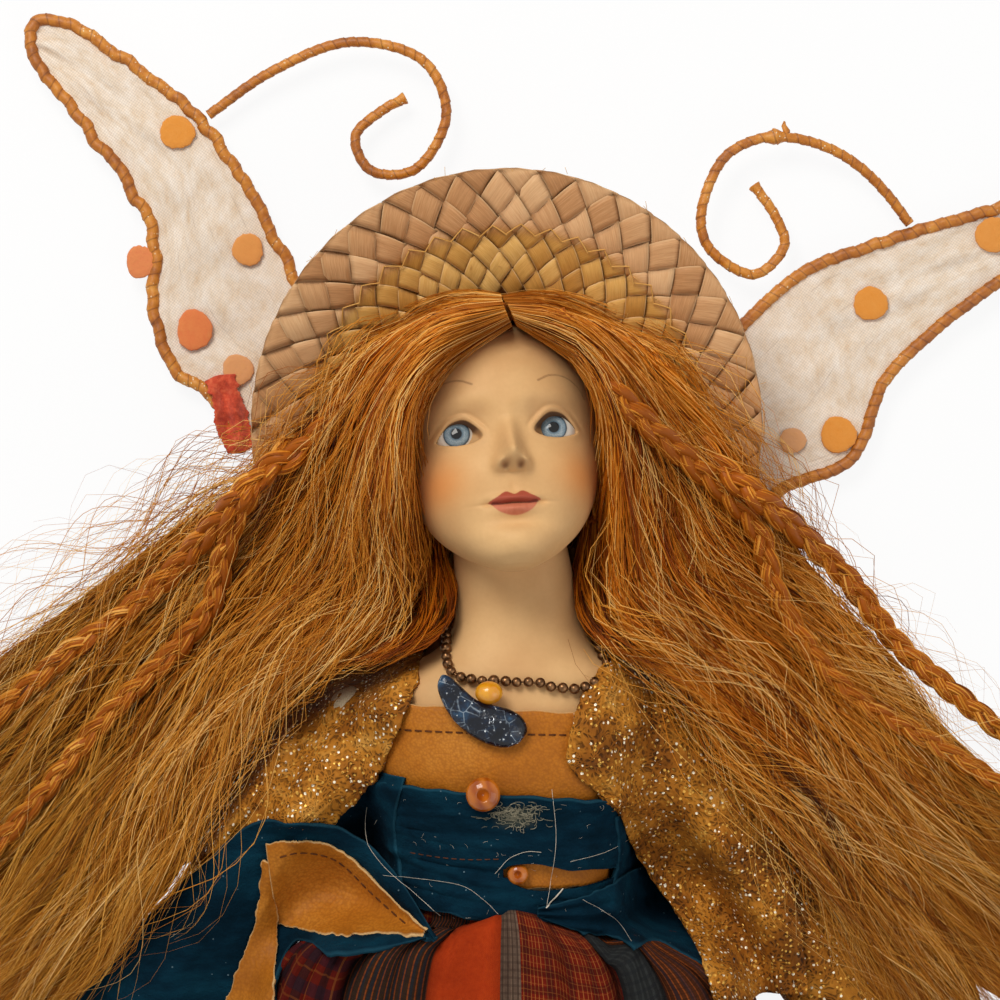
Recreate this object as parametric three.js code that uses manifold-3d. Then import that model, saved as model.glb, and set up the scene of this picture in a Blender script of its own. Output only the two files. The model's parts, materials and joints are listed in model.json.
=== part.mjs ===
// A fairy doll lying on its back, in millimetres.
// +X is to the right of someone who looks down on it, +Y towards its head and +Z up from the floor.
// Left and right are as that person sees them. The origin is the middle of the bodice's flat back.
import * as THREE from "three";
import { mergeVertices } from "three/addons/utils/BufferGeometryUtils.js";
import Module from "manifold-3d";

const wasm = await Module();
wasm.setup();
const { Manifold, Mesh: SolidMesh } = wasm;

// Clearances and cloth
const FIT = 0.35;
const FLOOR_GAP = 0.4;
const LEATHER = 1;
const SUEDE = 1.5;
const CLOTH = 1;
const KNIT = 1.4;
const THINNING = 0.06;

// Head, neck and shoulder plate
const HEAD_AT = [-1.5, 100, 41];
const HEAD_PITCH = 12;
const HEAD_YAW = 5;
const HEAD_ROLL = 4.8;
const BISQUE = 3.2;
const HEAD_SIDES = 26;
const HEAD_CURVE = 2.15;
const FACE_CROWDING = 0.5;
// Each row: height over the head's centre, half width, front, back
const HEAD_ROWS = [
  [-34.5, 4.5, 24.5, 14],
  [-32, 9, 28, 6],
  [-28, 14, 28.9, -5],
  [-23, 18.8, 28, -13],
  [-17, 22.4, 28.4, -20],
  [-9, 25, 28.8, -28],
  [0, 25.8, 28.4, -31.5],
  [9, 26.6, 30, -33],
  [18, 25.4, 28.6, -31.5],
  [27, 19.8, 22.5, -24],
  [33, 12.5, 14.5, -15],
  [36.5, 5.5, 6.5, -6.5],
];
const CROWN_HOLE = 15;
const EYE_SPREAD = 12.3;
const EYE_HEIGHT = 1.2;
const EYE_RADIUS = 6.8;
const EYE_SINK = 1.3;
const EYE_OPENING = [11, 6.4];
const EAR_HEIGHT = -6;
const EAR_SIZE = [2.4, 7.5, 4.5];

// Each row: height along the body, middle, half width, front, back
const BODY_ROWS = [
  [78, 0.6, 15, 50, 24],
  [68, 1.9, 16, 48.5, 18.5],
  [60, 3, 16.8, 48, 16],
  [53, 3.2, 18, 48.3, 14.6],
  [47, 3, 23, 49.5, 13.2],
  [42, 2, 32, 51, 12.2],
  [37, 0.8, 37, 52, 12],
  [28, 0, 36, 53, 11.5],
  [16, 0, 33.5, 53, 8.5],
  [2, 0, 28.5, 49, 2.8],
  [-12, 0, 26.5, 46.5, 2.6],
  [-24, 0, 28.5, 46, 2.6],
  [-40, 0, 33, 45, 3.2],
  [-58, 0, 30, 38, 7],
];
const BODY_CURVE = 2.4;
const BODY_SIDES = 24;
const PLATE_LOW = 16;
const BUST_HEIGHTS = [78, 68, 60, 53, 47.5, 43.5, 40, 34, 25, PLATE_LOW, PLATE_LOW - 3];
const TORSO_HIGH = 34;
const TORSO_LOW = -57;

// Arms
const SHOULDER = [41, 29, 27];
const ELBOW = [76, -21, 17.5];
const WRIST = [103, -63, 8.5];
const FINGERTIP = [117, -86, 4.2];
const ARM_RADIUS = 9;
const ELBOW_RADIUS = 7.2;
const WRIST_RADIUS = 4.6;
const FINGER_RADIUS = 1.9;
const ARMHOLE_AT = 31.6;
const ARMHOLE_EASE = 2.4;

// Legs
const HIP = [17, -66, 22];
const KNEE = [19, -162, 17];
const ANKLE = [20, -240, 12.6];
const THIGH_RADIUS = 13;
const KNEE_RADIUS = 9.6;
const CALF_RADIUS = 10.4;
const ANKLE_RADIUS = 7.4;
const BOOT_TOP = -226;
const BOOT_RADIUS = 10.6;
const SOLE_TOP = -284.6;
const SOLE_THICK = 3;
// Each row: height over the floor, half width of the foot, its height over the sole
const FOOT_ROWS = [
  [0, 5.5, 15],
  [4, 8, 20],
  [13, 9.2, 23],
  [22, 8.8, 19],
  [31, 9.8, 14],
  [38, 9, 11],
  [42.5, 5, 7],
];

// Clothes
const TOP_HIGH = [33, 2];
const TOP_LOW = [-14.6, 0];
const BODICE_HIGH = [11, 3];
const BODICE_LOW = [-23, 4];
const SLIT_AT = [15.5, -10.5];
const SLIT_SIZE = [36, 7.6];
const SKIRT_HIGH = -15.6;
const HEM_Y = -198;
const HEM_HALF = 95;
const HEM_FRONT = 40;
const HEM_BACK = 2.4;
const SKIRT_PUFF = 7;
const PUFF_RATE = 3.2;
const SPREAD_POWER = 3.4;
const WAVES_UNDER = 0.3;
const FOLDS = 8;
const FOLD_DEPTH = 4.2;
const SKIRT_SIDES = 40;

// Hat
const HAT_AT = [0, 106.5];
const HAT_RADIUS = 69;
const CROWN_RADIUS = 38;
const STRAW = 1.6;
const RIM_MEAN = 22;
const RIM_TILT = 14;
const BRIM_FLARE = 6;
const BRIM_TILT = 6;
const ROW_STEP = 0.7;

// Wings
const WIRE_RADIUS = 1.8;
const CURL_RADIUS = 1.5;
const CURL_LIFT = 3;
const WING_LOW = 2.5;
const WING_RISE = 0.03;
const MEMBRANE = 0.6;
const DOT_THICK = 0.7;
const PAD_Y = [16, 34];
const PAD_HALF = 12;
const PAD_HIGH = 6.6;
const WING_PATHS = {
  left: [[-5, 31], [-24, 55], [-42.5, 92], [-50, 126], [-58.8, 148.9], [-71.5, 173.9], [-84.1, 192.5],
    [-101, 206.7], [-120.5, 219.4], [-129.6, 221.4], [-131.8, 213], [-117.7, 193.3], [-102.7, 171.9],
    [-97.7, 158.9], [-97.9, 140.2], [-92.9, 125], [-82.4, 117.2], [-45, 72], [-9, 25]],
  right: [[5, 31], [24, 55], [42.5, 92], [52, 120], [68.2, 139.1], [83.2, 151.6], [104.6, 159.7],
    [122.1, 165], [137.1, 169.4], [153, 178], [159.9, 176.4], [153.8, 160.2], [137.1, 148.9],
    [119.6, 135.8], [104.6, 120.5], [95.7, 99.4], [77.1, 91.3], [44, 62], [9, 25]],
};
const CURL_PATHS = {
  left: [[-82.8, 195], [-65.1, 206.9], [-43, 214.9], [-22.8, 209.4], [-16.7, 194.5], [-25.6, 179.5],
    [-37.8, 179.5], [-41.9, 188.9], [-34.2, 196.4], [-28.1, 199.7]],
  right: [[111.9, 164.6], [105.8, 172.6], [97.8, 180.4], [88.9, 185.6], [77.6, 188.4], [68.7, 187.6],
    [59.9, 182.3], [53.8, 166.3], [56.3, 157.4], [68.7, 150.5], [77, 158.5], [74.8, 166.3], [68.7, 175.4]],
};
// Each dot: X, Y, radius
const DOTS = {
  left: [[-91.3, 190, 5], [-71.8, 157.5, 4.5], [-86.6, 135.2, 5.4], [-74.6, 124.1, 4.4], [-101.5, 154.1, 4.4]],
  right: [[101, 142.5, 4.8], [92.1, 106.1, 5], [134.6, 161.4, 4.8], [79.5, 104.5, 3.6]],
};

// Beads
const STRAND_BEAD = 1.45;
const STRAND_PITCH = 3;
const THREAD = 0.5;
const YELLOW_AT = [-4.7, 37.7];
const YELLOW_RADIUS = 3.7;
const CRESCENT_PATH = [[-16.4, 41.8], [-12, 34.9], [-7.2, 30.7], [-1.2, 28.8], [4.9, 28.9]];
const CRESCENT_RADII = [0.7, 3.3, 4.5, 3.7, 0.7];
const CRESCENT_FLAT = 0.6;
const AMBER_AT = [-6.2, 11.3];
const AMBER_RADIUS = 4.6;
const GLASS_BEAD_AT = [2.9, -10.4];
const GLASS_BEAD_RADIUS = 2.3;
const BEAD_HOLE = 1;

// Hair
const CAP_DEPTH = 5.4;
const CAP_INSIDE = 1.5;
const CAP_LOW = -18;
const HAIR_DEPTH = 11;
const HAIR_EDGE = 2.6;
const BRAID_RADIUS = [3.9, 2.7];
// The face's window in the cap of hair, around the head's own X and Y
const HAIRLINE = [[1, 31], [-8, 27.5], [-15, 20], [-21.5, 10], [-26, -2], [-27, -45], [27, -45], [27, -2],
  [24, 10], [17, 20], [9, 27.5]];
const HAIR_PATHS = {
  left: [
    [[-3, 139], [-28, 133], [-53, 114], [-72, 94], [-106, 66], [-150, 25], [-178, -2]],
    [[-14, 133], [-31, 112], [-42, 88], [-60, 58], [-92, 16], [-130, -30], [-160, -70]],
    [[-23, 120], [-27, 100], [-25, 80], [-25, 60], [-46, 32], [-80, -14], [-112, -74]],
  ],
  right: [
    [[3, 139], [26, 134], [52, 117], [77, 92], [110, 62], [151, 22], [179, -4]],
    [[13, 133], [30, 112], [41, 90], [58, 60], [92, 20], [130, -26], [160, -68]],
    [[23, 120], [28, 100], [27, 80], [28, 60], [40, 34], [80, -14], [114, -74]],
  ],
};
const BRAID_PATHS = {
  left: [
    [[-58.7, 96], [-76.6, 72.2], [-86, 50.1], [-107.3, 29.5], [-128.7, 4.9], [-151.4, -18.9]],
    [[-63.8, 96.1], [-76.5, 83.1], [-98.9, 61.6], [-123.7, 43.5], [-147.5, 21.9], [-166.3, -1]],
  ],
  right: [
    [[26.1, 114.6], [49, 97.6], [67.6, 79], [76.1, 56.1], [93.1, 35.6], [116.8, 21.3], [147.1, 2.9]],
    [[57.4, 96.1], [75.4, 82], [92, 68], [108, 48], [122, 36], [142, 20], [160, 4]],
  ],
};

// Loose cloth: the two long sides of each piece
const KNIT_PATHS = {
  left: [
    [[-20, 53], [-25, 46], [-26.7, 34.2], [-33.6, 17.8], [-40.7, 6.9], [-49, 0.6]],
    [[-32, 58], [-46, 50], [-61.9, 30.4], [-74.2, 7.6], [-82.2, -10.7]],
  ],
  right: [
    [[24, 54], [24, 46], [20.1, 37.3], [15.9, 21.2], [20.1, 13], [30.2, 5], [34, -8], [51, -17.7]],
    [[36, 58], [48, 50], [67.9, 29], [78.6, 7.6], [86.7, -19.2]],
  ],
};
const PANEL_PATHS = {
  left: [
    [[-25, -3], [-45, 1], [-67.8, -0.5], [-84, -12], [-105, -35], [-123, -50]],
    [[-22, -28], [-34, -42], [-50, -58], [-66, -76], [-84, -92], [-104, -102]],
  ],
  right: [
    [[9, -13], [30, -9], [50, -10], [62, -16]],
    [[16, -31], [32, -40], [50, -47], [66, -50]],
  ],
};
const LINING_PATH = [
  [[-65, -4], [-67, -17], [-69, -31], [-73, -50], [-80, -72], [-88, -90]],
  [[-45, -10], [-28, -24], [-32, -32], [-60, -46], [-66, -66], [-76, -88]],
];
const TIE_PATH = [
  [[-87, 119], [-84, 110], [-81, 101]],
  [[-76, 124], [-75, 113], [-75, 101]],
];

const COLOURS = {
  bisque: 0xd6b79a, eye: 0x8fa6b4, hair: 0xb8651f, hairEnds: 0xb97f3c, straw: 0xb98a5c, leather: 0xb0752c,
  suede: 0x0f3a4a, lining: 0xb3752d, skirt: 0x8a3a28, knit: 0xa87a35, brass: 0x4a3526, yellow: 0xd9952a,
  amber: 0xa8541c, crescent: 0x16283c, tape: 0xb9701f, membrane: 0xe6ddcf, felt: 0xe08a2c, tie: 0xd2542c,
  calico: 0xd8c7ac, boot: 0x4d3020, sole: 0x2a1b12,
};

const vec = (x, y, z) => new THREE.Vector3(x, y, z);
const mix = THREE.MathUtils.lerp;
const smooth = THREE.MathUtils.smoothstep;
const radians = THREE.MathUtils.degToRad;
const range = (count) => [...Array(count).keys()];

// The values of a table at one key, on a smooth curve through its rows.
function between(table, key) {
  const rows = table[0][0] < table[table.length - 1][0] ? table : [...table].reverse();
  const last = rows.length - 1;
  const at = THREE.MathUtils.clamp(key, rows[0][0], rows[last][0]);
  let n = 0;
  while (n < last - 1 && at > rows[n + 1][0]) n += 1;
  const span = rows[n + 1][0] - rows[n][0];
  const t = (at - rows[n][0]) / span;
  const slope = (m, column) => {
    const low = rows[Math.max(m - 1, 0)];
    const high = rows[Math.min(m + 1, last)];
    return ((high[column] - low[column]) / (high[0] - low[0])) * span;
  };
  return rows[n].slice(1).map((value, index) => {
    const column = index + 1;
    const next = rows[n + 1][column];
    const rise = slope(n, column);
    const fall = slope(n + 1, column);
    const cube = t * t * t;
    const square = t * t;
    return value * (2 * cube - 3 * square + 1) + next * (3 * square - 2 * cube)
      + rise * (cube - 2 * square + t) + fall * (cube - square);
  });
}

// A closed solid from a geometry, turned to face outwards.
function solidFrom(geometry) {
  const bare = new THREE.BufferGeometry().setAttribute("position", geometry.getAttribute("position"));
  if (geometry.index) bare.setIndex(geometry.index);
  const merged = mergeVertices(bare, 1e-4);
  const build = (triVerts) => new Manifold(
    new SolidMesh({ numProp: 3, vertProperties: merged.attributes.position.array, triVerts }),
  );
  const triangles = Uint32Array.from(merged.index.array);
  const made = build(triangles);
  return made.volume() > 0 ? made : build(triangles.reverse());
}

function solidOfFaces(points, faces) {
  const geometry = new THREE.BufferGeometry().setFromPoints(points);
  geometry.setIndex(faces.flat());
  return solidFrom(geometry);
}

// The side faces between rings of points, one ring after another.
function ringFaces(rings, looped) {
  const count = rings[0].length;
  const faces = [];
  for (let i = 0; i < (looped ? rings.length : rings.length - 1); i += 1) {
    const here = i * count;
    const there = ((i + 1) % rings.length) * count;
    for (let j = 0; j < count; j += 1) {
      const k = (j + 1) % count;
      faces.push([here + j, here + k, there + k], [here + j, there + k, there + j]);
    }
  }
  return faces;
}

// A solid through rings of points, closed at each end by a fan.
function loft(rings) {
  const count = rings[0].length;
  const points = rings.flat();
  const faces = ringFaces(rings, false);
  [0, rings.length - 1].forEach((ring, end) => {
    const middle = points.length;
    points.push(rings[ring].reduce((sum, p) => sum.add(p), vec(0, 0, 0)).divideScalar(count));
    for (let j = 0; j < count; j += 1) {
      const edge = [ring * count + j, ring * count + ((j + 1) % count)];
      faces.push(end ? [middle, edge[0], edge[1]] : [middle, edge[1], edge[0]]);
    }
  });
  return solidOfFaces(points, faces);
}

// An open tube with a wall, through its outer rings and back through its inner ones.
function tubeWall(outer, inner) {
  const rings = [...outer, ...[...inner].reverse()];
  return solidOfFaces(rings.flat(), ringFaces(rings, true));
}

// A sheet between a grid of top points and a grid of bottom points.
function sheet(tops, bottoms) {
  const rings = tops.map((row, i) => [...row, ...[...bottoms[i]].reverse()]);
  const count = rings[0].length;
  const faces = ringFaces(rings, false);
  const last = (rings.length - 1) * count;
  for (let j = 0; j + 1 < tops[0].length; j += 1) {
    const [a, b, c, d] = [j, j + 1, count - 2 - j, count - 1 - j];
    faces.push([b, a, d], [b, d, c]);
    faces.push([last + a, last + b, last + c], [last + a, last + c, last + d]);
  }
  return solidOfFaces(rings.flat(), faces);
}

// Rings of an ellipse that follows a curve. sizeAt gives its half width and half height.
function ringsAlong(curve, steps, sides, sizeAt, closed = false) {
  const frames = curve.computeFrenetFrames(steps, closed);
  return range(closed ? steps : steps + 1).map((i) => {
    const [wide, high] = sizeAt(i / steps);
    const centre = curve.getPointAt(i / steps);
    return range(sides).map((j) => {
      const a = (j / sides) * 2 * Math.PI;
      return centre.clone()
        .addScaledVector(frames.normals[i], wide * Math.cos(a))
        .addScaledVector(frames.binormals[i], high * Math.sin(a));
    });
  });
}

// A round wire along points, closed into a loop or cut off at both ends.
function wire(points, radiusAt, steps, sides, closed = false) {
  const curve = new THREE.CatmullRomCurve3(points, closed, "centripetal");
  const rings = ringsAlong(curve, steps, sides, (t) => [radiusAt(t), radiusAt(t)], closed);
  return closed ? solidOfFaces(rings.flat(), ringFaces(rings, true)) : loft(rings);
}

// A stuffed limb through points, with a rounded end at both ends.
function limb(points, radii, steps, sides, domes = [0.45, 0.9]) {
  const curve = new THREE.CatmullRomCurve3(points.map((p) => vec(...p)));
  const keyed = radii.map((r, i) => [i / (radii.length - 1), r]);
  const radiusAt = (t) => between(keyed, t)[0];
  const rings = ringsAlong(curve, steps, sides, (t) => [radiusAt(t), radiusAt(t)]);
  const domed = (ring, t, sign) => domes.map((share) => {
    const centre = curve.getPointAt(t);
    const away = curve.getTangentAt(t).multiplyScalar(sign * radiusAt(t) * share);
    const size = Math.sqrt(1 - share * share);
    return ring.map((p) => p.clone().sub(centre).multiplyScalar(size).add(centre).add(away));
  });
  return loft([...domed(rings[0], 0, -1).reverse(), ...rings, ...domed(rings[steps], 1, 1)]);
}

function moved(geometry, x, y, z) {
  return solidFrom(geometry.translate(x, y, z));
}

const ball = (radius, x, y, z, around = 16, down = 10) =>
  moved(new THREE.SphereGeometry(radius, around, down), x, y, z);

// A cylinder along one axis of the doll.
function rod(radius, length, axis, x, y, z, sides = 20) {
  const geometry = new THREE.CylinderGeometry(radius, radius, length, sides);
  if (axis === "x") geometry.rotateZ(Math.PI / 2);
  if (axis === "z") geometry.rotateX(Math.PI / 2);
  return moved(geometry, x, y, z);
}

const block = (wide, long, high, x, y, z) => moved(new THREE.BoxGeometry(wide, long, high), x, y, z);

// The solid with its surface pushed out by a distance.
function grown(solid, distance) {
  const mesh = solid.getMesh();
  const geometry = new THREE.BufferGeometry();
  geometry.setAttribute("position", new THREE.BufferAttribute(Float32Array.from(mesh.vertProperties), 3));
  geometry.setIndex([...mesh.triVerts]);
  geometry.computeVertexNormals();
  const { position, normal } = geometry.attributes;
  for (let i = 0; i < position.count; i += 1) {
    position.setXYZ(
      i,
      position.getX(i) + normal.getX(i) * distance,
      position.getY(i) + normal.getY(i) * distance,
      position.getZ(i) + normal.getZ(i) * distance,
    );
  }
  return solidFrom(geometry);
}

const largest = (solid) => solid.decompose().sort((a, b) => b.volume() - a.volume())[0];

// The solid cut back from its neighbours, by the clearance, as one body without slivers.
function clearOf(solid, neighbours, gap = FIT) {
  const cut = Manifold.difference([solid, ...neighbours.map((other) => grown(other, gap))]);
  return largest(Manifold.difference([cut.simplify(THINNING), ...neighbours]));
}

// Heights of the uppermost surface of some solids, in square cells over the floor.
class Relief {
  constructor(solids, reach = 300, cell = 1.5) {
    this.reach = reach;
    this.cell = cell;
    this.side = Math.ceil((2 * reach) / cell) + 1;
    this.heights = new Float32Array(this.side * this.side);
    solids.forEach((solid) => this.add(solid));
  }

  add(solid) {
    const { vertProperties: p, triVerts: t } = solid.getMesh();
    for (let i = 0; i < t.length; i += 3) {
      const [a, b, c] = [0, 1, 2].map((k) => vec(...p.subarray(3 * t[i + k], 3 * t[i + k] + 3)));
      this.cover(a, b, c);
    }
  }

  cover(a, b, c) {
    const area = (b.x - a.x) * (c.y - a.y) - (b.y - a.y) * (c.x - a.x);
    if (Math.abs(area) < 1e-6) return;
    const column = (x) => (x + this.reach) / this.cell;
    const [x0, x1] = [Math.min(a.x, b.x, c.x), Math.max(a.x, b.x, c.x)].map(column);
    const [y0, y1] = [Math.min(a.y, b.y, c.y), Math.max(a.y, b.y, c.y)].map(column);
    for (let j = Math.ceil(y0); j <= y1; j += 1) {
      for (let i = Math.ceil(x0); i <= x1; i += 1) {
        const x = i * this.cell - this.reach;
        const y = j * this.cell - this.reach;
        const u = ((x - a.x) * (c.y - a.y) - (y - a.y) * (c.x - a.x)) / area;
        const v = ((b.x - a.x) * (y - a.y) - (b.y - a.y) * (x - a.x)) / area;
        const index = j * this.side + i;
        if (u >= 0 && v >= 0 && u + v <= 1) {
          this.heights[index] = Math.max(this.heights[index], a.z + u * (b.z - a.z) + v * (c.z - a.z));
        }
      }
    }
  }

  // The highest of the cells within a distance of a point.
  at(x, y, around = this.cell) {
    const span = Math.ceil(around / this.cell);
    const i0 = Math.round((x + this.reach) / this.cell);
    const j0 = Math.round((y + this.reach) / this.cell);
    let high = 0;
    for (let j = j0 - span; j <= j0 + span; j += 1) {
      for (let i = i0 - span; i <= i0 + span; i += 1) {
        high = Math.max(high, this.heights[j * this.side + i] ?? 0);
      }
    }
    return high;
  }
}

// A sheet that lies on a relief. The guides run along it, in X and Y, from its first side to its other.
// thickAt gives its thickness at a place across and a place along it.
function drapedSheet(guides, relief, rows, columns, thickAt, rounds = 3) {
  const curves = guides.map((guide) => new THREE.CatmullRomCurve3(guide.map(([x, y]) => vec(x, y, 0))));
  const grid = range(rows + 1).map((i) => {
    const across = curves.map((curve) => curve.getPointAt(i / rows));
    const line = new THREE.CatmullRomCurve3(across);
    return range(columns + 1).map((j) => line.getPoint(j / columns));
  });
  const cellOf = (x, y) => Math.max(relief.at(x, y, 3) + FIT, FLOOR_GAP);
  let low = grid.map((row) => row.map((p) => cellOf(p.x, p.y)));
  for (let round = 0; round < rounds; round += 1) {
    low = low.map((row, i) => row.map((z, j) => {
      const near = [low[i - 1]?.[j], low[i + 1]?.[j], row[j - 1], row[j + 1]].filter((h) => h !== undefined);
      return Math.max(z, near.reduce((sum, h) => sum + h, 0) / near.length);
    }));
  }
  const bottoms = grid.map((row, i) => row.map((p, j) => vec(p.x, p.y, low[i][j])));
  const tops = grid.map((row, i) => row.map((p, j) =>
    vec(p.x, p.y, low[i][j] + thickAt(j / columns, i / rows))));
  return sheet(tops, bottoms);
}

// The head's own frame: X to its side, Y to its crown and Z out of its face.
const headTurn = new THREE.Matrix4().makeRotationZ(radians(HEAD_ROLL))
  .multiply(new THREE.Matrix4().makeRotationX(-radians(HEAD_PITCH)))
  .multiply(new THREE.Matrix4().makeRotationY(radians(HEAD_YAW)))
  .setPosition(...HEAD_AT);

const fromHead = (x, y, z) => vec(x, y, z).applyMatrix4(headTurn);

function inHead(geometry) {
  return solidFrom(geometry.applyMatrix4(headTurn));
}

// How far the face stands out of the plain head, at a place on it.
function faceRelief(x, y) {
  const bump = (cx, cy, wide, tall, height) =>
    height * Math.exp(-(((x - cx) / wide) ** 2) - (((y - cy) / tall) ** 2));
  const twice = (cx, cy, wide, tall, height) =>
    bump(cx, cy, wide, tall, height) + bump(-cx, cy, wide, tall, height);
  const tip = -7.2;
  const bridge = 4;
  const base = -11.8;
  const up = THREE.MathUtils.clamp((y - tip) / (bridge - tip), 0, 1);
  const down = THREE.MathUtils.clamp((tip - y) / (tip - base), 0, 1);
  const ridge = mix(8.2, 0.8, smooth(up, 0, 1) * 0.35 + up * 0.65) * (1 - down * down);
  const nose = (y < bridge + 4 ? ridge : 0) * Math.exp(-((x / mix(2.9, 2.3, up)) ** 2))
    * (1 - smooth(y, bridge, bridge + 4));
  const wings = twice(3.3, -9.2, 1.7, 1.9, 3);
  const lips = bump(0, -17.4, 6, 1.7, 1.7) + bump(0, -21, 4.6, 1.8, 1.8) - bump(0, -19.1, 6.4, 0.7, 1.1);
  const chin = bump(0, -29, 6, 4, 1.6) - bump(0, -24.6, 6, 1.8, 0.9);
  const cheeks = twice(13, -12, 8, 8, 1.3);
  const sockets = twice(EYE_SPREAD, EYE_HEIGHT + 0.4, 6.8, 4.6, -1.9);
  const brows = twice(11, 9, 8, 3, 0.6);
  return nose + wings + lips + chin + cheeks + sockets + brows;
}

// The head grown by a distance, with or without its face.
function headSolid(grow, faced, sides = HEAD_SIDES) {
  const top = HEAD_ROWS[HEAD_ROWS.length - 1][0];
  const foot = HEAD_ROWS[0][0];
  const coarse = [foot, -32.4, 11.5, 17, 23, 28.5, 33, top];
  const fine = range(15).map((i) => -30 + 2.7 * i);
  const heights = [...coarse, ...(faced ? fine : fine.filter((_, i) => i % 3 === 0))].sort((a, b) => a - b);
  const rings = heights.map((y) => {
    const [wide, front, back] = between(HEAD_ROWS, y);
    const middle = (front + back) / 2;
    const deep = (front - back) / 2 + grow;
    return range(sides).map((j) => {
      const even = j / sides;
      const angle = 2 * Math.PI * even + FACE_CROWDING * Math.cos(2 * Math.PI * even);
      const [c, s] = [Math.cos(angle), Math.sin(angle)];
      const x = (wide + grow) * Math.sign(c) * Math.abs(c) ** (2 / HEAD_CURVE);
      const plain = middle + deep * Math.sign(s) * Math.abs(s) ** (2 / HEAD_CURVE);
      const z = plain + (faced ? faceRelief(x, y) * smooth(plain, 0, 14) : 0);
      return fromHead(x, y * (1 + grow / top), z);
    });
  });
  return loft(rings);
}

// A point of the body's skin at a height and an angle, moved out by a distance.
function skin(y, angle, out) {
  const [x, wide, front, back] = between(BODY_ROWS, y);
  const [c, s] = [Math.cos(angle), Math.sin(angle)];
  const middle = (front + back) / 2;
  return vec(
    x + (wide + out) * Math.sign(c) * Math.abs(c) ** (2 / BODY_CURVE),
    y,
    middle + ((front - back) / 2 + out) * Math.sign(s) * Math.abs(s) ** (2 / BODY_CURVE),
  );
}

const turnOf = (j, sides) => (j / sides) * 2 * Math.PI;

// A ring of the skin at one height, or between two slanted edges: each has its height and its slope.
function skinRing(y, out) {
  return range(BODY_SIDES).map((j) => skin(y, turnOf(j, BODY_SIDES), out));
}

function slantedRings(high, low, out, steps) {
  return range(steps + 1).map((i) => range(BODY_SIDES).map((j) => {
    const angle = turnOf(j, BODY_SIDES);
    const edge = (pair) => pair[0] - pair[1] * Math.cos(angle);
    return skin(mix(edge(high), edge(low), i / steps), angle, out);
  }));
}

function armholes(radius) {
  const length = 40;
  return [-1, 1].map((side) =>
    rod(radius, length, "x", side * (ARMHOLE_AT + length / 2), SHOULDER[1], SHOULDER[2]));
}

// The almond opening of one eye, as a solid that runs through the face.
function almond(side) {
  const [wide, tall] = EYE_OPENING;
  const shape = new THREE.Shape();
  shape.moveTo(-wide / 2, -tall * 0.1);
  shape.quadraticCurveTo(-wide * 0.1, tall * 1.02, wide / 2, 0);
  shape.quadraticCurveTo(wide * 0.05, -tall * 0.96, -wide / 2, -tall * 0.1);
  const geometry = new THREE.ExtrudeGeometry(shape, { depth: 30, bevelEnabled: false, curveSegments: 6 });
  geometry.translate(side * EYE_SPREAD, EYE_HEIGHT, 8);
  return inHead(geometry);
}

function eyeCentre(side) {
  const [wide, front, back] = between(HEAD_ROWS, EYE_HEIGHT);
  const middle = (front + back) / 2;
  const across = Math.min(EYE_SPREAD / wide, 1);
  const surface = middle + (front - middle) * (1 - across ** HEAD_CURVE) ** (1 / HEAD_CURVE);
  const depth = surface + faceRelief(EYE_SPREAD, EYE_HEIGHT) - EYE_SINK - EYE_RADIUS;
  return fromHead(side * EYE_SPREAD, EYE_HEIGHT, depth);
}

function eyeBall(side, grow) {
  const at = eyeCentre(side);
  return ball(EYE_RADIUS + grow, at.x, at.y, at.z, 12, 7);
}

function ear(side) {
  const geometry = new THREE.SphereGeometry(1, 8, 6).scale(...EAR_SIZE);
  const [wide] = between(HEAD_ROWS, EAR_HEIGHT);
  geometry.translate(side * (wide - EAR_SIZE[0] * 0.2), EAR_HEIGHT, -3);
  return inHead(geometry);
}

function crownPlug(radius) {
  const geometry = new THREE.CylinderGeometry(radius, radius, 40, 18).translate(0, 44, 0);
  return inHead(geometry);
}

// The hollow bisque shell of head, neck and shoulder plate, with its eye openings.
function makeBisque() {
  const bust = loft(BUST_HEIGHTS.map((y) => skinRing(Math.max(y, PLATE_LOW), 0)));
  const hollow = loft(BUST_HEIGHTS.map((y) => skinRing(y, -BISQUE)));
  const outside = Manifold.union([headSolid(0, true), bust, ear(-1), ear(1)]);
  const shell = Manifold.difference([
    outside, headSolid(-BISQUE, false, 12), hollow,
    ...[-1, 1].flatMap((side) => [almond(side), eyeBall(side, FIT)]),
    ...armholes(ARM_RADIUS + FIT),
  ]);
  return {
    head: largest(shell.subtract(crownPlug(CROWN_HOLE + FIT)).simplify(THINNING)),
    pate: largest(shell.intersect(crownPlug(CROWN_HOLE)).simplify(THINNING)),
    outside,
  };
}

function makeTorso() {
  const upper = [...BUST_HEIGHTS.filter((y) => y <= TORSO_HIGH && y > PLATE_LOW), PLATE_LOW - FIT]
    .map((y) => skinRing(y, -BISQUE - FIT));
  const lower = range(9).map((i) => skinRing(mix(PLATE_LOW - 2 * FIT, TORSO_LOW, i / 8), 0));
  const end = skinRing(TORSO_LOW - 2, -7);
  const room = THIGH_RADIUS + FIT;
  const hips = rod(room, 90, "x", 0, HIP[1], HIP[2], 20);
  const lap = block(90, 40, 60, 0, HIP[1] + room - 20, HIP[2] + 30);
  return largest(Manifold.difference([loft([...upper, ...lower, end]), hips, lap,
    ...armholes(ARM_RADIUS + FIT)]).simplify(0.02));
}

const garment = (high, low, inside, thick, steps) =>
  tubeWall(slantedRings(high, low, inside + thick, steps), slantedRings(high, low, inside, steps));

function makeTop() {
  return largest(Manifold.difference([garment(TOP_HIGH, TOP_LOW, 1.4 * FIT, LEATHER, 6),
    ...armholes(ARM_RADIUS + ARMHOLE_EASE)]));
}

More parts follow.
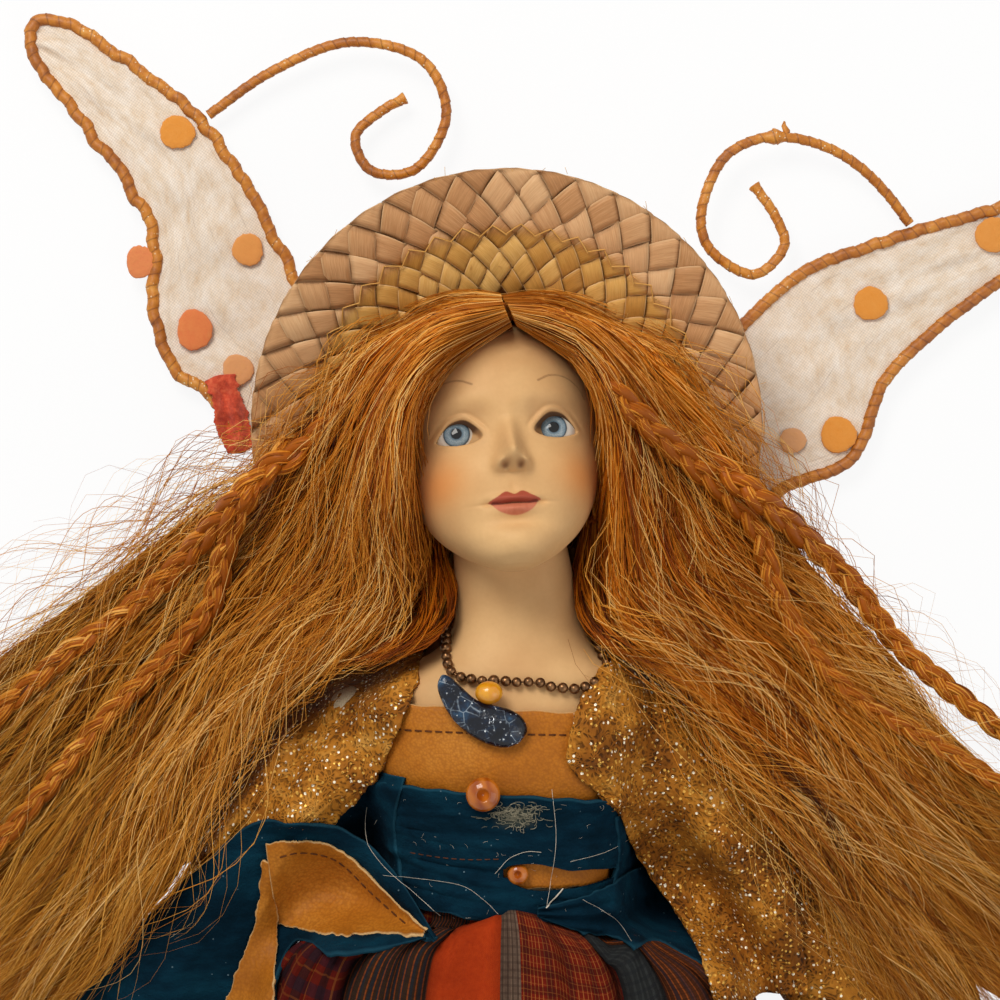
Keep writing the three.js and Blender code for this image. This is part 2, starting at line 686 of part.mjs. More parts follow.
// The bodice is cut flat at the back, where the doll lies on it, and slit in front.
function makeBodice() {
  const inside = 2 * FIT + Math.max(LEATHER, CLOTH) + 0.7 * FIT;
  const wall = garment(BODICE_HIGH, BODICE_LOW, inside, SUEDE, 5);
  const slit = new THREE.SphereGeometry(1, 14, 8).scale(SLIT_SIZE[0] / 2, SLIT_SIZE[1] / 2, SLIT_SIZE[0] / 2);
  const [, bodyWide, bodyFront] = between(BODY_ROWS, SLIT_AT[1]);
  const floor = block(4 * bodyWide, 4 * bodyWide, bodyWide, 0, 0, -bodyWide / 2);
  return largest(Manifold.difference([wall, floor, moved(slit, ...SLIT_AT, bodyFront + SUEDE)]));
}

// One ring of the skirt: its waist runs straight down under the bodice, and then it spreads to the hem.
function skirtRing(t, out) {
  const waist = BODICE_LOW[0] - BODICE_LOW[1] - 1;
  const y = t < 0 ? SKIRT_HIGH : mix(waist, HEM_Y, t);
  const spread = Math.max(t, 0);
  const [, bodyWide, bodyFront, bodyBack] = between(BODY_ROWS, Math.max(y, -40));
  const ease = mix(spread, smooth(spread, 0, 1), 0.6);
  const near = FIT + CLOTH;
  const wide = mix(bodyWide + near, HEM_HALF, 1 - (1 - spread) ** SPREAD_POWER) + out;
  const puff = SKIRT_PUFF * Math.sin(Math.PI * Math.min(spread * PUFF_RATE, 1));
  const front = mix(bodyFront + near, HEM_FRONT, ease) + puff + out;
  const back = mix(bodyBack - near, HEM_BACK, Math.min(ease * 3, 1)) - out;
  const middle = (front + back) / 2;
  return range(SKIRT_SIDES).map((j) => {
    const a = turnOf(j, SKIRT_SIDES);
    const [c, s] = [Math.cos(a), Math.sin(a)];
    const depth = FOLD_DEPTH * (s > -0.2 ? 1 : WAVES_UNDER) * smooth(spread, 0.02, 0.5);
    const wave = depth * Math.cos(FOLDS * a + 1.1 * Math.sin(3 * a) + 2 * spread);
    const x = wide * Math.sign(c) * Math.abs(c) ** (2 / BODY_CURVE);
    const z = middle + ((front - back) / 2) * Math.sign(s) * Math.abs(s) ** (2 / BODY_CURVE);
    const lift = Math.max(z + wave * s, FLOOR_GAP + (out < 0 ? CLOTH : 0));
    return vec(x + wave * c * 0.6, y, lift);
  });
}

function makeSkirt() {
  const steps = [-1, ...range(10).map((i) => i / 9)];
  return tubeWall(steps.map((t) => skirtRing(t, 0)), steps.map((t) => skirtRing(t, -CLOTH)));
}

// The hat: a crown with a flat back, and a brim whose rim rises towards the top of the picture.
function makeHat() {
  const sides = 32;
  const rimAt = (a) => RIM_MEAN + RIM_TILT * Math.sin(a);
  const brimAt = (a, share) => rimAt(a) + share * (BRIM_FLARE + BRIM_TILT * Math.sin(a));
  const reach = HAT_RADIUS - CROWN_RADIUS;
  const brim = (share, raise) => (a) => [CROWN_RADIUS + reach * share, brimAt(a, share) + raise];
  const profile = [
    () => [CROWN_RADIUS - STRAW - 6, STRAW],
    () => [CROWN_RADIUS - STRAW - 1.8, STRAW + 1.6],
    () => [CROWN_RADIUS - STRAW, STRAW + 5],
    (a) => [CROWN_RADIUS - STRAW, rimAt(a) + STRAW * 0.4],
    brim(0.05, STRAW),
    brim(0.48, STRAW),
    brim(0.5, STRAW + ROW_STEP),
    brim(0.99, STRAW + ROW_STEP),
    brim(1, STRAW / 2),
    brim(0.99, 0),
    brim(0.5, 0),
    brim(0.04, -STRAW * 0.2),
    (a) => [CROWN_RADIUS, Math.max(rimAt(a) - STRAW, 4 * STRAW)],
    () => [CROWN_RADIUS, 4],
    () => [CROWN_RADIUS - 1.4, 1.2],
    () => [CROWN_RADIUS - 5, 0],
  ];
  return loft(profile.map((at) => range(sides).map((j) => {
    const a = turnOf(j, sides);
    const [r, z] = at(a);
    return vec(HAT_AT[0] + r * Math.cos(a), HAT_AT[1] + r * Math.sin(a), z);
  })));
}

const wingHeight = (x) => WING_LOW + WING_RISE * Math.abs(x);

const wingPoints = (side) => WING_PATHS[side].map(([x, y]) => vec(x, y, wingHeight(x)));

function makeWingFrame(side) {
  return wire(wingPoints(side), () => WIRE_RADIUS, 48, 5, true);
}

// The sheer cloth inside a wing's wire, flat between two outlines set in from the wire.
function makeMembrane(side) {
  const curve = new THREE.CatmullRomCurve3(wingPoints(side), true, "centripetal");
  const steps = 56;
  const turn = side === "left" ? -1 : 1;
  const outline = range(steps).map((i) => {
    const p = curve.getPointAt(i / steps);
    const along = curve.getTangentAt(i / steps);
    const inwards = vec(along.y * turn, -along.x * turn, 0).normalize();
    return p.addScaledVector(inwards, WIRE_RADIUS + 2 * FIT);
  });
  const shape = new THREE.Shape(outline.map((p) => new THREE.Vector2(p.x, p.y)));
  const flat = new THREE.ExtrudeGeometry(shape, { depth: MEMBRANE, bevelEnabled: false });
  const position = flat.getAttribute("position");
  for (let i = 0; i < position.count; i += 1) {
    position.setZ(i, position.getZ(i) - MEMBRANE / 2 + wingHeight(position.getX(i)));
  }
  return solidFrom(flat);
}

function makeDot([x, y, radius]) {
  const high = wingHeight(x) + MEMBRANE / 2 + FIT + DOT_THICK / 2 + WING_RISE * radius;
  return rod(radius, DOT_THICK, "z", x, y, high, 10);
}

function makeCurl(side) {
  const start = wingHeight(CURL_PATHS[side][0][0]);
  const points = CURL_PATHS[side].map(([x, y], i, all) =>
    vec(x, y, start + CURL_LIFT * Math.sin((Math.PI * i) / (all.length - 1))));
  return wire(points, () => CURL_RADIUS, 28, 5);
}

function makePad() {
  const [low, high] = PAD_Y;
  const shape = new THREE.Shape();
  shape.absellipse(0, (low + high) / 2, PAD_HALF, (high - low) / 2, 0, 2 * Math.PI);
  const depth = PAD_HIGH - FLOOR_GAP;
  const geometry = new THREE.ExtrudeGeometry(shape, { depth, bevelEnabled: false, curveSegments: 9 });
  return moved(geometry, 0, 0, FLOOR_GAP);
}

// The strand's line around the neck: an angle around the body, and the height there.
const STRAND_ROWS = [[-90, 58], [-40, 57], [0, 54], [32, 46], [53, 41], [69, 38.4], [82, 40], [97, 40.6],
  [108, 41.2], [131, 46], [180, 55], [220, 57.5], [270, 58]];

function makeStrand() {
  const points = range(60).map((i) => {
    const degrees = -90 + i * 6;
    return skin(between(STRAND_ROWS, degrees)[0], radians(degrees), STRAND_BEAD + 2 * FIT);
  });
  const curve = new THREE.CatmullRomCurve3(points, true);
  const beads = Math.round(curve.getLength() / STRAND_PITCH);
  const steps = beads * 2;
  const sizeAt = (t) => (Math.round(t * steps) % 2 ? STRAND_BEAD : THREAD);
  const rings = ringsAlong(curve, steps, 4, (t) => [sizeAt(t), sizeAt(t)], true);
  return solidOfFaces(rings.flat(), ringFaces(rings, true));
}

// A bead pierced across, flattened or round.
function makeBead([x, y], radius, flat, z, axis) {
  const geometry = new THREE.SphereGeometry(radius, 12, 6).rotateX(Math.PI / 2).scale(1, 1, flat);
  return moved(geometry, x, y, z).subtract(rod(BEAD_HOLE, 4 * radius, axis, x, y, z, 8));
}

// The crescent, thick in its middle, with the wire that joins it to the yellow bead.
function makeCrescent(z, hangFrom) {
  const sizes = CRESCENT_RADII.map((size, i, all) => [i / (all.length - 1), size]);
  const curve = new THREE.CatmullRomCurve3(CRESCENT_PATH.map(([x, y]) => vec(x, y, z)));
  const body = loft(ringsAlong(curve, 12, 10, (t) => {
    const size = between(sizes, t)[0];
    return [size, size];
  }).map((ring) => ring.map((p) => p.setZ(z + (p.z - z) * CRESCENT_FLAT))));
  const end = hangFrom.clone().add(vec(0, -YELLOW_RADIUS - FIT - 0.6, 0));
  const loop = wire([vec(end.x, end.y - 5, z), end.clone().add(vec(0, -2, -1)), end], () => 0.6, 4, 4);
  const turning = ball(YELLOW_RADIUS + FIT, hangFrom.x, hangFrom.y, hangFrom.z);
  return largest(body.add(loop).subtract(turning));
}

function armPath(side, ...points) {
  return points.map(([x, y, z]) => [side * x, y, z]);
}

function makeUpperArm(side) {
  return limb(armPath(side, SHOULDER, mid(SHOULDER, ELBOW), ELBOW), [ARM_RADIUS, 8.6, ELBOW_RADIUS], 5, 12);
}

const mid = (a, b) => a.map((value, i) => (value + b[i]) / 2);

// The bisque forearm, and a flat hand with its fingers together and its thumb apart.
function makeForearm(side, upperArm) {
  const arm = limb(armPath(side, ELBOW, mid(ELBOW, WRIST), WRIST), [ELBOW_RADIUS, 6.6, WRIST_RADIUS], 3, 10);
  const along = vec(...FINGERTIP).sub(vec(...WRIST)).setX(FINGERTIP[0] - WRIST[0]).normalize();
  const across = vec(-along.y, along.x, 0).normalize();
  const place = (forward, aside) => vec(...WRIST).addScaledVector(along, forward)
    .addScaledVector(across, aside).toArray();
  const palm = limb(armPath(side, place(1, 0), place(7, 0), place(12, 0)), [4.4, 4.6, 4.2], 2, 8, [0.7]);
  const fingers = [-3.4, -1.2, 1, 3.2].map((aside, i) => {
    const reach = [21, 24, 25, 22][i];
    const points = armPath(side, place(11, aside * 0.8), place(17, aside), place(reach, aside * 1.1));
    return limb(points, [FINGER_RADIUS, FINGER_RADIUS, 1.4], 1, 5, [0.7]);
  });
  const thumb = limb(armPath(side, place(3, 3), place(9, 7), place(14, 8)), [2.2, 1.9, 1.5], 1, 5, [0.7]);
  const hand = Manifold.union([arm, palm, ...fingers, thumb]);
  return clearOf(hand, [upperArm]);
}

// A wide knitted sleeve, an open tube around the arm.
function makeSleeve(side) {
  const start = [SHOULDER[0] + 9, SHOULDER[1] - 12.5, SHOULDER[2] - 1];
  const cuff = [WRIST[0] + 1, WRIST[1] - 3, WRIST[2] + 1.4];
  const curve = new THREE.CatmullRomCurve3([start, ELBOW, cuff].map(([x, y, z]) => vec(side * x, y, z + 0.5)));
  const rows = [[0, 12.5, 12], [0.5, 14, 12], [1, 16.5, 8.2]];
  const ring = (t, out) => {
    const [wide, high] = between(rows, t);
    const centre = curve.getPointAt(t);
    const along = curve.getTangentAt(t);
    const across = vec(-along.y, along.x, 0).normalize();
    const up = vec(0, 0, 1);
    return range(12).map((j) => {
      const a = turnOf(j, 12);
      const crease = 0.7 * Math.sin(5 * a + 9 * t);
      return centre.clone().addScaledVector(across, (wide + out + crease) * Math.cos(a))
        .addScaledVector(up, (high + out + crease) * Math.sin(a));
    });
  };
  const steps = range(7).map((i) => i / 6);
  return tubeWall(steps.map((t) => ring(t, 0)), steps.map((t) => ring(t, -KNIT)));
}

function makeThigh(side) {
  return limb(armPath(side, HIP, mid(HIP, KNEE), KNEE), [THIGH_RADIUS, 12.2, KNEE_RADIUS], 5, 14);
}

function makeShin(side, thigh) {
  const calf = [KNEE[0] + 0.4, mix(KNEE[1], ANKLE[1], 0.35), mix(KNEE[2], ANKLE[2], 0.35)];
  const leg = limb(armPath(side, KNEE, calf, ANKLE), [KNEE_RADIUS, CALF_RADIUS, ANKLE_RADIUS], 5, 12);
  return clearOf(leg, [thigh]);
}

// The boot's upper: a shaft around the ankle and a foot that points up from the heel.
function makeBoot(side, shin) {
  const heel = [ANKLE[0] + 0.5, SOLE_TOP + 14, ANKLE[2] + 0.6];
  const top = [ANKLE[0], BOOT_TOP, ANKLE[2] + 1];
  const shaft = limb(armPath(side, top, mid(top, heel), heel), [BOOT_RADIUS, 9.8, BOOT_RADIUS + 0.6], 3, 12);
  const collar = block(60, 30, 60, side * ANKLE[0], BOOT_TOP + 15, ANKLE[2]);
  const foot = loft(FOOT_ROWS.map(([z, wide, tall]) => range(12).map((j) => {
    const a = turnOf(j, 12);
    const x = wide * Math.sign(Math.cos(a)) * Math.abs(Math.cos(a)) ** 0.8;
    const y = tall * (0.5 + 0.5 * Math.sign(Math.sin(a)) * Math.abs(Math.sin(a)) ** 0.7);
    return vec(side * heel[0] + x, SOLE_TOP + y, z);
  })));
  const under = block(80, 40, 90, side * heel[0], SOLE_TOP - 20, 40);
  return clearOf(Manifold.difference([shaft.add(foot), collar, under]), [shin]);
}

function makeSole(side) {
  const outline = FOOT_ROWS.map(([z, wide]) => [wide + 0.8, z]);
  const points = [...outline, ...outline.map(([wide, z]) => [-wide, z]).reverse()];
  const shape = new THREE.Shape(points.map(([x, z]) => new THREE.Vector2(x, z)));
  const geometry = new THREE.ExtrudeGeometry(shape, { depth: SOLE_THICK, bevelEnabled: false });
  geometry.rotateX(Math.PI / 2);
  return moved(geometry, side * (ANKLE[0] + 0.5), SOLE_TOP - FIT, 0);
}

// The lowest height at which a ball clears a relief.
function restHeight(relief, x, y, radius) {
  const steps = range(9).map((i) => (i / 4 - 1) * radius);
  const heights = steps.flatMap((dx) => steps.map((dy) => {
    const rest = radius * radius - dx * dx - dy * dy;
    return rest < 0 ? 0 : relief.at(x + dx, y + dy, 0) + Math.sqrt(rest);
  }));
  return Math.max(...heights, radius) + 1.3 * FIT;
}

// The cap of hair over the skull, open in front of the face.
function makeCap(others) {
  const whole = headSolid(CAP_DEPTH, false, 16);
  const shape = new THREE.Shape(HAIRLINE.map(([x, y]) => new THREE.Vector2(x, y)));
  const window = inHead(new THREE.ExtrudeGeometry(shape, { depth: 60, bevelEnabled: false }));
  const below = inHead(new THREE.BoxGeometry(120, 60, 120).translate(0, CAP_LOW - 30, 0));
  const inside = headSolid(CAP_INSIDE, false, 16);
  const ears = [-1, 1].map((side) => grown(ear(side), FIT));
  return clearOf(Manifold.difference([whole, window, below, inside, ...ears]), others);
}

// One loose mass of hair, spread over what lies under it.
function makeHair(side, relief) {
  return drapedSheet(HAIR_PATHS[side], relief, 13, 7, (across, along) => {
    const body = Math.sin(Math.PI * across) ** 0.6 * mix(0.55, 1, smooth(along, 0, 0.4));
    const ends = 1 - 0.9 * smooth(along, 0.5, 1);
    return HAIR_EDGE + HAIR_DEPTH * body * ends * (1 + 0.2 * Math.sin(9 * across + 5 * along));
  }, 4);
}

function makeBraid(path, relief) {
  const flat = new THREE.CatmullRomCurve3(path.map(([x, y]) => vec(x, y, 0)));
  const radiusAt = (t) => mix(...BRAID_RADIUS, t);
  const points = range(15).map((i) => {
    const p = flat.getPointAt(i / 14);
    return p.setZ(restHeight(relief, p.x, p.y, radiusAt(i / 14) + 0.6));
  });
  return wire(points, radiusAt, 20, 7);
}

function makeKnit(side, relief) {
  return drapedSheet(KNIT_PATHS[side], relief, 9, 6, (across, along) =>
    KNIT + 2.6 * Math.sin(Math.PI * across) * (0.8 + 0.5 * Math.sin(8 * along + 5 * across)), 2);
}

const group = new THREE.Group();

// Adds one finished piece to the doll.
function add(name, solid, colour, roughness = 0.7, metalness = 0) {
  const mesh = solid.getMesh();
  const geometry = new THREE.BufferGeometry();
  geometry.setAttribute("position", new THREE.BufferAttribute(Float32Array.from(mesh.vertProperties), 3));
  geometry.setIndex([...mesh.triVerts]);
  geometry.computeVertexNormals();
  const made = new THREE.Mesh(geometry, new THREE.MeshStandardMaterial({ color: colour, roughness, metalness }));
  made.name = name;
  group.add(made);
  return solid;
}

const sides = [["left", -1], ["right", 1]];

const bisque = makeBisque();
add("shoulder_head", bisque.head, COLOURS.bisque);
add("head_pate", bisque.pate, COLOURS.bisque);
sides.forEach(([name, side]) => add("eye_" + name, eyeBall(side, 0), COLOURS.eye, 0.1));

const torso = add("torso_body", makeTorso(), COLOURS.calico);
const top = add("leather_top", makeTop(), COLOURS.leather);
const bodice = add("navy_bodice", makeBodice(), COLOURS.suede);
const skirt = add("skirt", makeSkirt(), COLOURS.skirt);
const hat = add("hat", makeHat(), COLOURS.straw);

const frames = sides.map(([name]) => add("wing_frame_" + name, makeWingFrame(name), COLOURS.tape));
const membranes = sides.map(([name], i) => add("wing_membrane_" + name,
  clearOf(makeMembrane(name), [frames[i]]), COLOURS.membrane));
const curls = sides.map(([name], i) => add("wing_curl_" + name, clearOf(makeCurl(name), [frames[i]]),
  COLOURS.tape));
const dots = sides.flatMap(([name], i) => DOTS[name].map((dot, n) => add(
  "wing_dot_" + name + "_" + (n + 1), clearOf(makeDot(dot), [frames[i], membranes[i]], FIT / 2), COLOURS.felt,
)));
const pad = add("wing_pad", clearOf(makePad(), [...frames, ...membranes]), COLOURS.calico);

const upperArms = sides.map(([name, side]) => add("upper_arm_" + name, makeUpperArm(side), COLOURS.calico));
const forearms = sides.map(([name, side], i) => add("forearm_" + name, makeForearm(side, upperArms[i]),
  COLOURS.bisque));
const sleeves = sides.map(([name, side], i) => add("sleeve_" + name,
  clearOf(makeSleeve(side), [upperArms[i], forearms[i]]), COLOURS.knit));

const thighs = sides.map(([name, side]) => add("thigh_" + name, makeThigh(side), COLOURS.calico));
const shins = sides.map(([name, side], i) => add("shin_" + name, makeShin(side, thighs[i]), COLOURS.calico));
sides.forEach(([name, side], i) => {
  add("boot_" + name, makeBoot(side, shins[i]), COLOURS.boot);
  add("boot_sole_" + name, makeSole(side), COLOURS.sole);
});

// The beads lie on the chest, and the crescent hangs from the yellow one.
const strand = add("necklace", makeStrand(), COLOURS.brass, 0.35, 0.8);
const chest = new Relief([bisque.head, top, bodice, strand], 120, 0.5);
const yellowHeight = restHeight(chest, ...YELLOW_AT, YELLOW_RADIUS) + FIT;
const yellow = add("yellow_bead", makeBead(YELLOW_AT, YELLOW_RADIUS, 1, yellowHeight, "x"), COLOURS.yellow);
const thickest = Math.max(...CRESCENT_RADII) * CRESCENT_FLAT + 0.2;
const crescentHeight = Math.max(...CRESCENT_PATH.slice(1).map(([x, y]) => restHeight(chest, x, y, thickest)));
const crescent = add("pendant", makeCrescent(crescentHeight, vec(...YELLOW_AT, yellowHeight)),
  COLOURS.crescent, 0.15);
const amber = add("amber_bead", makeBead(AMBER_AT, AMBER_RADIUS, 0.7,
  restHeight(chest, ...AMBER_AT, AMBER_RADIUS * 0.8), "z"), COLOURS.amber, 0.2);
const slitFloor = new Relief([top, skirt], 120, 0.5);
const glassBead = add("glass_bead", makeBead(GLASS_BEAD_AT, GLASS_BEAD_RADIUS, 0.7,
  restHeight(slitFloor, ...GLASS_BEAD_AT, GLASS_BEAD_RADIUS * 0.8), "z"), COLOURS.amber, 0.2);

// Loose cloth and hair, each over what is already there.
const core = [bisque.head, torso, top, bodice, skirt, hat, strand, pad, ...frames, ...membranes, ...dots,
  ...upperArms, ...forearms, ...sleeves];
const drape = (name, make, others, colour) => {
  const under = [...core, ...others];
  return add(name, clearOf(make(new Relief(under)), under, 1.3 * FIT), colour);
};
const panelRight = drape("coat_panel_right", (relief) => drapedSheet(PANEL_PATHS.right, relief, 6, 5,
  () => SUEDE, 3), [glassBead, amber], COLOURS.suede);
const knits = sides.map(([name]) => drape("knit_front_" + name, (relief) => makeKnit(name, relief),
  [panelRight, crescent, yellow], COLOURS.knit));
const panelLeft = drape("coat_panel_left", (relief) => drapedSheet(PANEL_PATHS.left, relief, 9, 5,
  () => SUEDE, 3), knits, COLOURS.suede);
const lining = drape("coat_lining_left", (relief) => drapedSheet(LINING_PATH, relief, 6, 3,
  () => CLOTH, 0), [...knits, panelLeft], COLOURS.lining);
const cap = add("hair_crown", makeCap([hat, bisque.head, bisque.pate]), COLOURS.hair);
const worn = [...knits, panelLeft, lining, cap, bisque.pate];
const tie = drape("wing_tie", (relief) => drapedSheet(TIE_PATH, relief, 4, 2, () => CLOTH, 0), worn,
  COLOURS.tie);
const hairs = sides.map(([name]) => drape("hair_" + name, (relief) => makeHair(name, relief),
  [...worn, tie], COLOURS.hair));
sides.forEach(([name], i) => BRAID_PATHS[name].reduce((laid, path, n) => [...laid,
  drape("braid_" + name + "_" + (n + 1), (relief) => makeBraid(path, relief), laid, COLOURS.hair)],
[...worn, tie, hairs[i]]));

export default group;
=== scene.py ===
# %% [markdown]
# A fairy doll with a bisque head, lying on its back on a white table.
# The CAD model gives the frame: where each piece sits and what it turns about.
# This notebook dresses that frame. Each piece is made by a short rule, in millimetres,
# and turned into metres only when its mesh is made.

# %% The frame
import json
import math

import bmesh
import bpy
import numpy as np
from numpy import (arange, array, asarray, clip, column_stack, concatenate, cos, dstack, exp, interp,
    linspace, maximum, minimum, pi, sin, stack)
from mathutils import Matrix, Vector
from mathutils.bvhtree import BVHTree

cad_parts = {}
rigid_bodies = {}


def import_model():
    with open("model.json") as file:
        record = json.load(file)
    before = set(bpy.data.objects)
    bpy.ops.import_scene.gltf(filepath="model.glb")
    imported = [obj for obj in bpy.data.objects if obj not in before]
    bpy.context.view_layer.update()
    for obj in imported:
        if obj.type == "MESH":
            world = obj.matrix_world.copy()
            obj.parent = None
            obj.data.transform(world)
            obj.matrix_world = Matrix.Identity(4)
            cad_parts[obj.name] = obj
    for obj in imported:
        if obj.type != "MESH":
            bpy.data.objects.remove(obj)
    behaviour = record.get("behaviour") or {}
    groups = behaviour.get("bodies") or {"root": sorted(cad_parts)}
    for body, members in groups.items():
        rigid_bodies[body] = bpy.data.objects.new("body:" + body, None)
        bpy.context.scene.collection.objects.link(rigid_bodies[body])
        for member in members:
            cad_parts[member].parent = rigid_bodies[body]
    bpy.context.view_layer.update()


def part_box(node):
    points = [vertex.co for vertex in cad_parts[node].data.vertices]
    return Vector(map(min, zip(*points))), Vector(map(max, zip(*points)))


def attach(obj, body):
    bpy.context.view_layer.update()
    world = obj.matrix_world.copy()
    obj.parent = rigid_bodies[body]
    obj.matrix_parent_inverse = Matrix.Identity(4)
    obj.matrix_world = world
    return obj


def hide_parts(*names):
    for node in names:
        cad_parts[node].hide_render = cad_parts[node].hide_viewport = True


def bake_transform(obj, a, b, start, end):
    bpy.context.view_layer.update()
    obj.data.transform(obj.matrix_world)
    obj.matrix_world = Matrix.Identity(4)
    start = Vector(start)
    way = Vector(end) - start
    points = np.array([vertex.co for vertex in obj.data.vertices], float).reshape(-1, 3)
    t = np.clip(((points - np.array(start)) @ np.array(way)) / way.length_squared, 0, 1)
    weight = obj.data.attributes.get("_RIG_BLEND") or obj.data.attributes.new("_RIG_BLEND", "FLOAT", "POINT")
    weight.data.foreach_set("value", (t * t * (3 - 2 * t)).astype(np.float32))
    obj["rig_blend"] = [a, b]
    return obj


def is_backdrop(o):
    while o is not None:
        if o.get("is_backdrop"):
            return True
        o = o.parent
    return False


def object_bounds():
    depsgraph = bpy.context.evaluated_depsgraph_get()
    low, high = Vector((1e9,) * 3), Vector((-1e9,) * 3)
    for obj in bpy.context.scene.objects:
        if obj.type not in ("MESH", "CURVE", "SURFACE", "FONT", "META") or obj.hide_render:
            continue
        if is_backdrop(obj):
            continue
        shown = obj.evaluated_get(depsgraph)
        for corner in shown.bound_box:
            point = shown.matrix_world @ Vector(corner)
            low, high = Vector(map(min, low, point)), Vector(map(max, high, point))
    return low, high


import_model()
scene = bpy.context.scene
MM = 0.001
SIDES = {"left": -1, "right": 1}

# %% [markdown]
# The camera hangs straight above the doll's chest, as the photographer's did, with a long lens.
# The table and the world are white for the camera, and the table still takes the doll's shadow.

# %% Camera, table and light
scene.view_settings.view_transform = "Standard"
lens = bpy.data.cameras.new("camera")
lens.lens, lens.sensor_width = 110.77, 36
lens.clip_start = 0.02
camera = bpy.data.objects.new("camera", lens)
camera.location = (-0.0018, 0.088, 0.86)
scene.collection.objects.link(camera)
scene.camera = camera


def lamp(name, place, aim, size, watts, colour=(1, 1, 1)):
    """A soft square lamp that looks at a point."""
    light = bpy.data.lights.new(name, "AREA")
    light.size, light.energy, light.color = size, watts, colour
    holder = bpy.data.objects.new(name, light)
    holder.location = place
    holder.rotation_euler = (Vector(aim) - Vector(place)).to_track_quat("-Z", "Y").to_euler()
    scene.collection.objects.link(holder)


lamp("key", (-0.3, 0.64, 0.78), (0, 0.05, 0), 0.42, 6.4, (1, 0.96, 0.9))
lamp("fill", (0.6, -0.2, 0.6), (0, 0, 0), 0.6, 1.5, (1, 0.97, 0.93))

# %% [markdown]
# A shader is a tree of nodes. These helpers add one node at a time and join it to what feeds it,
# so that a finish reads like a recipe.

# %% Node helpers
def put(tree, kind, values=None, **settings):
    """Adds one shader node. A value that is another node's output is linked."""
    node = tree.nodes.new("ShaderNode" + kind)
    for key, value in settings.items():
        setattr(node, key, value)
    for key, value in (values or {}).items():
        if isinstance(value, bpy.types.NodeSocket):
            tree.links.new(value, node.inputs[key])
        else:
            node.inputs[key].default_value = value
    return node


def paint(code):
    """The linear colour of a hexadecimal paint code."""
    parts = [int(code[i:i + 2], 16) / 255 for i in (0, 2, 4)]
    return [p / 12.92 if p <= 0.04045 else ((p + 0.055) / 1.055) ** 2.4 for p in parts] + [1]


def ramp(tree, factor, stops):
    """A colour ramp. Stops are pairs of a place and a paint code or a grey."""
    node = put(tree, "ValToRGB", {"Fac": factor})
    while len(node.color_ramp.elements) < len(stops):
        node.color_ramp.elements.new(1)
    for element, (place, colour) in zip(node.color_ramp.elements, stops):
        element.position = place
        element.color = paint(colour) if isinstance(colour, str) else (colour, colour, colour, 1)
    return node.outputs["Color"]


def blended(tree, factor, first, second, kind="MIX"):
    """Two colours mixed by a factor."""
    node = put(tree, "Mix", data_type="RGBA", blend_type=kind)
    for index, value in ((0, factor), (6, first), (7, second)):
        if isinstance(value, bpy.types.NodeSocket):
            tree.links.new(value, node.inputs[index])
        else:
            node.inputs[index].default_value = paint(value) if isinstance(value, str) else value
    return node.outputs[2]


def reckon(tree, kind, first, second=0.0, third=0.0):
    """One sum on numbers."""
    return put(tree, "Math", {0: first, 1: second, 2: third}, operation=kind).outputs[0]


def times(tree, first, second, plus=None):
    """A product, with a number added if asked."""
    if plus is None:
        return reckon(tree, "MULTIPLY", first, second)
    return reckon(tree, "MULTIPLY_ADD", first, second, plus)


def overlaid(tree, base, colour, mask, share):
    """Another colour laid over a base where a mask is bright, up to a share. It lays paint and pattern, and
    painted shade too.
    """
    return blended(tree, times(tree, mask, share), base, colour)


def placed(tree, x, y, z=0.0):
    """A place from three numbers."""
    return put(tree, "CombineXYZ", {"X": x, "Y": y, "Z": z}).outputs[0]


def cells(tree, place, scale, **settings):
    """Cells scattered in space: their distances and colours."""
    return put(tree, "TexVoronoi", {"Vector": place, "Scale": scale}, **settings).outputs


def noise(tree, place, scale, detail=3.0, rough=0.55, stretch=None):
    """Noise at a place, stretched along its axes if asked."""
    if stretch:
        place = put(tree, "Mapping", {"Vector": place, "Scale": stretch}).outputs[0]
    values = {"Vector": place, "Scale": scale, "Detail": detail, "Roughness": rough}
    return put(tree, "TexNoise", values).outputs["Fac"]


def plain_weave(tree, place, scale, distortion, detail=2.0):
    """Waves in both directions, as the threads of a plain weave."""
    values = {"Vector": place, "Scale": scale, "Distortion": distortion, "Detail": detail}
    return [put(tree, "TexWave", values, bands_direction=way).outputs["Fac"] for way in ("X", "Y")]


def attribute(tree, name):
    """A number that the points carry."""
    return put(tree, "Attribute", attribute_name=name).outputs["Fac"]


# %% [markdown]
# Every finish starts as a new material and ends with its colour, roughness and relief. Relief goes in
# as a bump, because the grain of suede or bisque is far finer than any mesh could carry.

# %% Starting and ending a finish
def finish_of(name):
    """A new material: its tree, its Principled shader, and the piece's own coordinates."""
    material = bpy.data.materials.new(name)
    material.use_nodes = True
    tree = material.node_tree
    shader = tree.nodes["Principled BSDF"]
    place = put(tree, "TexCoord").outputs
    return material, tree, shader, place


def bumped(tree, shader, height, distance, strength=1.0):
    """Feeds a height to the shader's normal. Distance is in millimetres."""
    node = put(tree, "Bump", {"Height": height, "Distance": distance * MM, "Strength": strength})
    tree.links.new(node.outputs[0], shader.inputs["Normal"])


def feed(tree, shader, **sockets):
    """Links outputs, or sets numbers, on the shader's sockets."""
    for key, value in sockets.items():
        name = key.replace("_", " ")
        if isinstance(value, bpy.types.NodeSocket):
            tree.links.new(value, shader.inputs[name])
        else:
            shader.inputs[name].default_value = value


# %% [markdown]
# A photographer lights white paper apart from the subject. Here table and world simply look white to
# the camera, so the lamps only have to light the doll, and pale bisque and cloth keep their tones.

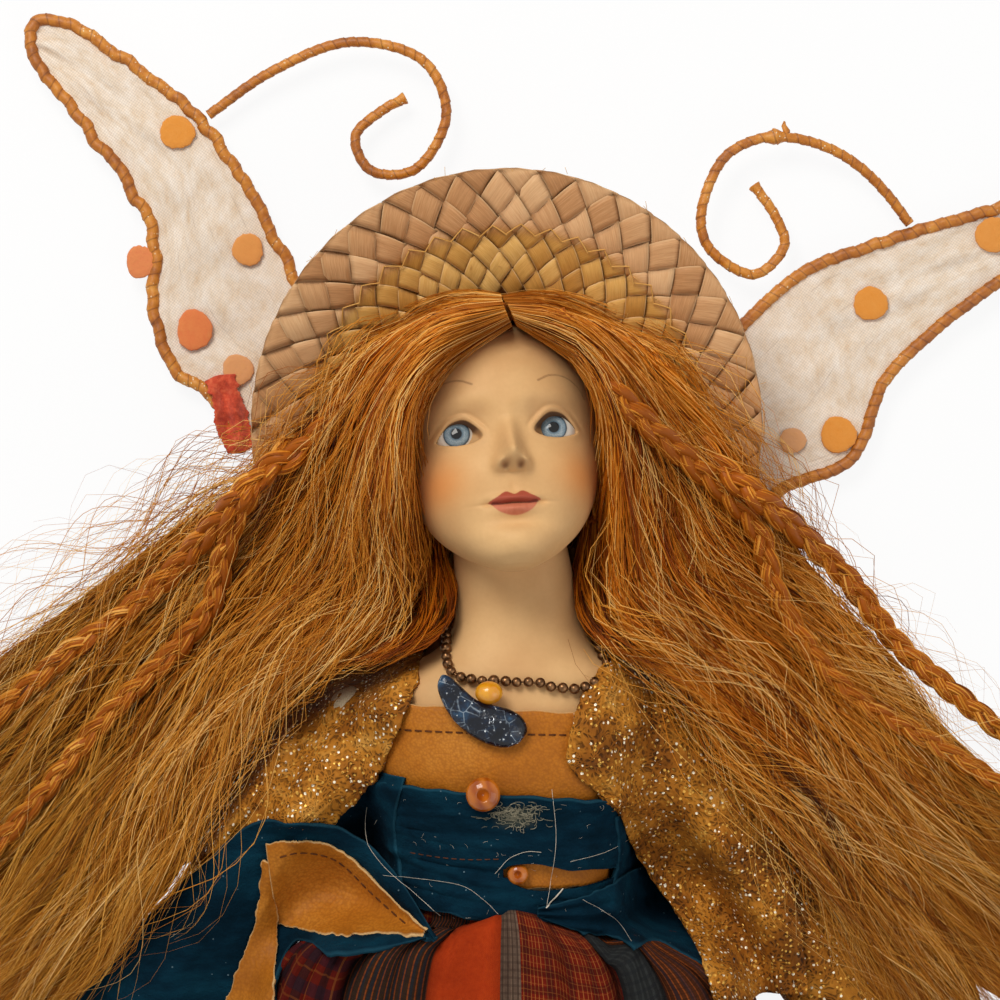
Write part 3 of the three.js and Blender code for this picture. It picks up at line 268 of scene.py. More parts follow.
# %% The white table and world
def white_for_camera(tree, other, share):
    """A shader that is white to the camera and mirrors, by a share, and another one to the rest."""
    path = put(tree, "LightPath").outputs
    mirrored = reckon(tree, "MAXIMUM", path["Is Glossy Ray"], path["Is Transmission Ray"])
    seen = reckon(tree, "MAXIMUM", path["Is Camera Ray"], mirrored)
    white = put(tree, "Emission", {"Color": (1, 1, 1, 1), "Strength": 1.0}).outputs[0]
    return put(tree, "MixShader", {0: times(tree, seen, share), 1: other, 2: white}).outputs[0]


table_top, tree, shader, place = finish_of("table_top")
feed(tree, shader, Base_Color=(0.93, 0.93, 0.93, 1), Roughness=0.9)
tree.links.new(white_for_camera(tree, shader.outputs[0], 0.9), tree.nodes["Material Output"].inputs[0])

world = bpy.data.worlds.new("studio")
world.use_nodes = True
scene.world = world
tree = world.node_tree
soft = tree.nodes["Background"]
soft.inputs["Color"].default_value = (1, 0.97, 0.93, 1)
soft.inputs["Strength"].default_value = 0.38
tree.links.new(white_for_camera(tree, soft.outputs[0], 1.0), tree.nodes["World Output"].inputs[0])

# %% [markdown]
# Everything that follows is built from a few shapes: smooth lines, tables of sections, and grids
# of points. The same curves ran in the CAD source, so the pieces land where its solids are.

# %% Lines and tables
def full_turn(count):
    """Even angles all the way around."""
    return arange(count) / count * 2 * pi


def bell(value, at, wide):
    """1 at a place and soft towards both sides."""
    return exp(-((value - at) / wide) ** 2)


def run_along(points):
    """The length of a line up to each of its points."""
    return concatenate([[0], np.cumsum(np.linalg.norm(np.diff(points, axis=0), axis=1))])


def between(table, keys):
    """The columns of a table at any keys, on a smooth curve through its rows."""
    rows = array(sorted(table), float)
    key, value = rows[:, 0], rows[:, 1:]
    at = clip(asarray(keys, float), key[0], key[-1])
    n = clip(np.searchsorted(key, at) - 1, 0, len(key) - 2)
    span = key[n + 1] - key[n]
    t = ((at - key[n]) / span)[..., None]
    last = len(key) - 1

    def slope(m):
        low, high = maximum(m - 1, 0), minimum(m + 1, last)
        return (value[high] - value[low]) / (key[high] - key[low])[..., None] * span[..., None]

    cube, square = t ** 3, t ** 2
    return (value[n] * (2 * cube - 3 * square + 1) + value[n + 1] * (3 * square - 2 * cube)
        + slope(n) * (cube - 2 * square + t) + slope(n + 1) * (cube - square))


def line(points, count, closed=False):
    """Points at even steps along a smooth line through some points."""
    p = array(points, float)
    if closed:
        p = np.vstack([p[-1], p, p[0], p[1]])
    else:
        p = np.vstack([2 * p[0] - p[1], p, 2 * p[-1] - p[-2]])
    dense = []
    for i in range(1, len(p) - 2):
        a, b, c, d = p[i - 1], p[i], p[i + 1], p[i + 2]
        ab, bc, cd = (max(np.linalg.norm(v - u) ** 0.5, 1e-4) for u, v in ((a, b), (b, c), (c, d)))
        rise = (b - a) / ab - (c - a) / (ab + bc) + (c - b) / bc
        fall = (c - b) / bc - (d - b) / (bc + cd) + (d - c) / cd
        t = linspace(0, 1, 24, endpoint=False)[:, None]
        dense.append((2 * b - 2 * c + (rise + fall) * bc) * t ** 3
            + (-3 * b + 3 * c - (2 * rise + fall) * bc) * t ** 2 + rise * bc * t + b)
    dense = np.vstack([*dense, p[-2][None]])
    reach = run_along(dense)
    at = linspace(0, reach[-1], count, endpoint=not closed)
    return stack([interp(at, reach, dense[:, k]) for k in range(dense.shape[1])], 1)


def circle(turn, centre, wide, tall, height):
    """Points around a centre, each at its angle."""
    return stack([centre[0] + wide * cos(turn), centre[1] + tall * sin(turn), height + 0 * turn], 1)


def ease(value, low, high):
    """0 below low, 1 above high, and smooth between."""
    t = clip((asarray(value, float) - low) / (high - low), 0, 1)
    return t * t * (3 - 2 * t)


def squarer(value, power):
    """A cosine or sine that makes a round section squarer, the more so the higher the power."""
    return np.sign(value) * np.abs(value) ** (2 / power)


def mixed(a, b, t):
    """The value at a share of the way from one to another."""
    return a + (b - a) * t


# %% [markdown]
# A mesh is a list of points and a list of faces. Values stored on the points, such as how far along a
# strand each one is, let a finish follow the piece.

# %% Meshes from points
def valued(data, **values):
    """Gives named values to a mesh's points, one each or the same for all."""
    for key, value in values.items():
        value = asarray(value, np.float32).ravel()
        layer = data.attributes.new(key, "FLOAT", "POINT")
        layer.data.foreach_set("value", np.broadcast_to(value, len(data.vertices)).copy())


def smooth(made, material=None):
    """Shades a piece smooth and gives it its finish."""
    made.data.polygons.foreach_set("use_smooth", np.ones(len(made.data.polygons), bool))
    made.data.materials.clear()
    if material:
        made.data.materials.append(material)


def mesh_of(name, points, faces, material=None, uv=None, edges=(), **values):
    """An object at the origin from points in millimetres, with any named values on its points."""
    data = bpy.data.meshes.new(name)
    points = asarray(points, float).reshape(-1, 3) * MM
    data.from_pydata(points.tolist(), list(edges), [list(f) for f in faces])
    valued(data, **values)
    if uv is not None:
        corner = np.zeros(len(data.loops), np.int32)
        data.loops.foreach_get("vertex_index", corner)
        layer = data.uv_layers.new(name="UVMap")
        layer.data.foreach_set("uv", asarray(uv, np.float32).reshape(-1, 2)[corner].ravel())
    made = bpy.data.objects.new(name, data)
    smooth(made, material)
    scene.collection.objects.link(made)
    return made


def grid_faces(rows, columns, around=False):
    """The four-sided faces of a grid of points, closed around its columns if asked."""
    i, j = np.meshgrid(arange(rows - 1), arange(columns if around else columns - 1), indexing="ij")
    k = (j + 1) % columns
    corners = [i * columns + j, i * columns + k, (i + 1) * columns + k, (i + 1) * columns + j]
    return stack(corners, -1).reshape(-1, 4).tolist()


def capped(rows, columns):
    """The faces of a tube of rings and of both its ends."""
    ends = [list(range(columns))[::-1], list(range((rows - 1) * columns, rows * columns))]
    return grid_faces(rows, columns, True) + ends


def outwards(made):
    """Turns a closed mesh's faces outwards."""
    work = bmesh.new()
    work.from_mesh(made.data)
    bmesh.ops.recalc_face_normals(work, faces=work.faces)
    work.to_mesh(made.data)
    work.free()
    return made


def closed_form(name, rings, material=None, **values):
    """A body closed over rings of points, its faces outwards."""
    rings = asarray(rings, float)
    return outwards(mesh_of(name, rings, capped(*rings.shape[:2]), material, **values))


def modified(made, kind, **settings):
    """Adds one modifier and applies it."""
    modifier = made.modifiers.new(kind, kind)
    for key, value in settings.items():
        setattr(modifier, key, value)
    return settled_mesh(made)


def settled_mesh(made):
    """Keeps what a piece's modifiers make as its own mesh."""
    fresh = bpy.data.meshes.new_from_object(made.evaluated_get(bpy.context.evaluated_depsgraph_get()))
    made.modifiers.clear()
    made.data = fresh
    return made


def joined(name, *parts):
    """Some objects as one."""
    bpy.ops.object.select_all(action="DESELECT")
    for part in parts:
        part.select_set(True)
    bpy.context.view_layer.objects.active = parts[0]
    if len(parts) > 1:
        bpy.ops.object.join()
    parts[0].name = parts[0].data.name = name
    return parts[0]


def worn(made, body, slot=None, *nodes):
    """The piece rides on a body and stands for CAD nodes, which it hides. Its slot is not used."""
    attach(made, body)
    if nodes:
        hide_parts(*nodes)
    return made


# %% [markdown]
# Cloth and hair have to lie on what is under them. A ray dropped from above finds that height.

# %% Finding surfaces
def tree_of(*objects):
    """A search tree of some meshes, in millimetres."""
    points, faces = [], []
    for o in objects:
        start = len(points)
        points += [o.matrix_world @ v.co * 1000 for v in o.data.vertices]
        faces += [[start + i for i in p.vertices] for p in o.data.polygons]
    return BVHTree.FromPolygons(points, faces)


def heights(search, xy, missing, upwards=False):
    """The height of the first surface met from above, or from below, at each point."""
    origin, way = (-50, 1) if upwards else (200, -1)
    found = [search.ray_cast(Vector((x, y, origin)), Vector((0, 0, way)))[0] for x, y in xy]
    return array([missing if hit is None else hit.z for hit in found])


floor = mesh_of("table", [(-1500, -1500, -0.4), (1500, -1500, -0.4), (1500, 1500, -0.4),
    (-1500, 1500, -0.4)], [(0, 1, 2, 3)], table_top)
floor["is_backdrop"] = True

# %% [markdown]
# Hair, wire, thread and stitches all follow lines. One Geometry Nodes tree sweeps a round profile along
# every line of a mesh. Each point carries its own radius, so a strand can taper to nothing.

# %% Sweeping lines into strands
def sockets_of(tree, inputs, outputs):
    """Opens a tree's own sockets, and gives its inputs."""
    for way, sockets in (("INPUT", inputs), ("OUTPUT", outputs)):
        for name, kind in sockets.items():
            tree.interface.new_socket(name, in_out=way, socket_type="NodeSocket" + kind)
    return tree.nodes.new("NodeGroupInput").outputs


def step(tree, kind, **links):
    """One step of a Geometry Nodes tree, with what feeds it."""
    made = tree.nodes.new("GeometryNode" + kind)
    for key, value in links.items():
        tree.links.new(value, made.inputs[key.replace("_", " ")])
    return made


def named(tree, name, kind):
    """A value that the points carry."""
    node = step(tree, "InputNamedAttribute")
    node.data_type = kind
    node.inputs["Name"].default_value = name
    return node.outputs["Attribute"]


def coated(tree, shape, material):
    """Ends a tree: its copies made real, shaded smooth and given their finish."""
    real = step(tree, "RealizeInstances", Geometry=shape)
    smoothed = step(tree, "SetShadeSmooth", Geometry=real.outputs[0])
    last = step(tree, "SetMaterial", Geometry=smoothed.outputs[0], Material=material)
    tree.links.new(last.outputs[0], tree.nodes.new("NodeGroupOutput").inputs[0])
    return tree


def sweeper():
    """The tree: Sides and Material are its inputs, and the points' radius sets the thickness."""
    tree = bpy.data.node_groups.new("swept_lines", "GeometryNodeTree")
    given = sockets_of(tree, {"Lines": "Geometry", "Sides": "Int", "Material": "Material"},
        {"Swept": "Geometry"})
    size = times(tree, named(tree, "radius_mm", "FLOAT"), MM)
    curves = step(tree, "MeshToCurve", Mesh=given["Lines"])
    thick = step(tree, "SetCurveRadius", Curve=curves.outputs[0], Radius=size)
    profile = step(tree, "CurvePrimitiveCircle", Resolution=given["Sides"])
    profile.inputs["Radius"].default_value = 1
    swept = step(tree, "CurveToMesh", Curve=thick.outputs[0], Profile_Curve=profile.outputs[0])
    if "Scale" in swept.inputs:
        tree.links.new(size, swept.inputs["Scale"])
    swept.inputs["Fill Caps"].default_value = True
    return coated(tree, swept.outputs[0], given["Material"])


SWEEPER = sweeper()


def baked(made, tree, **inputs):
    """Runs a Geometry Nodes tree on an object and keeps its result as a plain mesh."""
    modifier = made.modifiers.new("nodes", "NODES")
    modifier.node_group = tree
    for item in tree.interface.items_tree:
        if item.item_type == "SOCKET" and item.in_out == "INPUT" and item.name in inputs:
            modifier[item.identifier] = inputs[item.name]
    return settled_mesh(made)


def swept(name, lines, radii, material, sides=3, **values):
    """Tubes along many lines at once. Lines are (count, steps, 3); radii fit (count, steps)."""
    lines = asarray(lines, float)
    count, steps = lines.shape[:2]
    first = (arange(count)[:, None] * steps + arange(steps - 1)).ravel()
    shape = (count, steps)
    spread = {key: np.broadcast_to(value, shape) for key, value in values.items()}
    made = mesh_of(name, lines, [], edges=stack([first, first + 1], 1).tolist(),
        radius_mm=np.broadcast_to(radii, shape), along=np.broadcast_to(linspace(0, 1, steps), shape),
        **spread)
    return baked(made, SWEEPER, Sides=sides, Material=material)


# %% [markdown]
# Beads, straw splints and stitches are one small shape set down many times. A second tree puts a shape
# on each point, turned and sized by the point's own values.

# %% Setting one shape on many points
def setter():
    """The tree: it sets Shape on each of the Points, by the points' own turn and size."""
    tree = bpy.data.node_groups.new("set_on_points", "GeometryNodeTree")
    given = sockets_of(tree, {"Points": "Geometry", "Shape": "Object", "Material": "Material"},
        {"Set": "Geometry"})
    shape = step(tree, "ObjectInfo", Object=given["Shape"])
    cloud = step(tree, "MeshToPoints", Mesh=given["Points"])
    turn = tree.nodes.new("FunctionNodeEulerToRotation")
    tree.links.new(named(tree, "turn", "FLOAT_VECTOR"), turn.inputs[0])
    copies = step(tree, "InstanceOnPoints", Points=cloud.outputs[0], Instance=shape.outputs["Geometry"],
        Rotation=turn.outputs[0], Scale=named(tree, "size", "FLOAT_VECTOR"))
    return coated(tree, copies.outputs[0], given["Material"])


SETTER = setter()


def set_out(name, shape, points, turns, sizes, material, **values):
    """Copies of a shape at points in millimetres, turned by Euler angles and sized."""
    made = mesh_of(name, points, [], **values)
    count = len(points)
    for key, value in (("turn", turns), ("size", sizes)):
        layer = made.data.attributes.new(key, "FLOAT_VECTOR", "POINT")
        layer.data.foreach_set("vector", np.broadcast_to(asarray(value, np.float32), (count, 3)).ravel())
    baked(made, SETTER, Shape=shape, Material=material)
    return made


print("trees:", [g.name for g in bpy.data.node_groups])

# %% [markdown]
# The head is unglazed porcelain, pressed or poured in a mould. Its form is a stack of rounded sections,
# and the features are soft hills and hollows added to it, as a sculptor adds clay. The sections stand
# close together over the face, so that lids, lips and nostrils stay crisp.

# %% Distances on the face
HEAD_AT = array([-1.5, 100, 41])
EYE = array([12.3, 1.2])
HEAD_ROWS = [[-34.5, 4.5, 24.5, 14], [-32, 9, 28, 6], [-28, 14, 28.9, -5], [-23, 18.8, 28, -13],
    [-17, 22.4, 28.4, -20], [-9, 25, 28.8, -28], [0, 25.8, 28.4, -31.5], [9, 26.6, 30, -33],
    [18, 25.4, 28.6, -31.5], [27, 19.8, 22.5, -24], [33, 12.5, 14.5, -15], [36.5, 5.5, 6.5, -6.5]]


def spin(axis, degrees):
    """A turn about one axis."""
    c, s = math.cos(math.radians(degrees)), math.sin(math.radians(degrees))
    a, b = [(1, 2), (2, 0), (0, 1)][axis]
    made = np.eye(3)
    made[a, a] = made[b, b] = c
    made[a, b], made[b, a] = -s, s
    return made


HEAD_TURN = spin(2, 4.8) @ spin(0, -12) @ spin(1, 5)


def from_head(points):
    """From the head's own frame, X to its side, Y to its crown and Z out of its face."""
    return asarray(points) @ HEAD_TURN.T + HEAD_AT


def apart(points, path, closed=False):
    """How far points lie from a line. Inside a closed line the distance is negative."""
    points, path = asarray(points, float), asarray(path, float)
    ends = np.roll(path, -1, 0) if closed else path[1:]
    starts = path if closed else path[:-1]
    nearest = np.full(len(points), 1e9)
    inside = np.zeros(len(points), bool)
    for a, b in zip(starts, ends):
        d = b - a
        t = clip(((points - a) @ d) / (d @ d), 0, 1)
        nearest = minimum(nearest, np.linalg.norm(points - a - t[:, None] * d, axis=1))
        if closed:
            crosses = (a[1] > points[:, 1]) != (b[1] > points[:, 1])
            rise = d[1] if abs(d[1]) > 1e-9 else 1e-9
            inside ^= crosses & (points[:, 0] < d[0] * (points[:, 1] - a[1]) / rise + a[0])
    return np.where(inside, -nearest, nearest)


ALMOND = line([[-5.4, -1.6], [-3.9, 0.9], [-1, 2.9], [2.4, 2.5], [4.6, 0.5], [5.8, -1.4], [3.5, -2.6],
    [0.1, -3.3], [-3.3, -2.9]], 60, closed=True)
UPPER_LIP = line([[-6.9, -18.8], [-4.4, -17.5], [-2.1, -16.2], [0, -17.1], [2.1, -16.2], [4.4, -17.4],
    [6.9, -18.6], [3.2, -19.2], [0, -19], [-3.2, -19.2]], 60, closed=True)
LOWER_LIP = line([[-5.9, -19], [-3, -19.3], [0, -19.15], [3, -19.3], [5.9, -18.9], [4.1, -21.3], [0, -22.5],
    [-4.1, -21.3]], 60, closed=True)
BROW = line([[8.6, 12.6], [12, 14.2], [16.2, 14], [19.6, 11.8], [21.4, 9]], 30)


# %% [markdown]
# A sculptor adds nose and lips to a plain form and presses the sockets in. Soft bells of height do the
# same, and blend by themselves where they meet.

# %% Hills and hollows of the face
def hill(x, y, cx, cy, wide, tall, height, twin=False):
    """A soft rise at one place of the face, or at both sides of it."""
    made = height * exp(-((x - cx) / wide) ** 2 - ((y - cy) / tall) ** 2)
    return made + hill(x, y, -cx, cy, wide, tall, height) if twin else made


def face_relief(x, y):
    """How far the face stands out of the plain head: nose, lids, lips, cheeks and chin."""
    tip, bridge, base = -6.4, 4.0, -11.4
    up = clip((y - tip) / (bridge - tip), 0, 1)
    down = clip((tip - y) / (tip - base), 0, 1)
    ridge = mixed(8.0, 0.8, ease(up, 0, 1) * 0.35 + up * 0.65) * (1 - down ** 2.4)
    nose = ridge * exp(-(x / mixed(3.0, 2.3, up)) ** 2) * (1 - ease(y, bridge, bridge + 6))
    nose += hill(x, y, 3.5, -9.3, 1.5, 1.9, 2.9, True) + hill(x, y, 0, -7.0, 2.4, 2.2, 0.7)
    nose -= hill(x, y, 1.9, -9.9, 1.1, 0.9, 2.2, True)
    lips = hill(x, y, 0, -17.9, 5.6, 1.2, 1.7) + hill(x, y, 0, -20.9, 4.4, 1.35, 2.1)
    lips -= hill(x, y, 0, -19.1, 6.6, 0.38, 1.5) + hill(x, y, 7.2, -18.9, 1.2, 1.1, 0.55, True)
    lips -= hill(x, y, 0, -14.6, 0.9, 1.8, 0.4) + hill(x, y, 0, -17.0, 0.9, 0.6, 0.25)
    chin = hill(x, y, 0, -29, 6, 4, 1.6) - hill(x, y, 0, -24.2, 5, 1.6, 0.95)
    cheeks = hill(x, y, 13, -12, 8, 8, 1.3, True)
    sockets = hill(x, y, EYE[0], EYE[1] + 0.4, 6.8, 4.6, -1.9, True)
    sockets -= hill(x, y, 7.2, 5.0, 2.6, 3.2, 0.8, True)
    brows = hill(x, y, 11, 9, 8, 3, 0.7, True)
    return nose + lips + chin + cheeks + sockets + brows


def eyelids(x, y):
    """The lids' own relief and the distance from the edge of the nearer eye's opening."""
    place = stack([np.abs(x) - EYE[0], y - EYE[1] - 0.35 * np.sign(x)], 1)
    near = (np.abs(place[:, 0]) < 10) & (np.abs(place[:, 1]) < 9)
    edge = np.full(len(x), 9.0)
    edge[near] = apart(place[near], ALMOND, True)
    above = ease(place[:, 1], -1.5, 1.0)
    lid = 0.5 * bell(edge, 0.7, 0.8) * (0.6 + 0.7 * above)
    crease = -0.28 * bell(edge, 1.9, 0.5) * above
    return lid + crease - 3.4 * ease(-edge, -0.1, 0.35), edge


# %% [markdown]
# The mesh's rows crowd together between chin and brow, where the modelling is. Painted shapes leave
# their distances on the points, so that the paint can be drawn by the finish with a crisp edge.

# %% The plain head
def plain_head(y, angle, grow=0.0):
    """The head's sections: a place at a height and an angle around, and its depth."""
    wide, front, back = np.moveaxis(between(HEAD_ROWS, y), -1, 0)
    c, s = cos(angle), sin(angle)
    x = (wide + grow) * squarer(c, 2.15)
    z = (front + back) / 2 + ((front - back) / 2 + grow) * squarer(s, 2.15)
    return x, z


rows = np.unique(concatenate([linspace(-34.5, -24, 24), linspace(-24, 6, 128), linspace(6, 17, 32),
    linspace(17, 36.5, 24)]))
sides = 236
even = full_turn(sides)
angle = even + 0.72 * cos(even)
Y, A = np.meshgrid(rows, angle, indexing="ij")
X, Z = plain_head(Y, A)
x, y, plain = X.ravel(), Y.ravel(), Z.ravel()
lids, eye_edge = eyelids(x, y)
front = ease(plain, 0, 14)
head_points = stack([x, y, plain + (face_relief(x, y) + lids) * front], 1)
spot = stack([x, y], 1)
face = plain > 8
far = np.full(len(x), 9.0)


def painted(path, closed, mirror=False):
    """The distance of each point of the face from a painted shape."""
    made = far.copy()
    where = stack([np.abs(x[face]), y[face]], 1) if mirror else spot[face]
    made[face] = apart(where, path, closed)
    return made


brow_width = mixed(0.28, 0.1, clip((np.abs(x) - 8.6) / 11.7, 0, 1))
# Painted shade in the eye sockets, above the lids and at their inner corners.
shaded = hill(x, y, 12, 5.5, 7, 2.2, 1, True) + hill(x, y, 7, 2, 2, 5, 1, True)
head_made = mesh_of("head_form", from_head(head_points), capped(len(rows), sides),
    upper_lip=painted(UPPER_LIP, True), lower_lip=painted(LOWER_LIP, True),
    brow=painted(BROW, False, True) - brow_width,
    lid=np.where(front > 0.5, eye_edge, 9), eye_above=ease(y - EYE[1], -0.8, 0.6),
    nostril=np.where(face, hill(x, y, 2.0, -9.8, 1.25, 0.9, 1, True), 0),
    blush=np.where(face, hill(x, y, 18.8, -12.0, 6.6, 6.2, 1, True), 0),
    shade=np.where(face, shaded, 0))
print("head:", len(head_made.data.polygons), "faces,", round(HEAD_AT[2] + 28), "mm high at the face")

# %% [markdown]
# Neck, chest and shoulder plate belong to the same casting. Their sections follow the body's table.

# %% Neck, shoulder plate and ears
BODY_ROWS = [[78, 0.6, 15, 50, 24], [68, 1.9, 16, 48.5, 18.5], [60, 3, 16.8, 48, 16],
    [53, 3.2, 18, 48.3, 14.6], [47, 3, 23, 49.5, 13.2], [42, 2, 32, 51, 12.2], [37, 0.8, 37, 52, 12],
    [28, 0, 36, 53, 11.5], [16, 0, 33.5, 53, 8.5], [2, 0, 28.5, 49, 2.8], [-12, 0, 26.5, 46.5, 2.6],
    [-24, 0, 28.5, 46, 2.6], [-40, 0, 33, 45, 3.2], [-58, 0, 30, 38, 7]]


def skin(y, angle, out=0.0):
    """A point of the body's skin at a height and an angle, moved out by a distance."""
    y, angle = np.broadcast_arrays(asarray(y, float), asarray(angle, float))
    middle, wide, high, low = np.moveaxis(between(BODY_ROWS, y), -1, 0)
    c, s = cos(angle), sin(angle)
    x = middle + (wide + out) * squarer(c, 2.4)
    z = (high + low) / 2 + ((high - low) / 2 + out) * squarer(s, 2.4)
    return stack([x, y, z], -1)


def body_tube(name, high, low, out, material, rows=40, columns=160, **values):
    """A closed length of the body's form."""
    turn = full_turn(columns)
    heights_at = linspace(high, low, rows)
    return closed_form(name, skin(heights_at[:, None], turn[None, :], out), material, **values)


def ball_mesh(name, centre, radius, material=None, around=48, down=32, stretch=(1, 1, 1), **values):
    """A round form with even rings, its poles closed."""
    tilt = linspace(0, pi, down)[:, None]
    turn = full_turn(around)[None, :]
    points = stack([sin(tilt) * cos(turn), sin(tilt) * sin(turn), cos(tilt) + 0 * turn], -1)
    points = points * radius * array(stretch) + array(centre)
    made = mesh_of(name, points, grid_faces(down, around, True), material, **values)
    return outwards(modified(made, "WELD", merge_threshold=1e-7))


blank = {"upper_lip": 9, "lower_lip": 9, "brow": 9, "lid": 9, "eye_above": 0, "nostril": 0, "blush": 0,
    "shade": 0}
bust = body_tube("bust", 78, 16, 0, None, 52, 120, **blank)
ears = []
for side in (-1, 1):
    ear = ball_mesh("ear", (0, 0, 0), 1, None, 32, 24, (2.4, 7.5, 4.5))
    p = array([v.co * 1000 for v in ear.data.vertices])
    p[:, 0] -= side * 0.9 * exp(-((p[:, 1] / 4) ** 2) - ((p[:, 2] - 1) / 2.4) ** 2)
    p = from_head(p + [side * 24.6, -6, -3]) * MM
    ear.data.vertices.foreach_set("co", p.astype(np.float32).ravel())
    valued(ear.data, **blank)
    ears.append(ear)
head = joined("painted_head", head_made, bust, *ears)
print("shoulder head:", len(head.data.vertices), "points")

# %% [markdown]
# The bisque is tinted flesh, a little tan and quite matt. China paint gives it coral lips with a brick
# red upper one, thin brown brows, dark lash lines and an orange blush that was dabbed on.

# %% Bisque and its paint
bisque, tree, shader, place = finish_of("bisque")
spot = place["Object"]
cloudy = noise(tree, spot, 60, 4)
base = blended(tree, ramp(tree, cloudy, [(0.3, 0), (0.7, 1)]), "D6A872", "E6BC84")
fine = noise(tree, spot, 900, 2)
base = overlaid(tree, base, "C09060", fine, 0.22)
# Painted shade darkens the eye sockets.
base = overlaid(tree, base, "A87A55", attribute(tree, "shade"), 0.2)
base = overlaid(tree, base, "F0974A", attribute(tree, "blush"), 0.6)


def edged(tree, name, soft, start=0.0):
    """1 inside a painted shape and 0 outside, with a soft and slightly ragged edge."""
    rag = times(tree, noise(tree, spot, 2600, 2), 0.16, -0.08)
    away = reckon(tree, "ADD", attribute(tree, name), rag)
    return put(tree, "MapRange", {"Value": away, "From Min": start + soft, "From Max": start - soft},
        interpolation_type="SMOOTHSTEP").outputs[0]


lips = edged(tree, "lower_lip", 0.22)
base = overlaid(tree, base, blended(tree, noise(tree, spot, 420, 3, stretch=(3, 1, 1)), "BE5A45", "D07A60"),
    lips, 0.88)
base = overlaid(tree, base, blended(tree, noise(tree, spot, 420, 3), "96352A", "AE4636"),
    edged(tree, "upper_lip", 0.2), 0.92)
seam = times(tree, edged(tree, "lower_lip", 0.25, 0.25), edged(tree, "upper_lip", 0.25, 0.25))
base = overlaid(tree, base, "5A1F1A", seam, 0.8)
base = overlaid(tree, base, "7A4B2A", edged(tree, "brow", 0.22), 0.62)
rim = edged(tree, "lid", 0.16, 0.2)
base = overlaid(tree, base, "4A2A1C", rim, times(tree, attribute(tree, "eye_above"), 0.6, 0.28))
# The nostrils are painted dark brown, as the shade inside them.
base = overlaid(tree, base, "6A3B26", attribute(tree, "nostril"), 0.75)
feed(tree, shader, Base_Color=base, Roughness=times(tree, fine, 0.12, times(tree, lips, -0.12, 0.5)),
    Specular_IOR_Level=0.2)
bumped(tree, shader, fine, 0.02, 0.5)
smooth(head, bisque)
worn(head, "torso", "bisque", "shoulder_head")

# %% [markdown]
# The eyes are blown glass, set behind the lids: a milky white, a grey-blue iris with fine spokes and
# a dark ring, and a black pupil under clear glass.

# %% Glass eyes
EYE_RADIUS, GAZE = 6.8, {"left": (-0.06, 0.2), "right": (0.06, 0.23)}
glass_eye, tree, shader, place = finish_of("glass_eye")
off, around = attribute(tree, "off"), attribute(tree, "around")
ring = placed(tree, reckon(tree, "COSINE", around), reckon(tree, "SINE", around), times(tree, off, 0.02))
spokes = noise(tree, ring, 16, 4, 0.6)
wobble = times(tree, spokes, 2.4, reckon(tree, "ADD", off, -1.2))
# The white darkens towards the edge of the ball, as painted shade under the lids.
iris = ramp(tree, reckon(tree, "DIVIDE", wobble, 60), [(0, "020304"), (0.19, "05070A"), (0.22, "5E7484"),
    (0.3, "A9BBC4"), (0.42, "93A9B6"), (0.47, "5A6E7C"), (0.5, "26303A"), (0.53, "D4D0C6"),
    (0.62, "E6E0D4"), (1, "D2C4B2")])
fleck = ramp(tree, spokes, [(0.38, 0.25), (0.62, 1)])
in_iris = ramp(tree, reckon(tree, "DIVIDE", off, 60), [(0.19, 0), (0.24, 1), (0.46, 1), (0.49, 0)])
iris = overlaid(tree, iris, "5C7484", in_iris, reckon(tree, "SUBTRACT", 1.0, fleck))
feed(tree, shader, Base_Color=iris, Roughness=0.05, Coat_Weight=0.15, Coat_Roughness=0.02,
    Specular_IOR_Level=0.3)
for name, side in SIDES.items():
    wide, front, back = between(HEAD_ROWS, EYE[1])
    middle, across = (front + back) / 2, EYE[0] / wide
    surface = middle + (front - middle) * (1 - across ** 2.15) ** (1 / 2.15)
    depth = surface + float(face_relief(array([EYE[0]]), array([EYE[1]]))[0]) - 0.75 - EYE_RADIUS
    centre = from_head(array([side * EYE[0], EYE[1], depth]))
    eye = ball_mesh("glass_eye_" + name, centre, EYE_RADIUS, glass_eye, 96, 72)
    gaze = array([*GAZE[name], 1.0])
    gaze /= np.linalg.norm(gaze)
    out = array([v.co * 1000 for v in eye.data.vertices]) - centre
    out /= np.linalg.norm(out, axis=1, keepdims=True)
    first = np.cross([0, 1, 0], gaze)
    second = np.cross(gaze, first)
    valued(eye.data, off=np.degrees(np.arccos(clip(out @ gaze, -1, 1))),
        around=np.arctan2(out @ second, out @ first))
    worn(eye, "torso", "glass_eye", "eye_" + name)
    print("eye", name, np.round(centre, 1))

# %% [markdown]
# The wig is mohair, parted in the middle and fanned out over hat, shoulders and coat. Each side is a
# patch between guide lines that start at the parting. The patch lies on whatever is under it, a
# streaky mass fills it, and thousands of fine strands, gathered in locks, run along it.

# %% Laying things on what is under them
def cad_tree(*names):
    """A search tree of CAD nodes."""
    return tree_of(*(bpy.data.objects[name] for name in names))


def patch(guides, rows=49, columns=97):
    """A grid of places between guide lines: rows across them and columns along them."""
    along = stack([line(guide, columns) for guide in guides])
    return stack([line(along[:, j], rows) for j in range(columns)], 1)


def settled(raw, rounds):
    """Heights that lie on raw ones and bridge their hollows."""
    made = raw.copy()
    for _ in range(rounds):
        wide = np.pad(made, 1, mode="edge")
        made = maximum(raw, (wide[2:, 1:-1] + wide[:-2, 1:-1] + wide[1:-1, 2:] + wide[1:-1, :-2]) / 4)
    return made


def softened(grid, rounds):
    """A grid of heights with its steps evened out."""
    for _ in range(rounds):
        wide = np.pad(grid, 1, mode="edge")
        grid = (wide[2:, 1:-1] + wide[:-2, 1:-1] + wide[1:-1, 2:] + wide[1:-1, :-2] + 4 * grid) / 8
    return grid


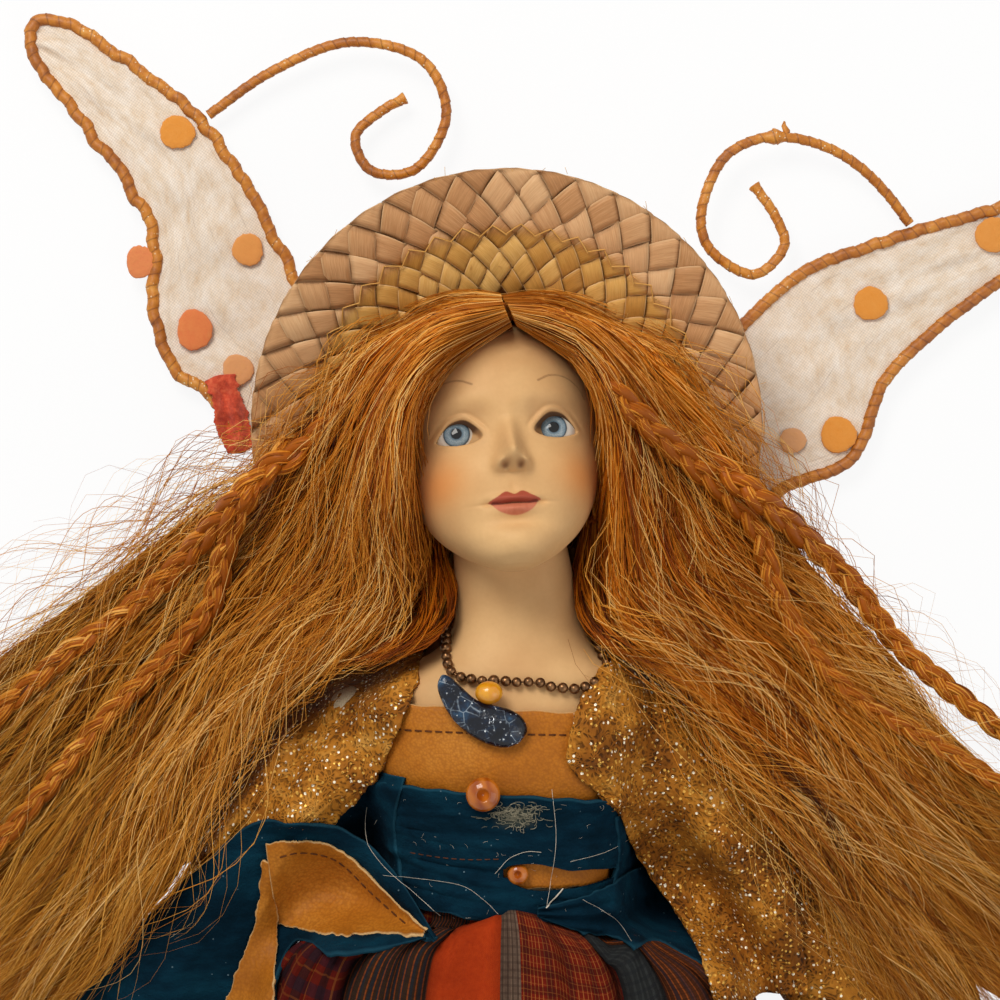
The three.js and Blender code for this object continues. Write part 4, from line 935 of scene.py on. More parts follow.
def sampled(sheet, across, along):
    """The grid's values at shares across and along it, carried on past its edges."""
    a, b = across * (sheet.shape[0] - 1), along * (sheet.shape[1] - 1)
    i = clip(a.astype(int), 0, sheet.shape[0] - 2)
    j = clip(b.astype(int), 0, sheet.shape[1] - 2)
    a, b = (a - i)[..., None], (b - j)[..., None]
    return ((sheet[i, j] * (1 - a) + sheet[i + 1, j] * a) * (1 - b)
        + (sheet[i, j + 1] * (1 - a) + sheet[i + 1, j + 1] * a) * b)


HAIR_GUIDES = {
    "left": [
        [[-1.3, 140.4], [-17.3, 140.1], [-34, 130.1], [-48.4, 113.1], [-63.3, 97], [-83.6, 84.8],
            [-111, 66.2], [-139.9, 45.2], [-171.5, 24]],
        [[-1, 138.7], [-18.3, 134.8], [-35, 119.6], [-47.4, 99.8], [-65.1, 76], [-91, 47.4], [-119.7, 13.9],
            [-148.6, -17.2], [-165.9, -37.2]],
        [[-0.5, 137.1], [-18.2, 130.1], [-30.8, 111.3], [-38.4, 88], [-52.1, 61.5], [-76, 26],
            [-105.8, -16], [-134.4, -52.9], [-154.8, -76.1]],
        [[0.2, 135.5], [-17.2, 126.4], [-27.1, 108.6], [-30, 82.8], [-36, 61], [-54, 44], [-76, 27.5],
            [-101, -8], [-127, -42], [-146, -72]],
        [[1, 134], [-16.1, 122.3], [-24, 108.6], [-23.7, 82.8], [-22.5, 63], [-38, 51.5], [-62, 36],
            [-77, 13], [-88, -12], [-103, -31], [-118, -48], [-131, -64]]],
    "right": [
        [[-0.8, 140.4], [13.7, 141.2], [31.5, 132.7], [48, 118.4], [63, 96], [82, 70], [106, 42], [131, 16],
            [160, -4]],
        [[0, 138.7], [15.2, 137.4], [32.4, 122.8], [48.5, 101.1], [66, 73], [87, 43], [111, 13], [135, -15],
            [158, -38]],
        [[0.8, 137.1], [16.2, 132.7], [31.3, 113.9], [40.5, 88], [52.7, 58.9], [73.5, 23.4], [99.2, -13],
            [122.5, -50.1], [142.9, -76.1]],
        [[1.5, 135.5], [17.7, 128], [27.1, 111.2], [30, 85.4], [37, 62], [55, 42], [77, 20], [102, -8],
            [122, -42], [140, -72]],
        [[2.3, 134], [18.7, 123.3], [25, 108.6], [23.9, 82.8], [23.5, 64.3], [35, 49], [51, 32], [69, 8],
            [83, -17], [98, -43], [114, -70]]]}
NAPE_GUIDES = [
    [[-24.4, 92, 36], [-25, 78, 36], [-25, 66, 40], [-26, 58, 45], [-32, 51, 50], [-46, 44, 50]],
    [[-21, 86, 30], [-19.5, 74, 32], [-18.5, 65, 38], [-20, 57, 44], [-25, 50.5, 49], [-38, 44, 50]]]

# %% [markdown]
# Mohair takes dye unevenly, so one lock runs from dark copper to pale gold. Both scales of colour are
# one shader group, which the mass and the strands share.

# %% The colours of the hair
hair_colour = bpy.data.node_groups.new("hair_colour", "ShaderNodeTree")
given = sockets_of(hair_colour, {"Tint": "Float", "Gold": "Float"}, {"Color": "Color"})
copper = ramp(hair_colour, given["Tint"], [(0, "3C1602"), (0.28, "9C4604"), (0.55, "D0700A"),
    (0.8, "EE982A"), (1, "FFC468")])
golden = ramp(hair_colour, given["Tint"], [(0, "48240A"), (0.28, "A05C14"), (0.55, "CC8A2C"),
    (0.8, "E8B054"), (1, "FCD690")])
out = hair_colour.nodes.new("NodeGroupOutput")
hair_colour.links.new(blended(hair_colour, given["Gold"], copper, golden), out.inputs[0])


def hair_finish(name, tint, gold):
    """A hair material whose tint and gold come from two recipes on its tree."""
    material, tree, shader, place = finish_of(name)
    group = tree.nodes.new("ShaderNodeGroup")
    group.node_tree = hair_colour
    tree.links.new(tint(tree), group.inputs["Tint"])
    tree.links.new(gold(tree), group.inputs["Gold"])
    feed(tree, shader, Base_Color=group.outputs[0], Roughness=0.45, Specular_IOR_Level=0.16)
    return material, tree, shader


def streaks(tree, fine=1.0):
    """Long streaks along a piece's own across and along values."""
    across, along = attribute(tree, "across"), attribute(tree, "along")
    place = placed(tree, times(tree, across, 9), times(tree, along, 7))
    bend = times(tree, noise(tree, place, 1, 2, 0.5), times(tree, along, 0.1))
    flow = placed(tree, times(tree, reckon(tree, "ADD", across, bend), 260 * fine), times(tree, along, 5.0))
    return noise(tree, flow, 1.0, 5, 0.62)


strand_hair, tree, shader = hair_finish("hair_strands", lambda t: attribute(t, "tint"),
    lambda t: attribute(t, "gold"))
# The mass is painted darker than the strands, as the shade in the gaps between the locks.
mass_hair, tree, shader = hair_finish("hair_mass", lambda t: times(t, streaks(t), 1.5, -0.42),
    lambda t: attribute(t, "gold"))
bumped(tree, shader, streaks(tree, 1.6), 0.8)


# %% [markdown]
# Combed mohair parts into locks. Each strand picks a lock, runs beside it and shares its waves, and some
# stray. Swept lines are used instead of a particle system, because they export as plain meshes.

# %% Locks and strands
def hair_lines(sheet, count, seed, locks=30, lift=(-1.2, 2.2), wave=1.0, radius=0.15, steps=21,
        reach=(0.78, 1.0), edge=(0.0, 1.0), length=230):
    """Strands along a sheet of places: their points, radii, tints and how far along each point is."""
    rng = np.random.default_rng(seed)
    pick = rng.integers(0, locks, count)
    centre = edge[0] + (edge[1] - edge[0]) * ((arange(locks) + rng.uniform(0.2, 0.8, locks)) / locks)
    loose = rng.random(count) < 0.3
    away = rng.normal(0, 1, count) * np.where(loose, 1.5, 0.3) / locks * (edge[1] - edge[0])
    start = np.where(rng.random(count) < 0.55, 0, rng.uniform(0, 0.5, count))
    end = start + (1 - start) * rng.uniform(*reach, count)
    along = start[:, None] + (end - start)[:, None] * linspace(0, 1, steps)
    own_drift = np.where(rng.random((count, 1)) < 0.14, 0.22, 0.02)
    drift = rng.normal(0, 0.07, locks)[pick][:, None] + rng.normal(0, 1, (count, 1)) * own_drift
    across = (centre[pick][:, None] + away[:, None] * (1.5 - 0.8 * ease(along, 0.1, 0.6))
        + drift * clip(along - 0.15, 0, 1) * sin(pi * clip(along * 1.2, 0, 1)))
    points = sampled(sheet, across, along)
    step = sampled(sheet, across, along + 0.012) - points
    aside = stack([-step[..., 1], step[..., 0]], -1)
    aside /= maximum(np.linalg.norm(aside, axis=-1, keepdims=True), 1e-6)
    run = along * length

    def ripple(size, span, phase):
        return size[:, None] * sin(2 * pi * (run / span[:, None] + phase[:, None]))

    size = rng.uniform(0.8, 4.2, locks)[pick]
    span = rng.uniform(40, 84, locks)[pick]
    phase = rng.random(locks)[pick] + rng.normal(0, 0.05, count)
    grown = ease(along, 0.05, 0.4) * wave
    own_wave = ripple(rng.uniform(0.1, 1.0, count), rng.uniform(38, 76, count), rng.random(count))
    swing = (ripple(size, span, phase) + own_wave) * grown
    points[..., :2] += aside * swing[..., None]
    round_lock = 1.8 * np.sqrt(clip(1 - (away * locks / 1.1) ** 2, 0, 1))[:, None]
    points[..., 2] += (rng.uniform(*lift, count)[:, None] + round_lock
        + ripple(size * 0.5, span, phase + 0.25) * grown + rng.normal(0, 0.7, locks)[pick][:, None]
        + ripple(rng.uniform(0, 0.8, count), rng.uniform(40, 76, count), rng.random(count)))
    points[..., 2] = maximum(points[..., 2], 0.4)
    thick = radius * rng.uniform(0.6, 1.3, (count, 1)) * (1 - 0.75 * ease(linspace(0, 1, steps), 0.6, 1.0))
    # Bands of painted highlight run along each lock, as the sheen of its waves.
    sheen = 0.16 * sin(2 * pi * (along * rng.uniform(1.4, 3, locks)[pick][:, None]
        + rng.random(locks)[pick][:, None]))
    tint = clip(rng.normal(0.53, 0.17, locks)[pick][:, None] + rng.normal(0, 0.13, (count, 1)) + sheen, 0, 1)
    return points, thick, tint, along


def goldness(along, side):
    """Copper by the face, golden tan towards the ends."""
    outer = ease(along, 0.3, 0.95)
    near_face = 0.5 if side == "left" else 0.12
    return clip(near_face * ease(along, 0.12, 0.35) + outer * 0.7, 0, 1)


# %% [markdown]
# On each side the mass is a closed sheet of hair with a rippled top and thinned, uneven ends. Four sets
# of strands lie on it. All of it follows the arm on its side.

# %% The hair of both sides
ARM_ENDS = {name: ((side * 0.036, 0.045, 0.04), (side * 0.075, 0.0, 0.02)) for name, side in SIDES.items()}


def follows_arm(made, name, slot, *nodes):
    """Hair or cloth that is drawn along by one arm."""
    start, end = ARM_ENDS[name]
    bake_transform(made, "torso", name + "_arm", start=start, end=end)
    if nodes:
        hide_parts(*nodes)


BODY = ["hat", "hair_crown", "shoulder_head", "torso_body", "skirt", "leather_top", "navy_bodice",
    "hair_left", "hair_right", "knit_front_left", "knit_front_right", "sleeve_left", "sleeve_right",
    "coat_panel_left", "coat_panel_right"]
under_hair = cad_tree(*BODY)
hair_sheets = {}
for name, side in SIDES.items():
    flat = patch(HAIR_GUIDES[name])
    rows, columns = flat.shape[:2]
    rng = np.random.default_rng(31 + side)
    tops = settled(heights(under_hair, flat.reshape(-1, 2), 2.0).reshape(rows, columns), 6)
    tops = softened(tops, 4)
    hair_sheets[name] = sheet = dstack([flat, tops])
    lows = heights(cad_tree("hair_" + name), flat.reshape(-1, 2), -1.0, upwards=True).reshape(rows, columns)
    lows = np.where(lows < 0, tops - 2.5, lows)
    across, along = np.meshgrid(linspace(0, 1, rows), linspace(0, 1, columns), indexing="ij")
    ripples = 0.9 * sin(across * 88 + 3 * sin(along * 9)) + 0.5 * sin(across * 47 - 6 * along)
    thinned = ease(along, 0.62, 1.0)
    top = dstack([flat, tops - 1.1 + ripples - 1.5 * thinned])
    low = dstack([flat, mixed(minimum(lows, tops - 2.6), tops - 3.4, thinned)])
    reach = 0.94 + 0.035 * sin(across[:, 0] * 61) + rng.uniform(-0.025, 0.025, rows)
    shorter = along * reach[:, None]
    top, low = sampled(top, across, shorter), sampled(low, across, shorter)
    gold = goldness(along, name)
    order = grid_faces(rows, columns)
    start = rows * columns
    walk = [*range(columns - 1), *range(columns - 1, start - 1, columns),
        *range(start - 1, start - columns, -1), *range(start - columns, 0, -columns)]
    wall = [(a, b, start + b, start + a) for a, b in zip(walk, walk[1:] + walk[:1])]
    faces = order + [[start + i for i in face[::-1]] for face in order] + wall
    mass = outwards(mesh_of("hair_mass_" + name, [top, low], faces, mass_hair, across=[across] * 2,
        along=[along] * 2, gold=[gold] * 2))
    follows_arm(mass, name, "hair", "hair_" + name)
    for part in range(4):
        points, thick, tint, along = hair_lines(sheet, 520, 10 * part + (side > 0),
            lift=(-1.6, 2.6), radius=0.15, steps=26)
        strands = swept("hair_strands_%s_%d" % (name, part + 1), points, thick, strand_hair, tint=tint,
            gold=goldness(along, name) + 0.25 * (tint - 0.5))
        follows_arm(strands, name, "hair")
    print("hair", name, "locks over", round(float(tops.max()), 1), "mm high at most")

# %% [markdown]
# The hat is sewn from two rows of wide straw plait. Flat splints cross each other at a slant, over one
# and under one, so every visible float is a small leaning tile whose ends dive under its neighbours.
# Each float is laid out on a slanting lattice that runs around the hat, first on the brim and then on
# its underside and crown.

# %% Straw
straw, tree, shader, place = finish_of("straw")
fibre = placed(tree, times(tree, attribute(tree, "long"), 1.6), times(tree, attribute(tree, "wide"), 26),
    times(tree, attribute(tree, "tint"), 90))
grain = noise(tree, fibre, 1.0, 4, 0.6)
tone = reckon(tree, "ADD", times(tree, attribute(tree, "tint"), 0.36, 0.1), times(tree, grain, 0.5))
splint = ramp(tree, tone, [(0.1, "8E5E3C"), (0.4, "C08C5C"), (0.62, "D8A878"), (0.9, "EEC898")])
warm = ramp(tree, tone, [(0.1, "8E5E2C"), (0.4, "BE883E"), (0.65, "D6A458"), (0.9, "ECC27A")])
splint = blended(tree, attribute(tree, "inner"), splint, warm)
# The splints' edges are paler: partly frayed straw, partly painted highlight along them.
edge = times(tree, reckon(tree, "ABSOLUTE", attribute(tree, "wide")), 2.0)
splint = overlaid(tree, splint, "E2C295", ramp(tree, edge, [(0.86, 0), (0.95, 1)]), 0.5)
# The ends of each float, where it goes under its neighbours, are painted darker, as the shade there.
dive = ramp(tree, reckon(tree, "ABSOLUTE", attribute(tree, "long")), [(0.36, 0), (0.6, 1)])
splint = overlaid(tree, splint, "5A3A20", dive, 0.5)
feed(tree, shader, Base_Color=splint, Roughness=times(tree, grain, 0.2, 0.42), Specular_IOR_Level=0.25)
bumped(tree, shader, grain, 0.12, 0.8)

HAT_AT, HAT_RADIUS, CROWN_RADIUS, STRAW = (0.0, 106.5), 69.0, 38.0, 1.6


def brim_height(angle, radius):
    """The height of the brim's underside: the rim rises towards the top of the head."""
    share = (radius - CROWN_RADIUS) / (HAT_RADIUS - CROWN_RADIUS)
    return 22 + 14 * sin(angle) + share * (6 + 6 * sin(angle))


def on_top(angle, run):
    """From the rim inwards over the brim, with a step up to the inner row."""
    radius = HAT_RADIUS - run
    step = 0.7 * ease(radius, 52.6, 53.6)
    return radius, brim_height(angle, radius) + STRAW + step, 1.0


def under_hat(angle, run):
    """From the rim inwards under the brim, down the crown's side and over its flat back."""
    wall = brim_height(angle, CROWN_RADIUS) - 3
    a = clip(run, 0, 31)
    b = clip(run - 31, 0, wall)
    c = clip(run - 31 - wall, 0, CROWN_RADIUS - 2)
    radius = HAT_RADIUS - a - c * 0.98 - 0.5 * ease(b / wall, 0.8, 1)
    height = np.where(run <= 31, brim_height(angle, HAT_RADIUS - a), brim_height(angle, CROWN_RADIUS) - b)
    return radius, maximum(height - 1.2 * ease(c, 0, 3), 0.75), -1.0


def woven(name, profile, rows, around=44, runs=(0, 0, 4.72), arch=0.75, long=8, wide=5, seed=3):
    """Straw floats over a lattice of crossing splints. The profile gives radius, height and way up."""
    rng = np.random.default_rng(seed)
    p, q = np.meshgrid(linspace(-0.6, 0.6, long), linspace(-0.485, 0.485, wide), indexing="ij")
    points, values, faces = [], {"long": [], "wide": [], "tint": [], "inner": []}, []
    order = grid_faces(long, wide)
    for row in range(rows):
        lean = 1 if row % 2 else -1
        for i in range(around):
            shift = rng.normal(0, 0.025, 2)
            along = p * (1 + rng.normal(0, 0.03))
            column = i + 0.5 * (row % 2) + (along + q) / 2 * (1 if lean > 0 else -1) + shift[0]
            reach = row + (along - q) + shift[1]
            angle = column / around * 2 * pi
            run = maximum(interp(reach, arange(len(runs)) - 1, runs), 0.0)
            if reach.max() > len(runs) - 2:
                run = maximum(run, runs[-1] + (reach - len(runs) + 2) * 4.72)
            radius, height, way = profile(angle, run)
            lift = arch * (cos(pi * p / 1.15) - 0.42) - 0.12 * (2 * q) ** 2
            lift = lift + rng.normal(0, 0.06) + rng.normal(0, 0.1) * q
            lift = np.where(reach < 0, 0.1 + 0.2 * (-reach), lift)
            faces += [[len(points) * long * wide + k for k in face] for face in order]
            x, y = HAT_AT[0] + radius * cos(angle), HAT_AT[1] + radius * sin(angle)
            points.append(stack([x, y, height + way * lift], -1))
            for key, value in (("long", p), ("wide", q), ("tint", rng.random()),
                    ("inner", ease(run, 14, 18))):
                values[key].append(value + 0 * p)
    made = mesh_of(name, points, faces, straw, **values)
    return modified(made, "SOLIDIFY", thickness=0.00022, offset=-1)


# %% [markdown]
# The floats only cover a surface, so a plain straw body closes the hat under them. The two rows of the
# brim are told apart by their spacing and by the warmer straw of the inner one.

# %% The hat's plait
turn = full_turn(120)
inside = [[CROWN_RADIUS - STRAW, 3.0], [CROWN_RADIUS - STRAW - 6, STRAW], [0.5, STRAW]]
rings = []
for run in concatenate([linspace(0.4, 30.6, 14), linspace(31, 96, 44)])[::-1]:
    radius, height, way = under_hat(turn, np.full(120, run))
    rings.append(circle(turn, HAT_AT, radius, radius, height + 0.35))
for share in linspace(0, 1, 16):
    radius, height, way = on_top(turn, np.full(120, 0.4 + 30.6 * share))
    rings.append(circle(turn, HAT_AT, radius, radius, height - 0.75))
rings += [circle(turn, HAT_AT, radius, radius, height) for radius, height in inside]
# The base's long value of 0.55 gives it the darker tone of the float ends: painted shade in the gaps between
# floats.
base = closed_form("straw_base", rings, straw, long=0.55, wide=0, tint=0.15, inner=0)
TOP_RUNS = (0, 0.4, 6.6, 12.4, 16.8, 21, 25.6, 30, 34)
hat = joined("straw_hat", woven("straw_top", on_top, 7, 41, TOP_RUNS, 0.95), base)
worn(hat, "torso", "straw", "hat")
hat_back = woven("straw_hat_back", under_hat, 19, seed=5, long=6, wide=3)
worn(hat_back, "torso", "straw")
print("hat:", len(hat.data.polygons) + len(hat_back.data.polygons), "faces")

# %% [markdown]
# Long slanting stitches join the two rows, and cut ends of straw stand out along the edges.

# %% The seam between the two rows of plait, and frayed ends
rng = np.random.default_rng(11)
lines, tints = [], []
for i in range(88):
    angle = linspace(i, i + 1, 6) / 88 * 2 * pi
    swing = (-1 if i % 2 else 1) * linspace(-1.3, 1.3, 6) + rng.normal(0, 0.2)
    radius = 53.2 + swing
    height = brim_height(angle, radius) + STRAW + 1.25 + 0.15 * sin(linspace(0, pi, 6))
    lines.append(stack([radius * cos(angle), HAT_AT[1] + radius * sin(angle), height], 1))
    tints.append(rng.uniform(0.5, 1.0))
for i in range(90):
    angle, radius = rng.uniform(0, 2 * pi), rng.choice([69.2, 68.8, 53.0, 44.0])
    way, size = rng.uniform(0, 2 * pi), rng.uniform(0.8, 2.6)
    t = linspace(0, 1, 6)
    height = brim_height(angle, radius) + STRAW + 0.4
    spot = array([radius * math.cos(angle), HAT_AT[1] + radius * math.sin(angle), height])
    lines.append(spot + stack([t * size * math.cos(way), t * size * math.sin(way), 0.7 * sin(2.4 * t)], 1))
    tints.append(rng.uniform(0.6, 1.0))
frays = swept("straw_frays", lines, concatenate([np.full(88, 0.2), np.full(90, 0.07)])[:, None], straw, 5,
    tint=array(tints)[:, None], long=0.0, wide=0.2, inner=1.0)
worn(frays, "torso", "straw")

# %% [markdown]
# The wings are bent from wire and wrapped with ochre floral tape, each turn lapping the last. Sheer
# cloth is stretched over them, felt dots are glued on, and two curled wires stand off them.

# %% Tubes
def tube(name, path, radius, sides, closed=False, shape=None):
    """Taped wire along a path that lies nearly flat, with its turn and run."""
    path = asarray(path, float)
    ahead = np.roll(path, -1, 0) - np.roll(path, 1, 0)
    if not closed:
        ahead[0], ahead[-1] = path[1] - path[0], path[-1] - path[-2]
    ahead /= np.linalg.norm(ahead, axis=1, keepdims=True)
    aside = stack([-ahead[:, 1], ahead[:, 0], np.zeros(len(path))], 1)
    aside /= np.linalg.norm(aside, axis=1, keepdims=True)
    up = np.cross(ahead, aside)
    turn = arange(sides) / sides
    run = run_along(path)
    size = np.broadcast_to(asarray(radius, float).reshape(-1, 1), (len(path), sides))
    if shape is not None:
        size = size * shape(run[:, None], turn[None, :])
    a = turn * 2 * pi
    points = path[:, None] + size[..., None] * (aside[:, None] * cos(a)[None, :, None]
        - up[:, None] * sin(a)[None, :, None])
    faces = capped(len(path), sides)
    if closed:
        last = (len(path) - 1) * sides
        faces[-2:] = [[last + j, last + (j + 1) % sides, (j + 1) % sides, j] for j in range(sides)]
    values = {"turn": np.broadcast_to(turn, size.shape), "run": np.broadcast_to(run[:, None], size.shape)}
    return outwards(mesh_of(name, points, faces, taped, **values))


def lapped(run, turn):
    """The relief of tape wound around a wire."""
    share = (run / 3.3 + turn + 0.12 * sin(run * 0.7)) % 1
    return 0.9 + 0.17 * share * ease(share, 0, 0.12) + 0.02 * sin(run * 5.1 + 14 * turn)


# %% [markdown]
# Floral tape is waxed crepe paper. It shows a lap at every turn, a fibrous nap and, here, some glitter.
# The lap is in the mesh, since it breaks the outline, and the nap is a bump.

# %% Taped wire
taped, tree, shader, place = finish_of("taped_wire")
wind = reckon(tree, "FRACT", reckon(tree, "ADD", attribute(tree, "turn"),
    reckon(tree, "DIVIDE", attribute(tree, "run"), 3.3)))
fibres = noise(tree, place["Object"], 420, 4)
patches = noise(tree, place["Object"], 90, 2)
tape = ramp(tree, reckon(tree, "ADD", times(tree, patches, 0.6), times(tree, fibres, 0.5)),
    [(0.3, "7A3F0C"), (0.47, "AD6416"), (0.6, "C97E24"), (0.8, "E2A44C")])
# A dark line at each lap is painted shade under the edge of the turn above it.
tape = overlaid(tree, tape, "5C2C0A", ramp(tree, wind, [(0, 1), (0.1, 0), (0.9, 0), (1, 1)]), 0.6)
# Pale specks are the glitter: the flakes are real, and their glint is painted into the colour.
glint = cells(tree, place["Object"], 700)
speck = reckon(tree, "LESS_THAN", glint["Distance"], 0.17)
tape = overlaid(tree, tape, "F6EBC9", speck, ramp(tree, patches, [(0.5, 0), (0.62, 0.8)]))
feed(tree, shader, Base_Color=tape, Roughness=0.5, Metallic=0.0)
bumped(tree, shader, fibres, 0.15, 0.7)
WING_PATHS = {
    "left": [[-5, 31], [-24, 55], [-42.5, 92], [-50, 126], [-58.8, 148.9], [-71.5, 173.9], [-84.1, 192.5],
        [-101, 206.7], [-120.5, 219.4], [-129.6, 221.4], [-131.8, 213], [-117.7, 193.3], [-102.7, 171.9],
        [-97.7, 158.9], [-97.9, 140.2], [-92.9, 125], [-82.4, 117.2], [-45, 72], [-9, 25]],
    "right": [[5, 31], [24, 55], [42.5, 92], [52, 120], [68.2, 139.1], [83.2, 151.6], [104.6, 159.7],
        [122.1, 165], [137.1, 169.4], [153, 178], [159.9, 176.4], [153.8, 160.2], [137.1, 148.9],
        [119.6, 135.8], [104.6, 120.5], [95.7, 99.4], [77.1, 91.3], [44, 62], [9, 25]]}
CURL_PATHS = {
    "left": [[-82.8, 195], [-65.1, 206.9], [-43, 214.9], [-22.8, 209.4], [-16.7, 194.5], [-25.6, 179.5],
        [-37.8, 179.5], [-41.9, 188.9], [-34.2, 196.4], [-28.1, 199.7]],
    "right": [[111.9, 164.6], [105.8, 172.6], [97.8, 180.4], [88.9, 185.6], [77.6, 188.4], [68.7, 187.6],
        [59.9, 182.3], [53.8, 166.3], [56.3, 157.4], [68.7, 150.5], [77, 158.5], [74.8, 166.3],
        [68.7, 175.4]]}


def wing_height(x):
    """The wings rise a little towards their tips."""
    return 2.5 + 0.03 * np.abs(x)


for name, side in SIDES.items():
    loop = line(WING_PATHS[name], 900, closed=True)
    loop = column_stack([loop, wing_height(loop[:, 0])])
    rng = np.random.default_rng(4)
    loop[:, :2] += softened(rng.normal(0, 1.6, (900, 2)), 30) * 0.8
    wire = tube("taped_frame_" + name, loop, 1.72, 11, True, lapped)
    worn(wire, "torso", "taped_wire", "wing_frame_" + name)
    curl = line(CURL_PATHS[name], 420)
    share = linspace(0, 1, 420)
    curl = column_stack([curl, wing_height(CURL_PATHS[name][0][0]) + 3 * sin(pi * share)])
    size = np.full(420, 1.42)
    if name == "right":
        size += 0.9 * bell(share, 0.345, 0.012)
    size += 0.35 * ease(share, 0.985, 1.0)
    curls = [tube("taped_curl_" + name, curl, size, 14, False, lapped)]
    if name == "right":
        tip = array([[0, 0, 0], [0.3, 1.6, 0.3], [-0.5, 3.0, 0.5], [-0.3, 4.2, 0.5]]) + [77.2, 188.6, 8.2]
        curls.append(tube("torn_tip", tip, [1.3, 1.0, 0.7, 0.25], 10))
    worn(joined("taped_curls_" + name, *curls), "torso", "taped_wire", "wing_curl_" + name)

# %% [markdown]
# Each membrane is one sheet pulled between both sides of its loop, so it creases along the pull. It is a
# grid from one side to the other, and it lets light through between its threads.

# %% Sheer cloth on the wings
sheer, tree, shader, place = finish_of("sheer_cloth")
spot = put(tree, "Mapping", {"Vector": place["Object"], "Rotation": (0, 0, 0.6)}).outputs[0]
across = placed(tree, times(tree, attribute(tree, "along"), 26), times(tree, attribute(tree, "across"), 5))
fold = noise(tree, across, 1.6, 4, 0.65)
fine_fold = noise(tree, across, 6.0, 3, 0.6)
weave = plain_weave(tree, spot, 480.0, 1.2, 1.0)
threads = times(tree, reckon(tree, "ADD", weave[0], weave[1]), 0.5)
# The cloth's colour follows the folds of its bump: painted shade in their hollows and painted light on their
# ridges.
cloth = ramp(tree, fold, [(0.25, "DCBC98"), (0.4, "ECD8C0"), (0.6, "F8EBDC"), (0.8, "FFF8F0")])
cloth = overlaid(tree, cloth, "D8C3AC", reckon(tree, "SUBTRACT", 1.0, threads), 0.22)
# Thin dark lines along the pull are painted shade in its creases.
pull = placed(tree, times(tree, attribute(tree, "along"), 5), times(tree, attribute(tree, "across"), 34))
pulled = ramp(tree, noise(tree, pull, 1, 3, 0.6), [(0.63, 0), (0.68, 1), (0.73, 0)])
cloth = overlaid(tree, cloth, "A9886C", pulled, 0.4)
feed(tree, shader, Base_Color=cloth, Roughness=0.75, Alpha=times(tree, threads, 0.25,
    times(tree, fine_fold, -0.3, 0.86)))
bumped(tree, shader, reckon(tree, "ADD", fold, times(tree, fine_fold, 0.4)), 0.5, 0.8)

felt, tree, shader, place = finish_of("felt")
fuzz = noise(tree, place["Object"], 700, 5, 0.7)
hue = blended(tree, attribute(tree, "coral"), "E08A24", "DE6A3C")
hue = blended(tree, attribute(tree, "pale"), hue, "D9A077")
hue = overlaid(tree, hue, "F0B060", fuzz, 0.5)
feed(tree, shader, Base_Color=hue, Roughness=0.95, Sheen_Weight=0.4)
bumped(tree, shader, fuzz, 0.3, 0.9)
# Each dot: X, Y, half width, half height, coral, pale
DOTS = {
    "left": [[-91.3, 190, 5, 4.6, 0, 0], [-71.8, 157.5, 4.3, 4.5, 0.1, 0.25],
        [-86.6, 135.2, 4.9, 5.8, 1, 0], [-74.6, 124.1, 4.3, 4.4, 0.4, 0.75],
        [-101.5, 154.1, 4.0, 4.6, 1, 0.2]],
    "right": [[101, 142.5, 4.8, 4.7, 0, 0], [92.1, 106.1, 5, 5.1, 0, 0], [134.6, 161.4, 4.8, 5, 0, 0.1],
        [79.5, 104.5, 3.7, 3.5, 0.3, 1]]}
rng = np.random.default_rng(8)
for name, side in SIDES.items():
    loop = line(WING_PATHS[name], 600, closed=True)
    half = int(np.argmax(np.abs(loop[:, 0]))) + 1
    outer = line(loop[:half:6], 120)
    inner = line(np.vstack([loop[:1], loop[:half - 1:-6]]), 120)
    share = linspace(0, 1, 44)
    flat = outer[:, None] * (1 - share[None, :, None]) + inner[:, None] * share[None, :, None]
    along, across = np.meshgrid(linspace(0, 1, 120), share, indexing="ij")
    sag = (0.5 * sin(along * 46 + 4 * sin(across * 6)) + 0.35 * sin(along * 83 - 7 * across)
        + 0.25 * sin(along * 31 + 19 * across)) * sin(pi * across) ** 0.5
    z = wing_height(flat[..., 0]) + 0.7 * sag * ease(along, 0, 0.1)
    cloth = mesh_of("sheer_wing_" + name, dstack([flat, z]), grid_faces(120, 44), sheer, along=along,
        across=across)
    modified(cloth, "SOLIDIFY", thickness=0.00025, offset=0)
    worn(cloth, "torso", "sheer_cloth", "wing_membrane_" + name)
    size = np.ptp(flat.reshape(-1, 2), 0) * MM
    for n, (x, y, wide, tall, coral, pale) in enumerate(DOTS[name]):
        turn = full_turn(40)
        ragged = 1 + 0.035 * sin(3 * turn + rng.uniform(0, 6)) + 0.02 * rng.normal(0, 1, 40)
        rings = []
        for grow, rise in ((0.02, 0.34), (0.6, 0.36), (0.92, 0.32), (1.0, 0.1), (0.99, -0.3), (0.6, -0.3),
                (0.02, -0.3)):
            flat = circle(turn, (x, y), wide * grow * ragged, tall * grow * ragged, 0.95 + rise)
            rings.append(flat + wing_height(flat[:, :1]) * [0, 0, 1])
        dot = closed_form("felt_dot_%s_%d" % (name, n + 1), rings, felt, coral=coral, pale=pale)
        worn(dot, "torso", "felt", "wing_dot_%s_%d" % (name, n + 1))

# %% [markdown]
# Under the fan of hair a cap of mohair covers the skull, and strands lie along the neck, painted darker
# as shade under the head. Outside both edges of the fan stand single hairs that have come loose.

